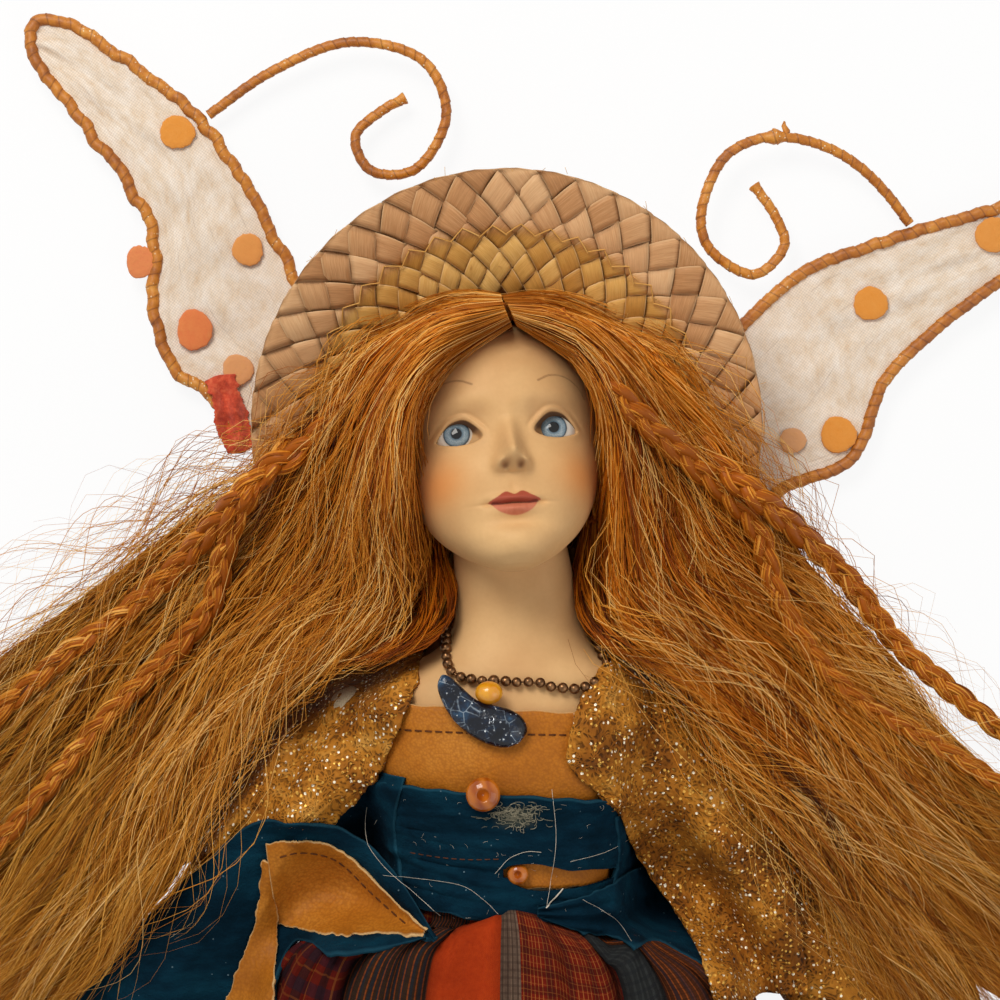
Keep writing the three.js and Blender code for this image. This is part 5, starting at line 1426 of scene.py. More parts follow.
# %% Cap, nape and loose hairs
HAIRLINE = [[1, 31], [-8, 27.5], [-15, 20], [-21.5, 10], [-26, -2], [-27, -45], [27, -45], [27, -2],
    [24, 10], [17, 20], [9, 27.5]]
rows, sides = linspace(-18, 36.5, 60), 140
turn = full_turn(sides)
Y, A = np.meshgrid(rows, turn, indexing="ij")
X, Z = plain_head(Y, A, 3.4)
edge = apart(stack([X.ravel(), Y.ravel()], 1), HAIRLINE, True)
cap_faces = [face for face in grid_faces(60, sides, True) if np.mean(edge[face]) >= 0.5
    or np.mean(Z.ravel()[face]) <= -4]
cap = mesh_of("hair_cap", from_head(dstack([X, Y * 1.08, Z])), cap_faces, mass_hair,
    across=(A + 0.35 * Y / 36) % (2 * pi) / 3.2, along=(Y + 18) / 60, gold=0.05)
modified(cap, "SOLIDIFY", thickness=0.0018, offset=1)
worn(cap, "torso", "hair", "hair_crown")
for name, side in SIDES.items():
    nape = patch([[[side * x + (3.0 if side > 0 else 0), y, z] for x, y, z in guide]
        for guide in NAPE_GUIDES], 9, 41)
    points, thick, tint, along = hair_lines(nape, 250, 40 + side, 14, (-2, 1.6), 0.5, 0.14, 11,
        length=75)
    # The nape strands are painted darker, as shade under the head.
    strands = swept("nape_strands_" + name, points, thick, strand_hair, tint=clip(tint - 0.22, 0, 1),
        gold=0.12)
    worn(strands, "torso", "hair")
    sheet = hair_sheets[name]
    for n, (edge, lift) in enumerate((((-0.2, 0.04), (-1, 5)), ((0.96, 1.1), (0.5, 4)),
            ((0.02, 0.98), (2.5, 7)))):
        points, thick, tint, along = hair_lines(sheet, (90, 40, 190)[n], 60 + n + side, 60, lift,
            (2.6, 2.2, 2.4)[n], 0.085, 24, (0.5, 1.0), edge)
        strands = swept("loose_hairs_%s_%d" % (name, n + 1), points, thick, strand_hair,
            tint=clip(tint + 0.15, 0, 1), gold=clip(0.35 + 0.5 * along, 0, 1))
        follows_arm(strands, name, "hair")
print("cap and loose hairs made")

# %% [markdown]
# Four thin plaits lie on the loose hair. In a plait three strands swing from side to side a third of a
# turn apart, and each rises and dips twice in that time, so that it passes over one neighbour and under
# the other. Each strand is a core wrapped in fine hairs.

# %% Plaits
BRAID_PATHS = {
    "left": [
        [[-38, 118], [-45, 110.5], [-54, 101], [-64, 95.5], [-72, 84], [-76.6, 72.2], [-80, 60],
            [-88.5, 49], [-107.3, 31], [-128.7, 6], [-151.4, -18.9]],
        [[-58, 104], [-63.8, 96.1], [-76.5, 83.1], [-98.9, 61.6], [-123.7, 43.5], [-147.5, 21.9],
            [-166.3, -1]]],
    "right": [
        [[13, 136.5], [20, 127], [27, 116.6], [36, 108], [49, 97.6], [60, 88.6], [67.6, 79], [71, 68],
            [76.1, 56.1], [93.1, 35.6], [116.8, 21.3], [147.1, 2.9]],
        [[50, 106], [57.4, 96.1], [75.4, 82], [92, 68], [108, 48], [122, 36], [142, 20], [160, 4]]]}
rng = np.random.default_rng(21)
for name, side in SIDES.items():
    on = cad_tree(*BODY)
    laid = cad_tree("braid_%s_1" % name, "braid_%s_2" % name)
    for n, path in enumerate(BRAID_PATHS[name]):
        steps = 120
        flat = line(path, steps)
        share = linspace(0, 1, steps)
        radius = mixed(3.7, 2.7, share) * (0.62 + 0.38 * ease(share, 0, 0.12))
        rest = heights(on, flat, 2) + 1.9
        high = maximum(heights(laid, flat, 0) - 2.2, rest)
        high = np.convolve(np.pad(high, 8, mode="edge"), np.ones(17) / 17, "valid")
        centre = column_stack([flat, high + 0.6])
        ahead = np.gradient(flat, axis=0)
        ahead /= np.linalg.norm(ahead, axis=1, keepdims=True)
        aside = column_stack([-ahead[:, 1], ahead[:, 0], np.zeros(steps)])
        run = run_along(flat)
        swing = 2 * pi * run / 23
        cores, hairs, tints = [], [], []
        for k in range(3):
            phase = swing + 2 * pi * k / 3
            core = centre + aside * (0.52 * radius * sin(phase))[:, None]
            core[:, 2] += 0.36 * radius * sin(2 * phase)
            cores.append(core)
            for i in range(9):
                angle = 2 * pi * i / 9 + run * 0.09 + rng.normal(0, 0.12)
                out = radius * 0.47 * rng.uniform(0.86, 1.12)
                hair = core + aside * (out * cos(angle))[:, None]
                hair[:, 2] += out * sin(angle) * 0.9
                hairs.append(hair)
                tints.append(clip(rng.normal(0.5, 0.2), 0, 1))
        body = swept("plait_%s_%d" % (name, n + 1), cores, (radius * 0.46)[None, :], strand_hair, 8,
            tint=0.3, gold=0.4)
        wisps = swept("plait_hairs_%s_%d" % (name, n + 1), hairs, rng.uniform(0.28, 0.5, (27, 1)),
            strand_hair, 3, tint=array(tints)[:, None], gold=(0.35 + 0.5 * share)[None, :])
        start = rng.integers(3, steps - 12, 90)
        away = []
        for s in start:
            t = linspace(0, 1, 7)
            way = rng.normal(0, 0.8, 3) + [0, 0, 0.5]
            spot = centre[s] + aside[s] * rng.uniform(-1, 1) * radius[s] * 0.8 + [0, 0, radius[s] * 0.5]
            goes = np.append(ahead[s], 0) * rng.uniform(3, 8)
            away.append(spot + t[:, None] * goes + (t ** 2)[:, None] * way * rng.uniform(1, 3.4))
        loose = swept("plait_loose_%s_%d" % (name, n + 1), away, 0.06, strand_hair, 3, tint=0.8, gold=0.5)
        whole = joined("plait_%s_%d" % (name, n + 1), body, wisps, loose)
        follows_arm(whole, name, "hair", "braid_%s_%d" % (name, n + 1))
        print("plait", name, n + 1, "of", round(float(run[-1])), "mm")

# %% [markdown]
# The necklace is a thread of dark bronze beads. A yellow bead sits on it, and a glazed crescent hangs
# from that by a silver wire. An amber button and a small glassy bead are sewn to the clothes.

# %% Glazes and metals
def plain_finish(name, low, high, scale, rough, **settings):
    """A finish of two tones mixed by noise."""
    material, tree, shader, place = finish_of(name)
    cloud = noise(tree, place["Object"], scale, 4)
    mixed_tone = blended(tree, ramp(tree, cloud, [(0.3, 0), (0.7, 1)]), low, high)
    feed(tree, shader, Base_Color=mixed_tone, Roughness=times(tree, cloud, 0.16, rough - 0.08), **settings)
    return material, tree, shader, place, cloud


bronze, tree, shader, place, cloud = plain_finish("strand_beads", "3A2416", "8A6440", 900, 0.3,
    Metallic=0.85)
bumped(tree, shader, cloud, 0.05, 0.5)
yellow, tree, shader, place, cloud = plain_finish("yellow_bead", "D27F0C", "F0A41E", 260, 0.2,
    Coat_Weight=0.2, Subsurface_Weight=0.1)
amber, tree, shader, place, cloud = plain_finish("amber", "7E3208", "D07A22", 180, 0.12, Coat_Weight=0.2,
    Specular_IOR_Level=0.3)
swirl = put(tree, "TexWave", {"Vector": place["Object"], "Scale": 90.0, "Distortion": 9.0,
    "Detail": 2.0}).outputs["Fac"]
feed(tree, shader, Base_Color=overlaid(tree, blended(tree, cloud, "7A3004", "B45A10"), "D67E22", swirl, 0.6))
silver, tree, shader, place, cloud = plain_finish("silver_wire", "B8BCC2", "E6E9EE", 500, 0.25, Metallic=1.0)
glaze, tree, shader, place = finish_of("crescent_glaze")
cracks = cells(tree, place["Object"], 330, feature="DISTANCE_TO_EDGE")["Distance"]
cloud = noise(tree, place["Object"], 230, 5, 0.65)
tone = ramp(tree, cloud, [(0.3, "02040A"), (0.47, "060E1E"), (0.58, "10263F"), (0.7, "2C5170")])
veins = times(tree, ramp(tree, cracks, [(0, 1), (0.05, 0)]), ramp(tree, cloud, [(0.45, 0), (0.6, 1)]))
# Near-white spots are painted highlights on the glaze.
highlight_cells = cells(tree, place["Object"], 620)["Distance"]
painted_highlight_spots = times(tree, reckon(tree, "LESS_THAN", highlight_cells, 0.16), ramp(tree, cloud, [(0.4, 0), (0.55, 1)]))
tone = overlaid(tree, tone, "AEBECB", veins, 0.75)
tone = blended(tree, painted_highlight_spots, tone, "DCE4EA")
feed(tree, shader, Base_Color=tone, Roughness=0.12, Coat_Weight=0.1, Coat_Roughness=0.03,
    Specular_IOR_Level=0.3)
bumped(tree, shader, cloud, 0.5, 0.8)

# %% [markdown]
# The beads follow the neck at an even pitch, each turned its own way. One pattern bead is set on all the
# points by Geometry Nodes, and the thread through them is measured as it is made.

# %% The strand
STRAND_ROWS = [[-90, 58], [-40, 57], [0, 54], [32, 46], [53, 41], [69, 38.4], [82, 40], [97, 40.6],
    [108, 41.2], [131, 46], [180, 55], [220, 57.5], [270, 58]]
degrees = -90 + arange(60) * 6.0
strand = line(skin(between(STRAND_ROWS, degrees)[:, 0], np.radians(degrees), 1.9), 700, closed=True)
length = np.linalg.norm(np.diff(strand, axis=0), axis=1).sum()
count = int(length // 3.0)
picks = (arange(count) + 0.5) / count * 699
at = stack([interp(picks, arange(700), strand[:, k]) for k in range(3)], 1)
rng = np.random.default_rng(2)
at += rng.normal(0, 0.12, at.shape) * [1, 1, 0.5]
pattern = ball_mesh("bead_pattern", (0, 0, 0), 1, None, 20, 14)
beads = set_out("bronze_beads", pattern, at, rng.uniform(0, 3, (count, 3)),
    rng.normal(1.42, 0.05, (count, 1)), bronze)
bpy.data.objects.remove(pattern)
worn(beads, "torso", "strand_beads", "necklace")
thread = swept("bead_thread", strand[None, :-8:4], 0.3, bronze, 6)
worn(thread, "torso", "strand_beads")
path = strand[:-8:4] * MM
run = float(np.linalg.norm(np.diff(path, axis=0), axis=1).sum())
print("strand:", count, "beads on", round(run * 1000), "mm of thread")


def level_of(node):
    """The height of a CAD node's middle, in millimetres."""
    low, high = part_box(node)
    return (low[2] + high[2]) / 2 * 1000


def pierced(name, centre, radius, material, hole, stretch=(1, 1, 1)):
    """A turned bead with a sunk hole seen from above."""
    t = linspace(0.02, pi - 0.02, 40)
    profile = stack([sin(t), cos(t)], 1)
    dip = hole / radius
    inner = profile[:, 0] < dip * 1.5
    sunk = 0.75 * clip(1 - profile[:, 0] / (dip * 1.5), 0, None) ** 0.5
    profile[:, 1] -= np.sign(profile[:, 1]) * np.where(inner, sunk, 0)
    turn = full_turn(56)
    wide, high = profile[:, :1], profile[:, 1:]
    points = stack([wide * cos(turn), wide * sin(turn), high + 0 * turn], -1)
    return closed_form(name, points * radius * array(stretch) + centre, material)


yellow_at = array([-4.7, 37.7, 57.43])
worn(ball_mesh("amber_yellow_bead", yellow_at, 3.55, yellow, 56, 40, (1.02, 0.86, 0.95)), "torso",
    "yellow_bead", "yellow_bead")
for name, node, x, y, rise, radius, hole in (("amber_button", "amber_bead", -6.2, 11.3, 0, 4.5, 1.1),
        ("glassy_bead", "glass_bead", 2.9, -10.4, 0.5, 2.8, 0.7)):
    bead = pierced(name, [x, y, level_of(node) + rise], radius, amber, hole, (1, 1, 0.62))
    worn(bead, "torso", "amber", node)

# %% [markdown]
# The crescent is glazed clay, thick and blunt. Its section is an ellipse that runs between two curves
# and shrinks to a round at both tips.

# %% The crescent and its wire
level = level_of("pendant")
back = line([[-16.8, 42.4], [-16.2, 38], [-12.5, 31.5], [-7.2, 27.2], [-1.2, 25.3], [4.9, 27.0]], 90)
belly = line([[-16.8, 42.4], [-13.2, 38.4], [-8.6, 34.4], [-3.2, 32.6], [2.0, 31.2], [5.6, 28.8]], 90)
middle = (back + belly) / 2
run = run_along(middle)
size = np.linalg.norm(belly - back, axis=1) * 0.54 + 1.5
blunt = np.sqrt(1 - (1 - clip(minimum(run, run[-1] - run) / 2.4, 0.02, 1)) ** 2)
lead = np.gradient(middle, axis=0)
half = stack([-lead[:, 1], lead[:, 0]], 1) / np.linalg.norm(lead, axis=1, keepdims=True)
half *= (size * blunt)[:, None]
turn = full_turn(28)
thick = np.linalg.norm(half, axis=1)[:, None] * 0.6 + 0.1
flat = middle[:, None] + half[:, None] * cos(turn)[:, None]
points = dstack([flat, level + thick * sin(turn)])
crescent = closed_form("glazed_crescent", points, glaze)
worn(crescent, "pendant", "crescent_glaze", "pendant")
loops = []
for x, size in ((-5.2, 1.0), (-4.1, 0.8)):
    t = linspace(0, 2 * pi, 26)
    x = x + 0.6 * sin(t) * size + 1.9 * cos(t) * 0.35
    loops.append(stack([x, 29.9 + 3.5 * cos(t), level + 2.9 * sin(t)], 1))
t = linspace(0, 1, 26)[:, None]
loops.append(array([[-4.9, 33.2, level + 1.2]]) * (1 - t) + array([[-4.7, 34.6, 57.6]]) * t)
worn(swept("silver_loops", loops, 0.26, silver, 8), "pendant", "crescent_glaze")
print("crescent", round(level, 1), "mm over the table")

# %% [markdown]
# The clothes are cut from suede, leather and a knit with gold thread. Pieces that wrap the body follow
# its table, a little further out for each layer. Loose pieces are patches between their own cut edges,
# laid on whatever is under them and then pushed up into folds. No cloth solver was needed: the folds in
# the photograph are few and large, and each is placed one by one.

# %% Suede, leather and lining
suede, tree, shader, place = finish_of("suede")
spot = place["Object"]
nap = noise(tree, spot, 1500, 3, 0.7)
stroke = noise(tree, spot, 75, 6, 0.68, stretch=(0.4, 1, 1))
blue = ramp(tree, stroke, [(0.3, "030E16"), (0.48, "082434"), (0.64, "0E384A"), (0.82, "1C5066")])
blue = overlaid(tree, blue, "0A2634", nap, 0.45)
lint = cells(tree, spot, 260)["Distance"]
blue = overlaid(tree, blue, "7C98A4", reckon(tree, "LESS_THAN", lint, 0.06), 0.5)
blue = overlaid(tree, blue, "2F6074", ramp(tree, attribute(tree, "edge"), [(0, 1), (0.5, 0)]), 0.35)
blue = blended(tree, attribute(tree, "torn"), blue, "4E544C")
uncut = put(tree, "MapRange", {"Value": attribute(tree, "slit"), "From Min": -0.06, "From Max": 0.06})
feed(tree, shader, Base_Color=blue, Roughness=0.95, Specular_IOR_Level=0.04, Alpha=uncut.outputs[0])
bumped(tree, shader, times(tree, stroke, 3.0, nap), 0.45, 0.9)


def hide(name, dark, mid, light, grain_scale):
    """Leather: a soft cloud of tone under a fine pebble grain."""
    material, tree, shader, place = finish_of(name)
    cloud = noise(tree, place["Object"], 40, 4)
    pebble = cells(tree, place["Object"], grain_scale)["Distance"]
    tone = ramp(tree, cloud, [(0.25, dark), (0.5, mid), (0.75, light)])
    tone = overlaid(tree, tone, dark, ramp(tree, pebble, [(0.3, 0), (0.75, 1)]), 0.4)
    rim = ramp(tree, attribute(tree, "edge"), [(0, 1), (0.35, 0)])
    tone = overlaid(tree, tone, "E4C48E", rim, 0.65)
    feed(tree, shader, Base_Color=tone, Roughness=times(tree, cloud, 0.15, 0.5), Specular_IOR_Level=0.2)
    bumped(tree, shader, times(tree, pebble, -1.0), 0.14, 0.8)
    return material


leather = hide("leather", "8E4E12", "BA701C", "D08A34", 1350)
lining = hide("lining", "8A4C0E", "B8701C", "D08C34", 1150)
thread_brown, tree, shader, place, cloud = plain_finish("stitch_thread", "3E1F0C", "6A3A16", 600, 0.7,
    Specular_IOR_Level=0.2)
thread_pale, tree, shader, place, cloud = plain_finish("pale_thread", "B9AE9C", "E8DFD0", 600, 0.7)

# %% [markdown]
# A fine knit is all loops and holes. Cells in space, pulled about by noise, stand for the loops, and
# their middles are painted dark as the shade in the holes. Some carry the gold of a metallic yarn, and
# the brightest of those are painted glints.

# %% The knit with gold thread
knit, tree, shader, place = finish_of("lurex_knit")
spot = place["Object"]
drift = put(tree, "TexNoise", {"Vector": spot, "Scale": 120.0}).outputs["Color"]
warped = put(tree, "MixRGB", {0: 0.012, 1: spot, 2: drift}, blend_type="ADD").outputs[0]
loops = cells(tree, warped, 620, feature="DISTANCE_TO_EDGE")["Distance"]
cloud = noise(tree, spot, 70, 5, 0.6)
yarn = ramp(tree, cloud, [(0.3, "60340A"), (0.45, "925612"), (0.6, "BE7C26"), (0.78, "DCA450")])
# The holes are painted dark brown, as the shade inside them.
holes = ramp(tree, loops, [(0.14, 0), (0.34, 1)])
yarn = overlaid(tree, yarn, "2A1405", holes, ramp(tree, cloud, [(0.35, 0.8), (0.7, 0.2)]))
speck = cells(tree, spot, 900)
luck = put(tree, "SeparateColor", {"Color": speck["Color"]}).outputs
spark = times(tree, reckon(tree, "LESS_THAN", speck["Distance"], 0.36),
    reckon(tree, "GREATER_THAN", luck[0], 0.58))
# The brightest specks are painted glints of the metallic yarn.
painted_glint = times(tree, spark, reckon(tree, "GREATER_THAN", luck[1], 0.66))
yarn = overlaid(tree, yarn, "F2BE58", spark, 0.75)
yarn = blended(tree, painted_glint, yarn, "FFF6DC")
feed(tree, shader, Base_Color=yarn, Roughness=times(tree, spark, -0.4, 0.75),
    Metallic=times(tree, spark, 0.3), Specular_IOR_Level=0.2)
bumped(tree, shader, times(tree, holes, -1.0, cloud), 0.7, 0.9)

# %% [markdown]
# Top and bodice are bands around the body between two slanting edges. Their wrinkles push the band
# outwards, and the slit is left out of its faces, with the last soft edge cut by the finish.

# %% Pieces that wrap the body
def wrapped(name, material, high, low, out, thick, rows=42, columns=160, relief=None, slit=None, torn=None):
    """A garment around the body between two slanted edges, each a height and a slope."""
    turn = full_turn(columns)
    share = linspace(0, 1, rows)[:, None]
    y = mixed(high[0] - high[1] * cos(turn), low[0] - low[1] * cos(turn), share)
    y = y + 0.22 * sin(turn * 23) * (share < 0.02) - 0.3 * sin(turn * 17 + 1) * (share > 0.98)
    points = skin(y, np.broadcast_to(turn, y.shape), out)
    front = points[..., 2] > 30
    if relief is not None:
        push = relief(points[..., 0], points[..., 1], front)
        points = skin(y, np.broadcast_to(turn, y.shape), out + push)
    points[..., 2] = maximum(points[..., 2], thick + 0.05)
    flat = points.reshape(-1, 3)
    edge = minimum(share, 1 - share) * np.abs(high[0] - low[0]) + 0 * turn
    cut = np.full(len(flat), 5.0)
    if slit is not None:
        where = front.ravel()
        cut[where] = apart(flat[where, :2], slit, True)
    faces = [f for f in grid_faces(rows, columns, True) if min(cut[k] for k in f) > -0.8]
    frayed = 0 if torn is None else torn(flat) * front.ravel()
    made = mesh_of(name, flat, [f[::-1] for f in faces], material, edge=edge, slit=cut, torn=frayed)
    return modified(made, "SOLIDIFY", thickness=thick * MM, offset=-1)


def top_folds(x, y, front):
    """The turned-down hem along the upper edge, and slight drag lines."""
    hem = 0.35 * ease(y, 27.4, 28.0)
    drag = 0.3 * sin(x * 0.35 + y * 0.5) * bell(y, 4, 9)
    return np.where(front, hem + drag, hem)


leather_top = wrapped("leather_bodice", leather, (33, 2), (-14.6, 0), 1.45, 0.9, relief=top_folds)
worn(leather_top, "torso", "leather", "leather_top")

SLIT = line([[-0.9, -8.6], [3.5, -7.4], [12, -8.2], [22, -9.9], [34.5, -10.9], [27, -13], [14, -15],
    [5, -14.4], [0.5, -11.8]], 80, closed=True)


def bodice_folds(x, y, front):
    """Two wraps of suede, the upper over the lower, both creased where they are pulled tight."""
    lap = 0.95 * ease(y - (-8.6 - 0.05 * x + 0.0016 * x ** 2), -0.3, 0.5)
    creases = 0
    for place, slope, bend, wide, high in ((-3.0, -0.12, 0.001, 0.7, 0.55), (2.2, -0.05, -0.001, 1.1, 0.5),
            (-13.5, -0.22, 0.002, 1.0, 0.9), (-17.6, -0.16, 0.001, 0.8, 0.8), (-20.5, 0.12, 0.0, 0.9, 0.7),
            (6.3, 0.03, 0.001, 0.6, 0.4)):
        creases = creases + high * exp(-((y - place - slope * x - bend * x ** 2) / wide) ** 2)
    shallow = 0.18 * sin(0.9 * y + 0.4 * x) * sin(0.23 * x)
    return np.where(front, lap + creases * ease(np.abs(x - 6), 1, 12) + shallow, 0.2)


def torn_place(flat):
    """1 where the suede is torn above its middle, and 0 elsewhere."""
    return 0.9 * exp(-((flat[:, 0] - 2.2) / 4.4) ** 4 - ((flat[:, 1] - 5.2) / 2.4) ** 4)


bodice = wrapped("suede_bodice", suede, (11, 3), (-23, 4), 3.3, 1.2, 68, 210, bodice_folds, SLIT, torn_place)
worn(bodice, "torso", "suede", "navy_bodice")
print("bodice faces:", len(bodice.data.polygons))

# %% [markdown]
# A loose piece is dropped on the doll. Its heights rest on what is below and bridge the hollows, as
# cloth does, and a rule of its own adds the folds.

# %% Loose pieces
def laid_patch(name, guides, material, search, rows, columns, thick, lift=0.4, rise=None, rounds=4,
        missing=1.0, ragged=0.25, soften=2, seed=1):
    """A sheet between its cut edges, lying on a search tree."""
    rng = np.random.default_rng(seed)
    flat = patch(guides, rows, columns)
    across, along = np.meshgrid(linspace(0, 1, rows), linspace(0, 1, columns), indexing="ij")
    step = np.gradient(flat, axis=0)
    wide = np.linalg.norm(np.diff(flat, axis=0), axis=2).sum(0)
    long = np.linalg.norm(np.diff(flat, axis=1), axis=2).sum(1)
    wander = np.convolve(rng.normal(0, 1, columns + 8), np.ones(3) / 3, "same")[:columns] * ragged
    unit = step / maximum(np.linalg.norm(step, axis=2, keepdims=True), 1e-6)
    flat = flat + unit * (wander * (exp(-across * 12) - exp(-(1 - across) * 12)))[..., None]
    few = flat[::5, ::5]
    rest = settled(heights(search, few.reshape(-1, 2), missing).reshape(few.shape[:2]), rounds)
    own = heights(search, flat.reshape(-1, 2), missing).reshape(rows, columns)
    spanned = sampled(rest[..., None], across * (rows - 1) / 5 / (len(rest) - 1),
        along * (columns - 1) / 5 / (rest.shape[1] - 1))
    z = softened(maximum(spanned[..., 0], own), soften) + lift + thick
    if rise is not None:
        z = z + rise(across, along)
    edge = minimum(minimum(across, 1 - across) * wide[None, :], minimum(along, 1 - along) * long[:, None])
    made = mesh_of(name, dstack([flat, z]), grid_faces(rows, columns), material, across=across, along=along,
        edge=edge, slit=5, torn=0)
    if made.data.polygons[0].normal.z < 0:
        made.data.flip_normals()
    return modified(made, "SOLIDIFY", thickness=thick * MM, offset=-1)


def stitches(name, path, search, pitch=2.7, length=1.75, radius=0.24):
    """A row of stitches along a line, each end sunk into the leather."""
    run = run_along(path)
    starts = arange(0.5, run[-1] - length, pitch)
    lines = []
    for start in starts:
        at = start + linspace(0, length, 7)
        xy = stack([interp(at, run, path[:, k]) for k in (0, 1)], 1)
        z = heights(search, xy, np.nan)
        if np.isfinite(z).all():
            lines.append(column_stack([xy, z + 0.22 * sin(linspace(0, pi, 7)) - 0.02]))
    return swept(name, lines, radius, thread_brown, 6)


clothes = [head, leather_top, bodice]


def worn_so_far():
    """A search tree of what the doll wears already, and of its body."""
    return tree_of(*clothes, *(bpy.data.objects[n] for n in ("torso_body", "upper_arm_left",
        "upper_arm_right", "forearm_left", "forearm_right", "thigh_left", "thigh_right")))

# %% [markdown]
# Each sleeve is a wide tube of the same knit, open at the cuff.

# %% Sleeves
ARM = {"shoulder": [41, 29, 27], "elbow": [76, -21, 17.5], "wrist": [103, -63, 8.5], "tip": [117, -86, 4.2]}


def sided(points, side):
    """Points of the right side, mirrored for the left one."""
    return asarray(points, float) * [side, 1, 1]


def pipe(name, path, size, material, rows=60, columns=64, crease=None, ends=True, **values):
    """A tube along a path with its own width and height at each share, closed at its ends if asked."""
    path = line(path, rows)
    t = linspace(0, 1, rows)
    size = asarray(size, float)
    sizes = stack([interp(t, size[:, 0], size[:, k]) for k in (1, 2)], 1)
    along = np.gradient(path, axis=0)
    along /= np.linalg.norm(along, axis=1, keepdims=True)
    across = stack([-along[:, 1], along[:, 0], 0 * t], 1)
    across /= np.linalg.norm(across, axis=1, keepdims=True)
    turn = full_turn(columns)
    out = 0 if crease is None else crease(t[:, None], turn[None, :])
    wide, high = sizes[:, :1] + out, sizes[:, 1:2] + out
    points = (path[:, None] + across[:, None] * (wide * cos(turn))[..., None]
        + array([0, 0, 1]) * (high * sin(turn))[..., None])
    values["run"] = np.repeat(t, columns)
    if ends:
        return closed_form(name, points, material, **values)
    return mesh_of(name, points, grid_faces(rows, columns, True), material, **values)


def sleeve_creases(t, a):
    """Fine ribs and soft creases, and one deeper fold where the elbow bends."""
    return (0.7 * sin(5 * a + 9 * t) - 0.35 + 0.25 * sin(13 * a - 20 * t) + 0.12 * sin(60 * a)
        - 0.9 * bell(t, 0.42, 0.05) * (1 + cos(a + 1)) * 0.5)


for name, side in SIDES.items():
    path = sided([[50, 16.5, 26.5], [76, -21, 18.0], [104, -66, 10.4]], side)
    sleeve = pipe("knit_sleeve_" + name, path, [[0, 12.4, 11.9], [0.5, 13.9, 11.9], [1, 16.4, 8.1]], knit,
        90, 96, sleeve_creases, False, edge=5, slit=5)
    for v in sleeve.data.vertices:
        v.co.z = max(v.co.z, 0.0004)
    if sum((p.center - Vector(path[1] * MM)).dot(p.normal) for p in sleeve.data.polygons) < 0:
        sleeve.data.flip_normals()
    sleeve = modified(sleeve, "SOLIDIFY", thickness=1.2 * MM, offset=-1)
    worn(sleeve, name + "_arm", "lurex_knit", "sleeve_" + name)
    clothes.append(sleeve)

# %% [markdown]
# The skirt is pieced from several old fabrics: dark red plaid, brown and blue stripes, plain orange-red
# and a fine red plaid. Seen across its front, each fabric fills its own panel. The panels are sewn to
# one hem and gathered at the waist, so the cloth puffs out just under the bodice.

# %% The skirt's fabrics
plaid, tree, shader, place = finish_of("skirt_fabrics")
split = put(tree, "SeparateXYZ", {"Vector": put(tree, "UVMap").outputs[0]}).outputs
u, v = split["X"], split["Y"]


def stripes(tree, place, pitch, wide, shift=0.0):
    """1 on stripes of a width, each pitch apart, and 0 between."""
    phase = reckon(tree, "FRACT", times(tree, place, 1 / pitch, shift))
    return reckon(tree, "LESS_THAN", phase, wide / pitch)


def tartan(tree, ground, bands):
    """Lines in both directions over a ground colour."""
    made = ground
    for axis, pitch, wide, shift, colour, strength in bands:
        made = overlaid(tree, made, colour, stripes(tree, axis, pitch, wide, shift), strength)
    return made


# Each fabric: where its panel starts, its ground, and its bands (axis, pitch, width, shift, colour, share)
fabrics = [
    (-99.0, tartan(tree, "6E1A0C", [(u, 9, 3.6, 0, "1E1618", 0.7), (v, 9, 3.6, 0, "231A2A", 0.6),
        (u, 9, 0.6, 0.4, "A8642C", 0.5), (v, 9, 0.6, 0.4, "A8642C", 0.35)])),
    (-41.0, tartan(tree, "3E2E20", [(u, 3.1, 1.3, 0, "24303A", 0.75), (u, 2.3, 0.5, 0.3, "B25A22", 0.7),
        (v, 1.7, 0.5, 0, "30242A", 0.3)])),
    (-20.0, blended(tree, noise(tree, place["Object"], 60, 4), "B83A0E", "DC5A1E")),
    (-1.8, tartan(tree, "7C6A5C", [(u, 1.9, 0.7, 0, "453830", 0.6), (u, 3, 0.5, 0.5, "A08A76", 0.5),
        (v, 2.1, 0.7, 0, "4E4038", 0.4)])),
    (3.5, tartan(tree, "8A2412", [(u, 1.5, 0.24, 0, "DFA050", 0.6), (v, 5.2, 2.2, 0, "3A1A14", 0.4),
        (u, 8.8, 2.6, 0.3, "3A1A1A", 0.45), (v, 1.9, 0.25, 0.5, "C8783A", 0.35)])),
    (29.8, tartan(tree, "2E3436", [(u, 2.2, 0.8, 0, "4C5456", 0.4), (v, 3, 1.0, 0, "23282E", 0.5)])),
    (40.3, tartan(tree, "5C3218", [(u, 2.0, 0.5, 0, "B8632A", 0.7), (u, 4.8, 1.6, 0.6, "2A2E3C", 0.6),
        (v, 1.6, 0.4, 0, "3A2418", 0.4)])),
    (62.0, tartan(tree, "6E2010", [(u, 7, 2.2, 0, "2A2028", 0.7), (v, 7, 2.2, 0, "2A2028", 0.6)]))]
cloth = fabrics[0][1]
for start, fabric in fabrics[1:]:
    cloth = blended(tree, reckon(tree, "GREATER_THAN", attribute(tree, "panel"), start), cloth, fabric)
slub = noise(tree, place["Object"], 700, 4, 0.75)
cloth = blended(tree, times(tree, slub, 0.75), cloth, "5A3428", "OVERLAY")
weave = times(tree, reckon(tree, "SINE", times(tree, u, 12.0)), reckon(tree, "SINE", times(tree, v, 12.0)))
worn_tone = noise(tree, place["Object"], 55, 5)
cloth = blended(tree, times(tree, worn_tone, 0.35), cloth, "C8A88C", "SOFT_LIGHT")
# The creases are painted dark, as the shade inside them.
cloth = overlaid(tree, cloth, "140A0A", attribute(tree, "fold"), 0.5)
feed(tree, shader, Base_Color=cloth, Roughness=0.85, Specular_IOR_Level=0.12)
bumped(tree, shader, times(tree, worn_tone, 1.2, weave), 0.12, 0.8)

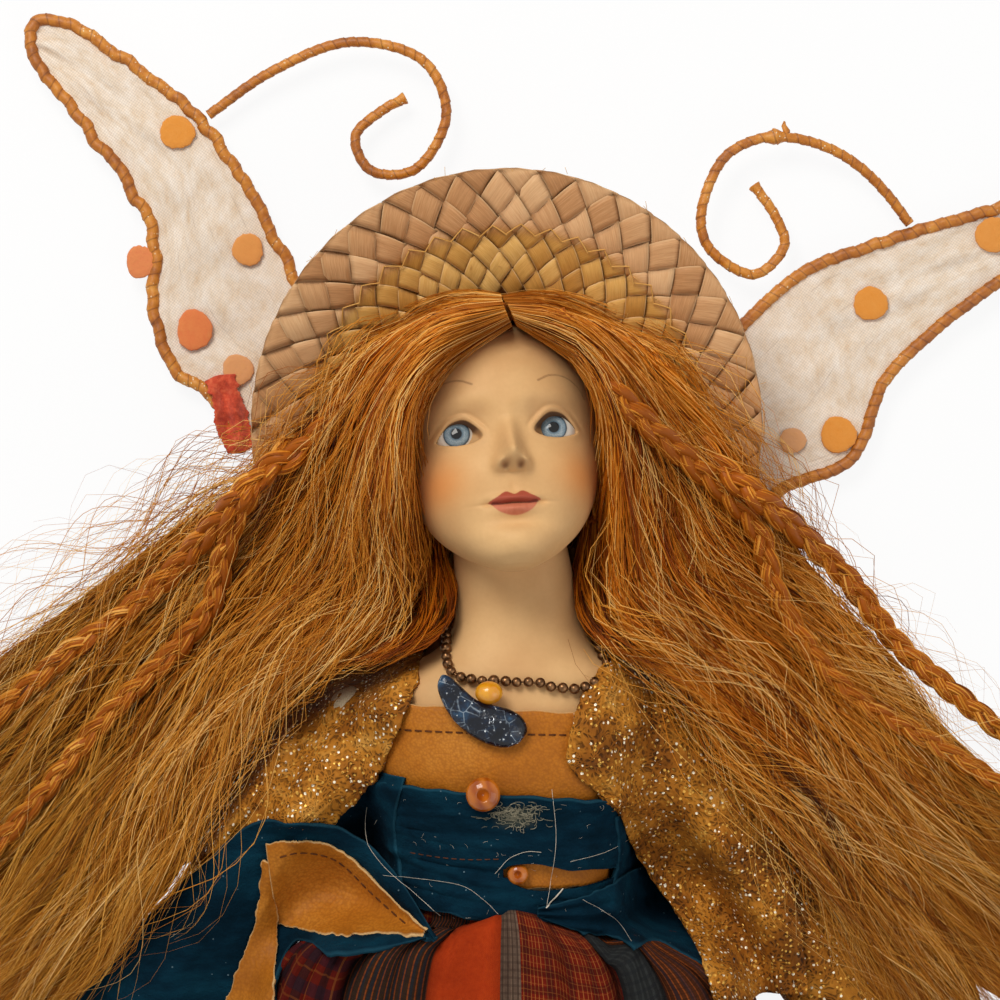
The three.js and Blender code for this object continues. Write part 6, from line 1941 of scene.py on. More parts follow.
# %% [markdown]
# A gathered skirt has far more cloth than waist, so it puffs out and falls in creases. The largest stand
# where the photograph has them, widen towards the hem and are joined by smaller, even ones.

# %% The skirt
HEM, WAIST, SKIRT_TOP = -198.0, -28.0, -16.6
GATHER = [[-70, -38], [-63, -36.9], [-59.7, -29.5], [-55.7, -25], [-46, -23.6], [-41, -24.5], [-38.9, -27],
    [-31.9, -25.6], [-24, -24.1], [-13.6, -25], [-1.3, -20.1], [1.6, -19.2], [7.7, -20.6], [11.6, -23.1],
    [21.5, -26.2], [27, -29.6], [33.3, -25.1], [39.2, -29.6], [50.2, -34.6], [56, -40]]
CREASES = [[-58, 4.5, 1.8], [-41, 7, 2], [-29, 2.4, 1.2], [-20.5, 5, 1.6], [-1.5, 3.2, 1.1], [14, 2.2, 1.2],
    [28.2, 7, 1.9], [39.6, 5.4, 1.6], [52, 4, 2.2]]


def skirt_points(rows, columns):
    """The gathered cloth: its points from the waist's puffs to the hem, its panels, and how deep its creases
    are, for their painted shade.
    """
    t = concatenate([[-1, -0.4], linspace(0, 1, rows - 2) ** 1.5])[:, None]
    turn = full_turn(columns)[None, :]
    spread = maximum(t, 0)
    y = np.where(t < 0, mixed(WAIST, SKIRT_TOP, -t), mixed(WAIST, HEM, spread)) + 0 * turn
    middle, wide, high, low = np.moveaxis(between(BODY_ROWS, maximum(y, -40)), -1, 0)
    eased = mixed(spread, ease(spread, 0, 1), 0.6)
    near = 1.15
    broad = between([[0, 34], [0.012, 47], [0.03, 57], [0.06, 62.5], [0.1, 66], [0.2, 71], [0.45, 83],
        [1, 94]], spread)[..., 0]
    broad = np.where(t < 0, wide + near, broad)
    puff = 7 * sin(pi * minimum(spread * 3.2, 1)) ** 0.7
    front = mixed(high + near, 40, eased) + puff
    back = mixed(low - near, 2.4, minimum(eased * 3, 1))
    c, s = cos(turn), sin(turn)
    x = broad * squarer(c, 2.4)
    z = (front + back) / 2 + (front - back) / 2 * squarer(s, 2.4)
    panel = np.where(s >= 0, x / broad, np.sign(x) * (2 - np.abs(x / broad))) * 62
    depth = 5.4 * np.where(s > -0.2, 1, 0.3) * ease(spread, 0.02, 0.6)
    wave = depth * cos(9 * turn + 1.6 * sin(3 * turn) + 0.8 * sin(5 * turn + 1) + 1.2 * spread)
    small = 1.3 * sin(38 * turn + 4 * sin(5 * turn) - 3 * spread) * exp(-spread * 6)
    small = small * ease(spread, 0.0, 0.05)
    fine = 0.5 * sin(27 * turn + 7 * spread) * ease(spread, 0.1, 0.4)
    dent = 0
    for place, deep, broadness in CREASES:
        gap = np.abs(panel - place) / (broadness * (1 + 2.2 * spread))
        dent = dent + deep * exp(-gap ** 1.5) * exp(-(spread / 0.5) ** 2) * (s > -0.2)
    between_creases = 1.5 * sin(panel / 62 * 9 + 2.0) * bell(spread, 0.12, 0.12) * (s > 0)
    out = wave * s + small + fine + between_creases
    lift = maximum(s, 0) ** 0.5 * exp(-(spread / 0.07) ** 2) * ease(spread, 0, 0.004)
    top = interp(x, [p[0] for p in GATHER], [p[1] for p in GATHER])
    y = y + (top - WAIST) * lift
    z = z + out + 5.6 * lift * ease(spread, 0, 0.012) - dent * np.where(t < 0, 0, 1)
    z = maximum(z, np.where(t < 0, low, 1.3))
    x = x + wave * c * 0.6
    y = y + 1.6 * sin(5 * turn + 2 * sin(2 * turn)) * ease(spread, 0.7, 1)
    return stack([x, y, z], -1), panel + 0 * y, dent / 6 * ease(spread, 0, 0.01) + 0 * y


rows, columns = 90, 230
points, panel, fold = skirt_points(rows, columns)
down = concatenate([np.zeros((1, columns)), np.cumsum(np.linalg.norm(np.diff(points, axis=0), axis=2), 0)])
skirt = mesh_of("gathered_skirt", points, grid_faces(rows, columns, True), plaid,
    uv=stack([panel * 1.5, down], -1), panel=panel, fold=clip(fold, 0, 1))
if skirt.data.polygons[len(skirt.data.polygons) // 2].normal.z * sin(columns // 2 / columns * 2 * pi) < 0:
    skirt.data.flip_normals()
skirt = modified(skirt, "SOLIDIFY", thickness=0.7 * MM, offset=-1)
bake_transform(skirt, "torso", "left_leg", start=(0, -0.055, 0.02), end=(0, -0.12, 0.02))
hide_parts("skirt")
clothes.append(skirt)
hem_at = arange(0, columns - 4, 3)
hem_stitches = [stack([mixed(points[-3, i], points[-3, (i + 2) % columns], k) + [0, 0, 0.2 * sin(k * pi)]
    for k in linspace(0, 1, 5)]) for i in hem_at]
hem = swept("hem_stitches", hem_stitches, 0.16, thread_brown, 5)
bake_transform(hem, "torso", "left_leg", start=(0, -0.055, 0.02), end=(0, -0.12, 0.02))

# %% [markdown]
# The coat hangs open. A flap of suede lies beside the bodice on each side, and the right panel crosses
# the skirt and runs in under the knit. Each is a patch between guide lines along its cut edges.

# %% The coat at both sides
PANEL = {
    "left": [
        [[-18.2, -26.8], [-27.5, -13.9], [-38.3, -3.3], [-47.8, 1], [-66.1, 2], [-81.2, -9.4],
            [-99.2, -26.6], [-116.1, -44.8], [-136.7, -68.1]],
        [[-20.5, -26.6], [-31, -21], [-43, -15.5], [-54.2, -15], [-64, -19], [-74, -31], [-84, -46],
            [-96, -64], [-111, -82]],
        [[-21.5, -26.5], [-33, -29.5], [-46, -30.5], [-57, -31], [-61.5, -38], [-62.5, -48], [-65, -62],
            [-73, -78], [-86, -96]]],
    "right": [
        [[8.3, -18.9], [20.7, -16.2], [35.2, -12.6], [50.3, -12.4], [58.3, -22.8]],
        [[8, -20.5], [21.5, -20.5], [36, -20], [50, -23], [60, -31]],
        [[9, -21.8], [22, -26.5], [31, -28], [41, -30], [50, -34.5], [61, -41]]]}


def left_roll(across, along):
    """The coat's edge rolls over at its top, and sags into soft folds below."""
    roll = 2.4 * bell(across, 0.2, 0.16) * (1 - 0.5 * ease(along, 0.6, 1))
    return roll + 0.8 * sin(along * 15 + 2 * across) * across + 0.5 * sin(along * 31 - 5 * across)


def right_folds(across, along):
    """Even waves that cross the panel both ways."""
    return (0.9 * sin(across * 15 + 1.5 * along) * sin(pi * clip(across, 0, 1)) + 0.8
        + 0.8 * sin(along * 7))


SIDE_CLOTH = {
    "left": [
        [[-27, 15], [-30, 2], [-27, -20]],
        [[-54, 18], [-58, 3], [-50, -16]]],
    "right": [
        [[29, 4], [30, -8], [27, -22]],
        [[54, 8], [58, -6], [54, -24]]]}
for name in SIDES:
    lap = laid_patch("suede_side_" + name, SIDE_CLOTH[name], suede, worn_so_far(), 30, 40, 1.1, 0.2,
        lambda u, v: 0.7 * sin(v * 9 + u * 4) * u, 3, 3.0, 0.2)
    follows_arm(lap, name, "suede")
    clothes.append(lap)
right_panel = laid_patch("suede_panel_right", PANEL["right"], suede, worn_so_far(), 60, 90, 1.1, 0.2,
    right_folds, missing=4.0)
follows_arm(right_panel, "right", "suede", "coat_panel_right")
clothes.append(right_panel)

# %% [markdown]
# The knit fronts are bands of ribbed knit that fold back on themselves: a rolled lapel, a deep hollow
# beside it and a second roll at the shoulder. Frayed yarns stand out of the knit everywhere.

# %% Knit fronts
KNIT = {
    "left": [
        [[-20.9, 51], [-23, 45.7], [-26, 34.3], [-33, 17.9], [-40.4, 7], [-49.2, -0.9]],
        [[-27.2, 51], [-35.7, 43.6], [-42.5, 33.8], [-46.8, 23.2], [-49.9, 12.6], [-54.1, 1]],
        [[-31.9, 53], [-47.7, 43.5], [-57.7, 31.9], [-61.4, 19.2], [-62.4, 8.6], [-62.9, 0.8]],
        [[-36.2, 55.1], [-64.6, 39.7], [-77.8, 23.4], [-84.8, 8.6], [-88.8, -4.6], [-90.9, -12.5]]],
    "right": [
        [[29.4, 52], [26.2, 45.7], [20.2, 37.2], [16.2, 25.8], [17.2, 17.1], [29.2, 6.5], [34, -6],
            [41, -17], [50, -30], [55, -46]],
        [[35.2, 52], [35.2, 40.4], [35.8, 24.5], [34.2, 13.4], [37.9, 5.5], [43.2, -4.6], [50, -16],
            [58, -29], [66, -46]],
        [[42.6, 51.9], [51.1, 35.1], [61.7, 19.2], [69.6, 3.3], [74.9, -9.9], [78, -20.5], [80, -29],
            [81, -37], [82, -46]]]}
under_knit = worn_so_far()


def knit_rolls(across, along, side):
    """How far the knit stands off what it lies on."""
    if side == "left":
        rolls = (3.6 * bell(across, 0.17, 0.13) - 2.6 * bell(across, 0.43, 0.12)
            + 5.0 * bell(across, 0.74, 0.17))
    else:
        rolls = 3.4 * bell(across, 0.2, 0.15) + 3.2 * bell(across, 0.7, 0.2)
    wander = 0.5 * sin(along * 19 + across * 6) + 0.4 * sin(across * 23 - along * 8)
    rib = 0.16 * sin(across * 150 + 2 * sin(along * 12))
    return rolls * (0.75 + 0.25 * sin(along * 8 + 1)) + wander + rib


for name, side in SIDES.items():
    front = laid_patch("knit_" + name, KNIT[name], knit, under_knit, 92, 106, 1.6, 0.6,
        lambda u, v: knit_rolls(u, v, name), 14, 3.0, 0.55, 6, seed=8 + side)
    clothes.append(front)
    follows_arm(front, name, "lurex_knit", "knit_front_" + name)
    rng = np.random.default_rng(40 + side)
    corners = array([v.co * 1000 for v in front.data.vertices])
    normals = array([v.normal for v in front.data.vertices])
    chosen = rng.choice(np.nonzero(normals[:, 2] > 0.3)[0], 240)
    t = linspace(0, 1, 6)[None, :, None]
    way = rng.normal(0, 1, (240, 1, 3)) * [1.2, 1.2, 0.25]
    bend = rng.normal(0, 1, (240, 1, 3)) * [0.9, 0.9, 0.1]
    fuzz = (corners[chosen][:, None] + normals[chosen][:, None] * (0.9 * sin(t * pi) - 0.1) + way * t
        + bend * t ** 2)
    yarns = swept("knit_fuzz_" + name, fuzz, rng.uniform(0.04, 0.09, (240, 1)), knit, 3, edge=5, slit=5)
    follows_arm(yarns, name, "lurex_knit")

# %% [markdown]
# The left panel is turned back, so its tan lining shows as a puffed flap with a strip hanging from it.
# The panel is laid over the knit, and both pieces of lining are laid on the panel.

# %% The left panel and its lining
left_panel = laid_patch("suede_panel_left", PANEL["left"], suede, worn_so_far(), 64, 104, 1.1, 1.0,
    left_roll, rounds=12, missing=3.0)
follows_arm(left_panel, "left", "suede", "coat_panel_left")

on_panel = tree_of(left_panel)
FLAP = [
    [[-64.4, -3.8], [-57.4, -2.9], [-46.8, -4.8], [-34.6, -14.9], [-28.3, -20.1], [-21.4, -24.9]],
    [[-63.2, -15.6], [-58, -15.6], [-49, -17], [-38.5, -21.2], [-30, -23.6], [-21.6, -25.2]],
    [[-62, -27], [-58, -27.6], [-50, -27.6], [-40, -27.2], [-30.4, -26.2], [-21.9, -25.6]]]
STRIP = [
    [[-65.6, -8.1], [-67.9, -25.8], [-71.9, -36.3], [-75.3, -45.6], [-81.8, -60.1]],
    [[-62.6, -9.5], [-61.9, -29], [-62.3, -40.3], [-62.8, -48.9], [-66.8, -64.8]]]


def flap_puff(across, along):
    """The flap stands up in its middle and ripples along its length."""
    puff = 1.4 * sin(pi * across) * sin(pi * clip(along * 0.9 + 0.1, 0, 1))
    return puff + 0.3 * sin(along * 14 + across * 4)


flap = laid_patch("lining_flap", FLAP, lining, on_panel, 50, 90, 0.8, 0.5, flap_puff, 2, 0.5, 0.3, seed=4)
strip = laid_patch("lining_strip", STRIP, lining, on_panel, 26, 90, 0.8, 0.5,
    lambda u, v: 0.8 * sin(pi * u), 2, 20.0, 0.4, seed=6)
for piece in (flap, strip):
    follows_arm(piece, "left", "lining", *(["coat_lining_left"] if piece is flap else []))

# %% [markdown]
# Running stitches of brown thread hold the lining, the hem of the top and the edge of the slit. Each row
# is a set of short lines that dip into the leather at both ends.

# %% Rows of stitches
on_flap = tree_of(flap)
seam = stitches("lining_stitches", line([[-61, -7.5], [-55.6, -6.4], [-46.6, -8.6], [-36.5, -17.6],
    [-30, -22.2], [-25, -25]], 200), on_flap)
follows_arm(seam, "left", "lining")

top_seam = stitches("top_stitches", line([[-30, 27.6], [-18, 27.3], [-2, 26.8], [14, 26.5], [32, 26]], 200),
    tree_of(leather_top))
worn(top_seam, "torso", "leather")
slit_hem = stitches("slit_stitches", line([[-26, -5.4], [-12, -6.4], [-2, -6.2]], 100), tree_of(bodice),
    2.2, 1.3, 0.14)
worn(slit_hem, "torso")

# %% [markdown]
# Threads were left where they frayed: pale ones hang over the bodice, and grey ones stand out of its torn
# place.

# %% Frayed and hanging threads
over_all = tree_of(bodice, skirt, left_panel, right_panel, flap, leather_top)
HANGING = [
    [[-34.2, 17], [-36.8, 9.5], [-37.9, -2], [-33.5, -9], [-26.8, -14.5], [-21, -19], [-17.6, -22]],
    [[-29.4, 15.2], [-31.5, 8], [-35.7, 0.5]],
    [[11.8, 12.2], [12.9, -1], [11.5, -13], [10.5, -18.5]],
    [[-3.1, -10.2], [0.8, -5.9], [5.5, -4.2], [9, -4.4]],
    [[16.7, -7.2], [27, -5], [36.5, -1.5], [38, 2.5]],
    [[20, -17], [27.4, -22], [32.7, -27.7]],
    [[-33, -12], [-12, -13.5], [-6.2, -17], [-2.2, -20.9]],
    [[10.3, -19], [12.6, -16.8], [14.8, -14.4]]]
hairs = []
for path in HANGING:
    xy = line(path, 41)
    z = settled(maximum(heights(over_all, xy, 30), 0)[None], 6)[0]
    hairs.append(column_stack([xy, z + 0.25 + 0.25 * sin(linspace(0, 9, 41)) ** 2]))
threads = swept("loose_threads", hairs, array([0.07, 0.06, 0.06, 0.07, 0.05, 0.05, 0.05, 0.2])[:, None],
    thread_pale, 5)
worn(threads, "torso")
grey_thread, tree, shader, place, cloud = plain_finish("torn_thread", "5C5C4C", "A49C84", 700, 0.8)
rng = np.random.default_rng(77)
start = stack([rng.normal(2.6, 3.6, 170).clip(-6, 13), rng.normal(5.6, 1.4, 170).clip(2, 8.5)], 1)
t = linspace(0, 1, 9)
curls = []
for x, y in start:
    way, bend = rng.uniform(0, 6.28), rng.normal(0, 3)
    angle = way + bend * t
    xy = array([x, y]) + np.cumsum(stack([cos(angle), sin(angle) * 0.6], 1), 0) * rng.uniform(0.15, 0.5)
    z = heights(over_all, xy, 50)
    curls.append(column_stack([xy, z + 0.15 + 0.5 * sin(pi * t) * rng.uniform(0.2, 1)]))
torn = swept("torn_threads", curls, rng.uniform(0.05, 0.1, (170, 1)), grey_thread, 4)
worn(torn, "torso")
lint_at = stack([rng.uniform(-34, 38, 70), rng.uniform(-26, 11, 70)], 1)
specks = []
for x, y in lint_at:
    angle = rng.uniform(0, 6.28) + rng.normal(0, 1) * t
    xy = array([x, y]) + np.cumsum(stack([cos(angle), sin(angle)], 1), 0) * rng.uniform(0.05, 0.2)
    z = heights(over_all, xy, np.nan)
    if np.isfinite(z).all() and np.ptp(z) < 0.8:
        specks.append(column_stack([xy, z + 0.12]))
lint_hairs = swept("lint", specks, 0.028, thread_pale, 3)
worn(lint_hairs, "torso")

# %% [markdown]
# A scrap of orange-red cloth is knotted round the root of the left wing, at the edge of the hat.

# %% The scrap at the wing
scrap_cloth, tree, shader, place = finish_of("scrap_cloth")
wool = noise(tree, place["Object"], 420, 4, 0.7)
tone = ramp(tree, wool, [(0.25, "8E2A12"), (0.5, "C8482A"), (0.75, "E8744C")])
feed(tree, shader, Base_Color=tone, Roughness=0.92, Sheen_Weight=0.3)
bumped(tree, shader, wool, 0.35, 0.9)
under_tie = cad_tree("hat", "wing_frame_left", "wing_membrane_left", "hair_left")
SCRAP = [
    [[-83.5, 121], [-81.5, 115], [-80.0, 108], [-77, 101]],
    [[-80.5, 122.5], [-77.5, 116], [-75.5, 109], [-73, 101]],
    [[-75.5, 123], [-73.5, 117], [-71.5, 110], [-70.5, 103]]]


def crumpled(across, along):
    """The folds of a scrap that was tied in haste."""
    return 1.1 * sin(across * 9 + 3 * along) * sin(pi * along) + 0.6 * sin(along * 17) * sin(pi * across)


tie = laid_patch("wing_scrap", SCRAP, scrap_cloth, under_tie, 40, 60, 1.0, 0.4, crumpled, 2, 6.0, 0.5, 1, 9)
worn(tie, "torso", "tie_cloth", "wing_tie")

# %% [markdown]
# Under the clothes is a body of unbleached calico, stuffed firm. Its limbs are sewn tubes with a seam
# down each side, and they hinge on a line of stitching. The bisque forearms and hands are tied into the
# ends of the upper arms. Boots of soft brown leather cover the feet.

# %% Calico and boot leather
calico, tree, shader, place = finish_of("calico")
spot = place["Object"]
slub = noise(tree, spot, 500, 4, 0.7)
weft = times(tree, *plain_weave(tree, spot, 620.0, 1.5))
tone = blended(tree, noise(tree, spot, 35, 4), "CDB994", "E2D3B4")
tone = overlaid(tree, tone, "A9916A", weft, 0.25)
feed(tree, shader, Base_Color=tone, Roughness=0.95)
bumped(tree, shader, reckon(tree, "ADD", weft, slub), 0.12, 0.8)
boot_leather = hide("boot_leather", "3A2114", "54341F", "6E4A2E", 900)
sole_leather = hide("sole_leather", "1E120B", "2E1D12", "402A1A", 700)


def stuffed(name, path, sizes, material, rows=70, columns=44, crease=None):
    """A stuffed tube with rounded ends."""
    path = asarray(path, float)
    sizes = asarray(sizes, float)
    first = path[0] - (path[1] - path[0]) / np.linalg.norm(path[1] - path[0]) * sizes[0, 1] * 0.98
    last = path[-1] + (path[-1] - path[-2]) / np.linalg.norm(path[-1] - path[-2]) * sizes[-1, 1] * 0.98
    whole = np.vstack([first, path, last])
    long = np.linalg.norm(np.diff(whole, axis=0), axis=1).sum()
    t = linspace(0, 1, rows)
    size = stack([interp(t, sizes[:, 0], sizes[:, k]) for k in (1, 2)], 1)
    ends = minimum(t * long / sizes[0, 1], (1 - t) * long / sizes[-1, 1])
    size = size * np.sqrt(clip(1 - (1 - clip(ends, 0, 1)) ** 2, 0.0004, 1))[:, None]
    table = column_stack([t, size])
    shut = clip(ends, 0, 1)[:, None]
    drawn_in = (lambda a, b: crease(a, b) * shut) if crease else None
    return pipe(name, whole, table, material, rows, columns, drawn_in, True, edge=5)


def seams_and_dimples(t, a):
    """Two side seams drawn in by their stitches, and soft wrinkles."""
    seam = sum(exp(-(minimum(np.abs(a - k), 2 * pi - np.abs(a - k)) / 0.1) ** 2) for k in (0.0, pi))
    return (-0.35 * seam * (0.7 + 0.3 * sin(t * 160)) + 0.2 * sin(3 * a + 17 * t) * sin(23 * t)
        + 0.12 * sin(7 * a - 31 * t))


# %% [markdown]
# The trunk is a firm bag inside the clothes. Its form is the body's own table, with the neck edge drawn in.

# %% Stuffed body
turn = full_turn(110)
y = concatenate([linspace(34, 10, 26), linspace(9, -56, 44)])
inset = np.where(y > 16 - 0.35, -2.4, -0.1)
core = skin(y[:, None], turn[None, :], inset[:, None])
ends = [skin(34.6, turn, -5.5), skin(-58, turn, -7)]
core = concatenate([ends[0][None], core, ends[1][None]])
core[..., 0] += 0.15 * sin(core[..., 1] * 0.8)
trunk = closed_form("calico_body", core, calico, edge=5)
worn(trunk, "torso", "calico", "torso_body")

# %% [markdown]
# A bisque head is open at the crown, where the eyes were set. A plug closes it and carries the wig. The
# wings are sewn to a felt pad between the shoulder blades.

# %% Wig plug and wing pad
head_search = tree_of(head)
down = Vector(from_head([0, -1, 0]) - HEAD_AT)
turn = full_turn(64)
plug = []
for share, drop in ((0.02, 0), (0.3, 0), (0.6, 0), (0.85, 0), (0.96, 0.15), (1.0, 0.8), (1.0, 2.2),
        (0.5, 2.4), (0.02, 2.4)):
    flat = stack([14.8 * share * cos(turn), 0 * turn + 70, -2 + 14.8 * share * sin(turn)], 1)
    hits = [head_search.ray_cast(Vector(p), down)[0] for p in from_head(flat)]
    plug.append(array([h + down * (drop - 0.25) for h in hits]))
plug = closed_form("pate_plug", plug, bisque, **blank)
worn(plug, "torso", "bisque", "head_pate")
pad_felt, tree, shader, place, cloud = plain_finish("pad_felt", "C6B18B", "E4D6BA", 800, 0.95)
bumped(tree, shader, cloud, 0.3, 0.9)
turn = full_turn(120)
PAD_ROWS = ((0.03, 0.5), (0.9, 0.5), (0.985, 1.0), (1.0, 2.0), (0.985, 5.6), (0.93, 6.4), (0.8, 6.5),
    (0.5, 6.6), (0.03, 6.6))
rings = [circle(turn, (0, 25), 12 * r, 8.9 * r, z + 0.1 * sin(9 * turn) * r) for r, z in PAD_ROWS]
worn(closed_form("wing_root_pad", rings, pad_felt), "torso", "calico", "wing_pad")
around = arange(0, 360, 12) * pi / 180
loops = []
STITCH_ROWS = ((0.86, 0.3), (0.97, 0.35), (1.02, 1.6), (1.02, 5.0), (0.95, 6.6), (0.86, 6.8))
for a in around:
    ends = [array([12 * r * cos(a + 0.03 * k), 25 + 8.9 * r * sin(a + 0.03 * k), z])
        for k, (r, z) in enumerate(STITCH_ROWS)]
    loops.append(line(ends, 14))
pad_stitches = swept("pad_stitches", loops, 0.16, thread_brown, 5)
worn(pad_stitches, "torso")

# %% [markdown]
# Forearm, palm and fingers start as separate stuffed tubes. A fine voxel skin makes one casting of them,
# and smoothing rounds the webs between the fingers.

# %% Arms and hands
def tied(name, centre, axis, radius, turns, thick, material):
    """Cord wound round a limb: a few close turns."""
    axis = Vector(axis).normalized()
    side_way = axis.cross(Vector((0, 0, 1))).normalized()
    up = side_way.cross(axis)
    a = linspace(0, turns * 2 * pi, turns * 28)
    rise = (a / (2 * pi) - turns / 2) * thick * 2.05
    path = array(centre) + radius * (cos(a)[:, None] * array(side_way) + sin(a)[:, None] * array(up))
    return swept(name, [path + rise[:, None] * array(axis)], thick, material, 8)


for name, side in SIDES.items():
    shoulder, elbow, wrist, tip = (array(ARM[key], float) for key in ("shoulder", "elbow", "wrist", "tip"))
    upper = stuffed("stuffed_arm_" + name, sided([shoulder, mixed(shoulder, elbow, 0.5), elbow], side),
        [[0, 8.9, 8.9], [0.5, 8.5, 8.5], [1, 7.1, 7.1]], calico, crease=seams_and_dimples)
    worn(upper, name + "_arm", "calico", "upper_arm_" + name)
    bone = wrist - elbow
    fore = stuffed("forearm_form", sided([elbow + bone * 0.02, mixed(elbow, wrist, 0.5), wrist], side),
        [[0, 7.0, 7.0], [0.35, 6.9, 6.9], [0.6, 6.2, 6.2], [1, 4.5, 4.3]], None)
    along = tip - wrist
    along[2] = tip[2] - wrist[2]
    along /= np.linalg.norm(along)
    across = array([-along[1], along[0], 0])
    across /= np.linalg.norm(across)

    def place_at(forward, aside, rise=0.0):
        return wrist + along * forward + across * aside + [0, 0, rise]

    palm = stuffed("palm", sided([place_at(0, 0), place_at(6, 0.3), place_at(12, 0)], side),
        [[0, 4.2, 3.6], [0.5, 5.3, 3.3], [1, 5.0, 2.6]], None)
    parts = [fore, palm]
    for aside, reach in ((-3.5, 21), (-1.2, 24), (1.1, 24.6), (3.4, 22)):
        parts.append(stuffed("finger", sided([place_at(10, aside * 0.85), place_at(16, aside * 1.02, 0.5),
            place_at(reach - 1.2, aside * 1.1, -0.2)], side), [[0, 1.75, 1.8], [0.45, 1.45, 1.6],
            [0.55, 1.55, 1.7], [1, 1.15, 1.25]], None, 40, 24))
    parts.append(stuffed("thumb", sided([place_at(3, 3), place_at(8, 6.6), place_at(13.5, 7.8)], side),
        [[0, 2.3, 2.2], [0.5, 1.8, 1.9], [1, 1.3, 1.3]], None, 40, 24))
    hand = modified(joined("bisque_hand_" + name, *parts), "REMESH", mode="VOXEL", voxel_size=0.6 * MM)
    hand = modified(hand, "SMOOTH", factor=0.5, iterations=4)
    for key in list(hand.data.attributes.keys()):
        if key in blank or key in ("run", "edge"):
            hand.data.attributes.remove(hand.data.attributes[key])
    valued(hand.data, **blank)
    smooth(hand, bisque)
    worn(hand, name + "_arm", "bisque", "forearm_" + name)
    cord = tied("arm_tie_" + name, sided([elbow + bone * 0.06], side)[0], sided([bone], side)[0], 7.3, 3,
        0.35, thread_pale)
    worn(cord, name + "_arm")

# %% [markdown]
# Thigh and lower leg are stuffed tubes that meet at a sewn knee.

# %% Legs
LEG = {"hip": [17, -66, 22], "knee": [19, -162, 17], "ankle": [20, -240, 12.6]}
for name, side in SIDES.items():
    hip, knee, ankle = (array(LEG[key], float) for key in ("hip", "knee", "ankle"))
    calf = [19.4, -189.3, 15.5]
    thigh = stuffed("stuffed_thigh_" + name, sided([hip, mixed(hip, knee, 0.5), knee], side),
        [[0, 12.9, 12.6], [0.5, 12.1, 12.1], [1, 9.5, 9.5]], calico, crease=seams_and_dimples)
    worn(thigh, name + "_leg", "calico", "thigh_" + name)
    shin = stuffed("stuffed_shin_" + name, sided([knee + [0, -9.2, -0.4], calf, ankle], side),
        [[0, 9.2, 9.2], [0.35, 10.3, 10.3], [1, 7.3, 7.3]], calico, crease=seams_and_dimples)
    worn(shin, name + "_leg", "calico", "shin_" + name)

# %% [markdown]
# Each boot is a shaft and a foot under one skin of leather, on a stacked sole. Laces cross over the
# instep, and pale stitches run along the welt.

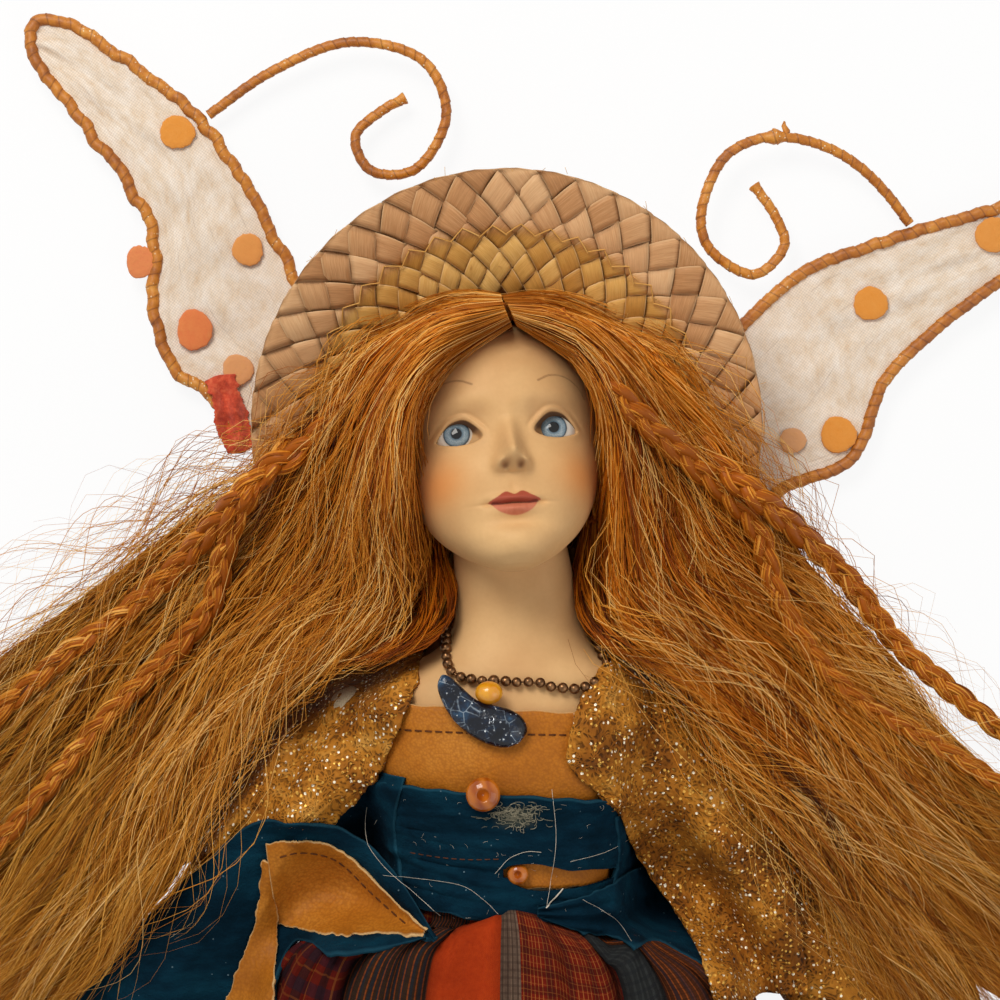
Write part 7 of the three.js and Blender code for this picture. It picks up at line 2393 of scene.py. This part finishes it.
# %% Boots
FOOT = array([[0, 5.5, 15], [4, 8, 20], [13, 9.2, 23], [22, 8.8, 19], [31, 9.8, 14], [38, 9, 11],
    [42.5, 5, 7]])
SOLE = -284.6
SOLE_ROWS = ((0.05, 0.45), (0.9, 0.45), (0.985, 0.6), (1.0, 1.0), (1.0, 2.6), (0.985, 3.2), (0.94, 3.35),
    (0.05, 3.35))
for name, side in SIDES.items():
    heel = array([20.5, SOLE + 14, 13.2])
    z = linspace(0, 42.4, 60)
    wide, tall = np.moveaxis(between(FOOT.tolist(), z), -1, 0)
    a = full_turn(90)[None, :]
    c, s = cos(a), sin(a)
    cap = 0.35 * ease(z, 30.2, 30.8)[:, None]
    x = (wide[:, None] - 0.3 + cap) * np.sign(c) * np.abs(c) ** np.where(s < 0, 0.3, 0.8)
    instep = 0.5 + 0.5 * np.sign(s) * np.abs(s) ** np.where(s < 0, 0.3, 0.7)
    y = SOLE + 0.2 + (tall[:, None] - 0.4 + cap) * instep
    wrinkle = 0.4 * sin(z[:, None] * 1.7 + x * 0.2) * exp(-((z[:, None] - 20) / 7) ** 2) * (s > 0)
    foot = stack([side * heel[0] + x, y + wrinkle, z[:, None] + 0.05 + 0 * x], -1)
    foot = closed_form("foot", foot)
    shaft = pipe("shaft", sided([[20, -226.2, 13.6], [20.2, -246, 13.4], [20.5, SOLE + 12, 13.2]], side),
        [[0, 10.6, 10.6], [0.07, 10.9, 10.9], [0.12, 10.3, 10.3], [0.5, 9.7, 9.7], [0.8, 9.7, 9.9],
        [1, 8.6, 9.6]], None, 90, 90, lambda t, a: 0.35 * sin(9 * t * 6 + 2 * sin(a)) * bell(t, 0.45, 0.25))
    boot = modified(joined("soft_boot_" + name, shaft, foot), "REMESH", mode="VOXEL", voxel_size=0.72 * MM)
    boot = modified(boot, "SMOOTH", factor=0.5, iterations=3)
    for v in boot.data.vertices:
        v.co.z = max(v.co.z, 0.0001)
    smooth(boot, boot_leather)
    valued(boot.data, edge=5)
    worn(boot, name + "_leg", "boot_leather", "boot_" + name)
    outline = line(np.vstack([column_stack([FOOT[:, 1] + 0.6, FOOT[:, 0]]), [[0, 43.0]],
        column_stack([-FOOT[:, 1] - 0.2, FOOT[:, 0]])[::-1], [[0, 0.2]]]), 160, closed=True)
    rings = [stack([side * 20.5 + outline[:, 0] * r, np.full(160, SOLE - drop),
        maximum((outline[:, 1] - 21) * r + 21, 0.1)], 1) for r, drop in SOLE_ROWS]
    worn(closed_form("stacked_sole_" + name, rings, sole_leather, edge=5), name + "_leg", "sole",
        "boot_sole_" + name)
    search = tree_of(boot)
    eyelets = []
    for pair in range(6):
        for way in (-1, 1):
            above = Vector((side * 20.2 + way * 3.4, -232 - 5 * pair, 60))
            hit = search.ray_cast(above, Vector((0, 0, -1)))[0]
            eyelets.append(array(hit) + [0, 0, 0.25])
    laces = []
    for pair in range(5):
        for way in (0, 1):
            start, end = eyelets[2 * pair + way], eyelets[2 * pair + 3 - way]
            middle = mixed(start, end, 0.5) + [0, 0, 0.9 + 0.5 * way]
            laces.append(line([start - [0, 0, 0.6], start, middle, end, end - [0, 0, 0.6]], 24))
    for way in (-1, 1):
        knot = array(eyelets[0]) * [0, 1, 1] + [side * 20.2, 2.2, 1.6]
        bow = [[0, 0, 0], [way * 4, 3, 0.5], [way * 8, 1.5, -2], [way * 5.5, -1.8, -0.6],
            [way * 0.5, 0, 0.4]]
        tail = [[0, 0, 0], [way * 2.5, -3, 0.4], [way * 4.5, -7, -0.8], [way * 5, -10, -1.4]]
        laces += [line(knot + path, 24) for path in (bow, tail)]
    lace = swept("boot_laces_" + name, laces, 0.42, thread_pale, 7)
    worn(lace, name + "_leg")
    z = linspace(1, 42, 22)
    row = []
    for way in (-1, 1):
        wide = between(FOOT.tolist(), z)[:, 0]
        path = stack([side * 20.5 + way * (wide + 0.15), np.full(22, SOLE + 0.7), z], 1)
        row += [line([p + [0, 0, -0.55], p + [way * 0.2, 0, 0], p + [0, 0, 0.55]], 6) for p in path]
    welt = swept("welt_stitches_" + name, row, 0.2, thread_pale, 5)
    worn(welt, name + "_leg")
    print("boot", name, len(boot.data.polygons), "faces")

# %% [markdown]
# The last step measures the box around everything that renders, the table left out.

# %% The box of the dressed doll
low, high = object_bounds()
